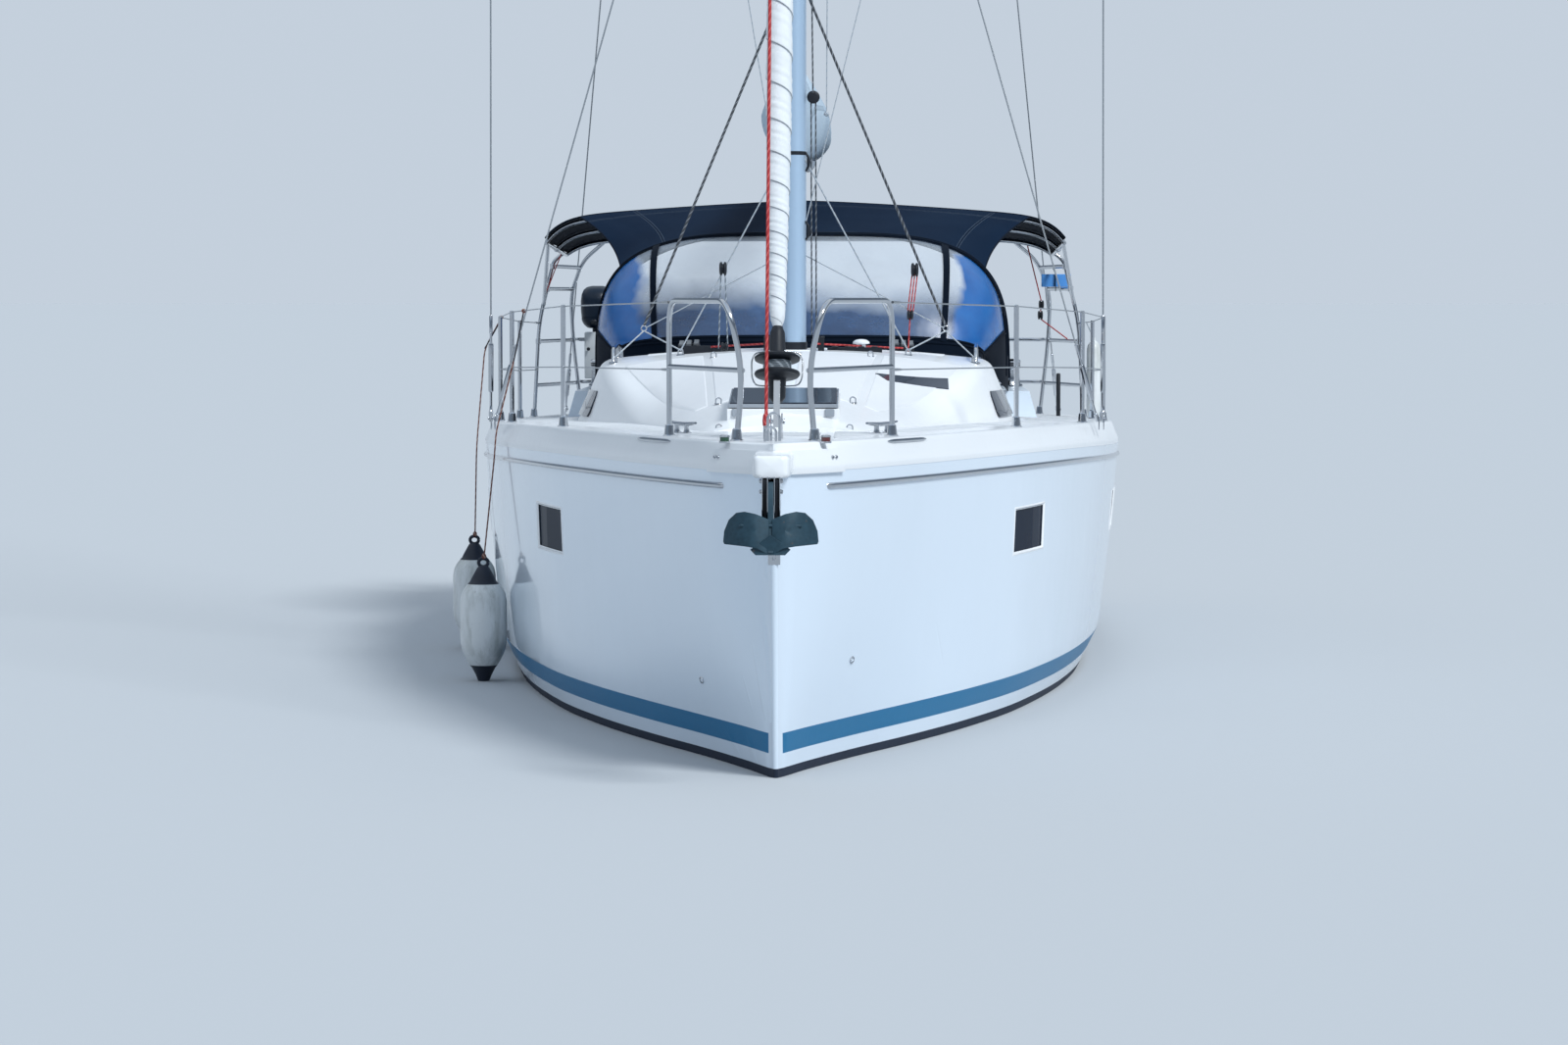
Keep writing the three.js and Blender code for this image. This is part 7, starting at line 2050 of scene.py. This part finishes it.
piece("rung_board", block(1.508, 1.700, 9.885, 9.903, 2.1135, 2.196), blue_board(),
      bevel=0.004)
strap_path = [at(1.600, 9.879, 2.098), at(1.600, 9.879, 2.202), at(1.600, 9.909, 2.202),
              at(1.600, 9.909, 2.098), at(1.600, 9.879, 2.098)]
hanger = [at(1.574, 9.880, 2.250), at(1.590, 9.880, 2.222), at(1.600, 9.882, 2.198)]
straps = [carried(rounded(strap_path, 0.008, 4), 0.016, 8, flat=0.16, level=(1, 0, 0)),
          carried(hanger, 0.011, 8, flat=0.4)]
post = [at(1.590, 9.200, z) for z in (float(deck_top(1.59, 9.2)) - 0.002, 1.560, 1.566)]
straps += [carried(post, [0.013, 0.013, 0.009], 14), sheave_block(1.508, 9.896, 1.998, 0.028, 0.034),
           sheave_block(1.502, 9.896, 1.930, 0.028, 0.034)]
piece("board_strap_post_and_blocks", straps, BLACK)
ties = [line((1.415, 9.890, float(bow_z(1.415, 9.89)) - 0.004), (1.507, 9.896, 2.024)),
        line((1.505, 9.896, 1.972), (1.503, 9.896, 1.954)),
        line((1.503, 9.896, 1.906), (1.678, 9.905, 1.776)),
        carried([at(-1.586, 9.582, shoulder(9.60) + 0.006), at(-1.628, 9.582, 2.230),
                 at(-1.690, 9.584, 2.070)], 0.011, 8, flat=0.3)]
piece("quarter_ties", ties, RED_LINE)
tape = carried([at(1.7685, 9.600, 1.285), at(1.7660, 9.600, 1.330), at(1.7590, 9.600, 1.466)],
               [0.0165, 0.0158, 0.0152], 16)
piece("leg_tape", tape, FENDER_WHITE)

# Winches: polished drums on the coamings, waisted and ribbed for grip, with black self-tailing jaws and a
# socket for the handle on top.
DRUM = [(0.0, 0.074), (0.010, 0.074), (0.016, 0.071), (0.018, 0.062), (0.030, 0.056), (0.060, 0.0515),
        (0.095, 0.0505), (0.108, 0.052), (0.112, 0.058), (0.118, 0.062), (0.124, 0.0625), (0.126, 0.050),
        (0.146, 0.050), (0.148, 0.0615), (0.158, 0.0615), (0.166, 0.054), (0.170, 0.046), (0.170, 0.018),
        (0.164, 0.014)]
for name, side in SIDES.items():
    spot = at(side * 1.260, 8.350, 1.500)
    piece(f"winch_drum_{name}", turned(spot, (0, 0, 1), DRUM, 40), STEEL,
          replaces=[f"winch_{name}"], sharp=28)
    turn = np.linspace(0, 2 * np.pi, 18, endpoint=False)
    ribs = [carried([spot + [r * np.cos(t), r * np.sin(t), h]
                     for h, r in ((0.034, 0.0555), (0.060, 0.0522), (0.102, 0.0515))], 0.0018, 6)
            for t in turn]
    piece(f"winch_ribs_{name}", ribs, STEEL)
    jaws = [turned(spot + [0, 0, h], (0, 0, 1),
                   [(0, 0.050), (0.001, 0.0595), (0.006, 0.0595), (0.0085, 0.051)], 32)
            for h in (0.1265, 0.137)]
    jaws.append(carried([spot + [-side * 0.050, 0, 0.136], spot + [-side * 0.066, 0, 0.140],
                         spot + [-side * 0.072, 0, 0.152]], [0.007, 0.008, 0.004], 10, flat=0.6))
    piece(f"winch_jaws_{name}", jaws, BLACK)

# Cockpit: one white moulding with footwell, seats, helm area and coamings; non-skid is moulded into its sole
# and seats, and the seat lockers have hinged lids with a shallow groove round them.
def cockpit_gelcoat(name, treads):
    """Gelcoat that turns to diamond non-skid on level treads, given as (height, nearest x, furthest x)."""
    f = Finish(name, Roughness=0.3, Specular_IOR_Level=0.45)
    diamonds = diamond_rows(f)
    clouds, worn = f.noise(1.7, 4), f.noise(2.5, 5, roughness=0.65)
    mask = None
    for z, near, far in treads:
        tread = (abs(f.z - z) < 0.0035) * (abs(f.x) > near) * (abs(f.x) < far)
        mask = tread if mask is None else mask + tread
    grip = f.mix(worn * 0.7 + diamonds * 0.15, (0.70, 0.735, 0.765, 1), (0.60, 0.64, 0.68, 1))
    return f.put(Base_Color=f.mix(mask, f.mix(clouds * 0.6, GELCOAT_SKYLIT_WHITE, GELCOAT_SKYLIT_CLOUDING), grip),
                 Roughness=mask * 0.35 + worn * 0.15 + 0.14, Normal=f.bump(diamonds * mask, 0.0012, 0.7))


softened("cockpit", cockpit_gelcoat("cockpit_gelcoat",
                                    [(0.450, -1, 0.44), (0.450, 0.52, 1.20), (0.900, 0.50, 0.53),
                                     (0.900, 0.60, 1.12)]), 0.010)
LID_TOP = cockpit_gelcoat("seat_lid_gelcoat", [(0.920, 0.57, 1.06)])
PLATFORM = cockpit_gelcoat("swim_platform_gelcoat", [(0.430, 0, 0.1)])
for name in SIDES:
    softened(f"seat_lid_{name}", LID_TOP, 0.005)
softened("swim_platform", PLATFORM, 0.010)


def teak(name, stretch):
    """Oiled teak: long grain in warm browns with pale streaks, drawn out along the plank."""
    f = Finish(name, Roughness=0.5)
    grain = f.noise(38, 5, roughness=0.7, stretch=stretch)
    fine = f.noise(240, 3, stretch=stretch)
    return f.put(Base_Color=f.mix(grain, (0.155, 0.070, 0.028, 1), (0.36, 0.20, 0.095, 1)),
                 Roughness=grain * 0.25 + 0.35, Normal=f.bump(fine + grain, 0.0008, 0.6))


TEAK = teak("oiled_teak", (1, 0.05, 1))
slats = [block(x - 0.034, x + 0.034, 10.824, 10.832, 0.480, 1.190)
         for x in np.linspace(-0.49, 0.49, 15)]
piece("platform_slats", slats, teak("slat_teak", (1, 1, 0.05)), body="swim_platform",
      bevel=0.002)

# Table and washboard: solid teak; the table's leaves hang folded beside its locker, with a fiddle rail and
# stainless latches, and the washboard drops into the companionway from above.
softened("cockpit_table", TEAK, 0.007)
fiddles = [block(x - 0.006, x + 0.006, 7.94, 8.66, 1.089, 1.103) for x in (-0.098, 0.098)]
piece("table_fiddles", fiddles, TEAK, bevel=0.003)
latches = [turned(at(side * 0.134, aft, 0.960), (side, 0, 0),
                  [(0, 0.017), (0.003, 0.016), (0.004, 0.008), (0.009, 0.007)], 16) for side in (1, -1)
           for aft in (8.05, 8.55)]
piece("table_latches", latches, STEEL)
softened("washboard", teak("washboard_teak", (0.05, 1, 1)), 0.004)

# Helms: two moulded pedestals with a compass each, carrying stainless wheels of six spokes whose rims are
# wound in grey leather. The starboard one has a throttle lever at its side.
def glass_dome():
    """Clear domed glass over a black card, with a pale ring of marks."""
    f = Finish("compass_glass", Roughness=0.05, Coat_Weight=1.0, Coat_Roughness=0.02)
    ring = (f.z > 1.432) * (f.z < 1.4345)
    return f.put(Base_Color=f.mix(ring + f.noise(20, 2) * 0.02, (0.006, 0.007, 0.009, 1),
                                  (0.45, 0.47, 0.48, 1)))


def leather():
    """Stitched grey leather: pebbled grain and a row of stitches along the inside of the rim."""
    f = Finish("rim_leather", Roughness=0.6)
    u, v = f.surface()
    pebbles = f.add("ShaderNodeTexVoronoi", values={"Vector": f.place, "Scale": 420})
    stitch = (1 - abs(u - 0.046).step(0.0022, 0.001)) * (v * 900).sine().step(0, 0.5)
    colour = f.mix(f.noise(6, 4), (0.045, 0.048, 0.053, 1), (0.085, 0.09, 0.097, 1))
    return f.put(Base_Color=f.mix(stitch, colour, (0.32, 0.33, 0.34, 1)),
                 Normal=f.bump(pebbles + stitch * 2, 0.0007, 0.7))


WHEEL = {"x": 0.780, "aft": 9.280, "z": 1.300, "radius": 0.430, "rim": 0.0138}
HUB = [(0, 0.036), (0.004, 0.045), (0.030, 0.045), (0.044, 0.038), (0.062, 0.034), (0.078, 0.026),
       (0.083, 0.012)]
DOME = [(0, 0.050), (0.010, 0.050), (0.024, 0.047), (0.040, 0.036), (0.050, 0.020), (0.054, 0.006)]
RIM_LEATHER, COMPASS_GLASS = leather(), glass_dome()
for name, side in SIDES.items():
    softened(f"helm_pedestal_{name}", DECK_WHITE, 0.012)
    hub = at(side * WHEEL["x"], WHEEL["aft"], WHEEL["z"])
    spoke = np.linspace(0, 2 * np.pi, 7)[:-1]
    arm = lambda t, r, back: hub + [r * math.cos(t), back, r * math.sin(t)]
    parts = [carried(rounded([arm(t, 0.030, -0.022), arm(t, 0.14, -0.018), arm(t, 0.34, -0.002),
                              arm(t, 0.424, 0)], 0.08, 6), [0.0095] * 12 + [0.0075] * 2, 10) for t in spoke]
    parts.append(turned(hub - [0, 0.058, 0], (0, 1, 0), HUB, 28))
    piece(f"wheel_spokes_{name}", parts, STEEL, body=f"wheel_{name}",
          replaces=[f"wheel_{name}"])
    turn = np.linspace(0, 2 * np.pi, 97)[:-1][:, None]
    around = np.linspace(0, 2 * np.pi, 15)[None, :-1]
    reach = WHEEL["radius"] + WHEEL["rim"] * np.cos(around)
    rim_points = hub + np.stack([reach * np.cos(turn), WHEEL["rim"] * np.sin(around) + 0 * turn,
                                 reach * np.sin(turn)], -1)
    rim_points = np.concatenate([rim_points, rim_points[:1]])
    piece(f"wheel_rim_{name}", grid(rim_points, loop=True).outward(), RIM_LEATHER, body=f"wheel_{name}",
          merge=0.0002)
    top = at(side * WHEEL["x"], 9.130, 1.418)
    piece(f"compass_{name}", turned(top, (0, 0, 1), DOME, 30), COMPASS_GLASS)
    collar = [turned(top, (0, 0, 1), [(0, 0.058), (0.008, 0.057), (0.013, 0.051), (0.013, 0.046)], 30)]
    if side < 0:
        collar += [carried(rounded([top + [-0.096, 0.0, -0.10], top + [-0.125, 0, -0.08],
                                    top + [-0.128, 0, 0.04]], 0.02, 5), 0.006, 10),
                   turned(top + [-0.128, 0, 0.03], (0, 0, 1),
                          [(0, 0.008), (0.006, 0.015), (0.022, 0.016), (0.030, 0.008)], 16)]
    piece(f"compass_collar_{name}", collar, BLACK)

# Keel and rudder: a cast iron fin with a flat-bottomed bulb, and a spade rudder on its stock, both faired and
# rolled with the same navy antifouling as the bottom.
def antifouling():
    """Matt navy antifouling: roller stipple, thin patches and a pale bloom of dried weed."""
    f = Finish("navy_antifouling", Roughness=0.8, Specular_IOR_Level=0.25)
    stipple, patch = f.noise(160, 3), f.noise(3.5, 5, roughness=0.7)
    colour = f.mix(patch.step(0.58, 0.25), BOTTOM_NAVY, (0.035, 0.052, 0.080, 1))
    return f.put(Base_Color=f.mix(f.noise(22, 5, roughness=0.8).step(0.70, 0.08) * 0.4, colour,
                                  (0.10, 0.12, 0.11, 1)), Roughness=stipple * 0.2 + 0.65,
                 Normal=f.bump(stipple, 0.0012, 0.5))


ANTIFOULING = antifouling()


def foil(aft, chord, thick, z, count=44):
    """A level symmetrical section: a cosine along its chord, a sine across it that is fuller ahead."""
    a = np.linspace(0, 2 * np.pi, count, endpoint=False)
    return np.stack([thick / 2 * np.sin(a) * (1 + 0.4 * np.cos(a)),
                     y_of(aft + chord * (1 - np.cos(a)) / 2), np.full(count, z)], -1)


def blade(top, foot, steps=9, tipped=True):
    """Sections between two given as (aft, chord, thickness, height), with a rounded tip at the foot."""
    rows = [np.asarray(top) + (np.asarray(foot) - top) * t for t in np.linspace(0, 1, steps)]
    tip = [rows[-1] + [row_in, -2 * row_in, -row_in * 1.2, -drop]
           for row_in, drop in ((0.006, 0.006), (0.022, 0.011))]
    return closed(np.array([foil(*row) for row in rows + (tip if tipped else [])]))


BULB = np.array([[0, 0.02], [0.008, 0.20], [0.03, 0.36], [0.06, 0.5], [0.2, 0.88], [0.4, 1], [0.65, 0.86],
                 [0.88, 0.42], [0.97, 0.17], [1, 0.05]])
t = np.concatenate([[0, 0.003, 0.008, 0.018], np.linspace(0.03, 0.97, 34), [0.99, 1.0]])
a = np.linspace(0, 2 * np.pi, 36, endpoint=False)
size = fair(BULB, 1, t)[:, None]
bulb = np.stack([0.170 * size * np.cos(a), y_of(4.70 + 1.90 * t)[:, None] + 0 * a,
                 np.maximum(-1.850 + 0.115 * size * np.sin(a), -1.940)], -1)
fin = blade((4.985, 1.245, 0.140, -0.42), (5.070, 1.020, 0.110, -1.800), tipped=False)
piece("keel_casting", [fin, closed(bulb)], ANTIFOULING, replaces=["keel"], sharp=45)
stock = turned(at(0, 10.150, -0.400), (0, 0, 1), [(0, 0.0445), (0.598, 0.0445)], 28)
spade = blade((10.020, 0.520, 0.100, -0.242), (10.060, 0.380, 0.060, -1.590))
piece("rudder_blade", [spade, stock], ANTIFOULING, body="rudder", replaces=["rudder"],
      sharp=45)

# Saildrive and propeller: a cast leg through the bottom with an anode on its torpedo, driving three bronze
# blades, each a twisted leaf on a tapered boss. The diesel stands on its beds over the leg.
leg = [blade((6.800, 0.300, 0.110, -0.36), (6.828, 0.210, 0.064, -0.866)),
       turned(at(0, 6.815, -0.800), (0, 1, 0),
              [(0, 0.010), (0.010, 0.026), (0.035, 0.041), (0.075, 0.050), (0.110, 0.052), (0.262, 0.052),
               (0.268, 0.049)], 30)]
piece("saildrive_leg", leg, rubber_black("saildrive_paint", (0.055, 0.060, 0.066, 1)),
      replaces=["saildrive"], sharp=45)
anode = turned(at(0, 7.010, -0.800), (0, 1, 0),
               [(0, 0.050), (0.003, 0.0545), (0.037, 0.0545), (0.040, 0.050)], 30)
piece("anode_ring", anode, galvanised_iron("zinc_anode"))
PROPELLER = {"aft": 7.130, "z": -0.800}
BLADE = np.array([[0.035, 0.026, 0.009, 0.50], [0.110, 0.058, 0.007, 0.85], [0.185, 0.048, 0.005, 1.05],
                  [0.215, 0.022, 0.003, 1.15]])


def propeller_blade(turn):
    """A leaf: an oval section at each radius, its half width, thickness and twist drawn from the table."""
    r = np.concatenate([np.linspace(0.035, 0.205, 14), [0.210, 0.2135, 0.215]])[:, None]
    half, thick, twist = (fair(BLADE, k, r) for k in (1, 2, 3))
    half[-3:] = [[0.0285], [0.020], [0.008]]
    b = np.linspace(0, 2 * np.pi, 22, endpoint=False)[None]
    tangent = half * np.cos(b) * np.sin(twist) - thick * np.sin(b) * np.cos(twist)
    axial = half * np.cos(b) * np.cos(twist) + thick * np.sin(b) * np.sin(twist)
    points = np.stack([r * np.cos(turn) - tangent * np.sin(turn), y_of(PROPELLER["aft"] + axial),
                       PROPELLER["z"] + r * np.sin(turn) + tangent * np.cos(turn)], -1)
    return closed(points)


def bronze():
    """Cast bronze, dulled to brown-green in patches."""
    f = Finish("propeller_bronze", Metallic=0.9, Roughness=0.35)
    patch = f.noise(16, 5, roughness=0.7)
    return f.put(Base_Color=f.mix(patch.step(0.55, 0.25) * 0.8, (0.52, 0.33, 0.12, 1),
                                  (0.19, 0.17, 0.09, 1)), Roughness=patch * 0.4 + 0.18,
                 Normal=f.bump(f.noise(90, 3), 0.0006, 0.5))


boss = turned(at(0, PROPELLER["aft"] - 0.045, PROPELLER["z"]), (0, 1, 0),
              [(0, 0.046), (0.003, 0.048), (0.045, 0.046), (0.100, 0.034), (0.120, 0.027), (0.131, 0.018),
               (0.135, 0.010)], 28)
piece("propeller_blades", [propeller_blade(turn) for turn in np.arange(3) * 2 * np.pi / 3] + [boss],
      bronze(), body="propeller", replaces=["propeller"], sharp=50)


def engine_enamel():
    """Grey-green engine enamel with oily darker patches low down."""
    f = Finish("engine_enamel", Roughness=0.4)
    oil = f.noise(7, 5, roughness=0.7)
    return f.put(Base_Color=f.mix(oil.step(0.6, 0.2) * (1 - f.z.step(0.0, 0.3)), (0.10, 0.16, 0.15, 1),
                                  (0.015, 0.016, 0.015, 1)), Roughness=oil * 0.3 + 0.25)


softened("engine", engine_enamel(), 0.030)
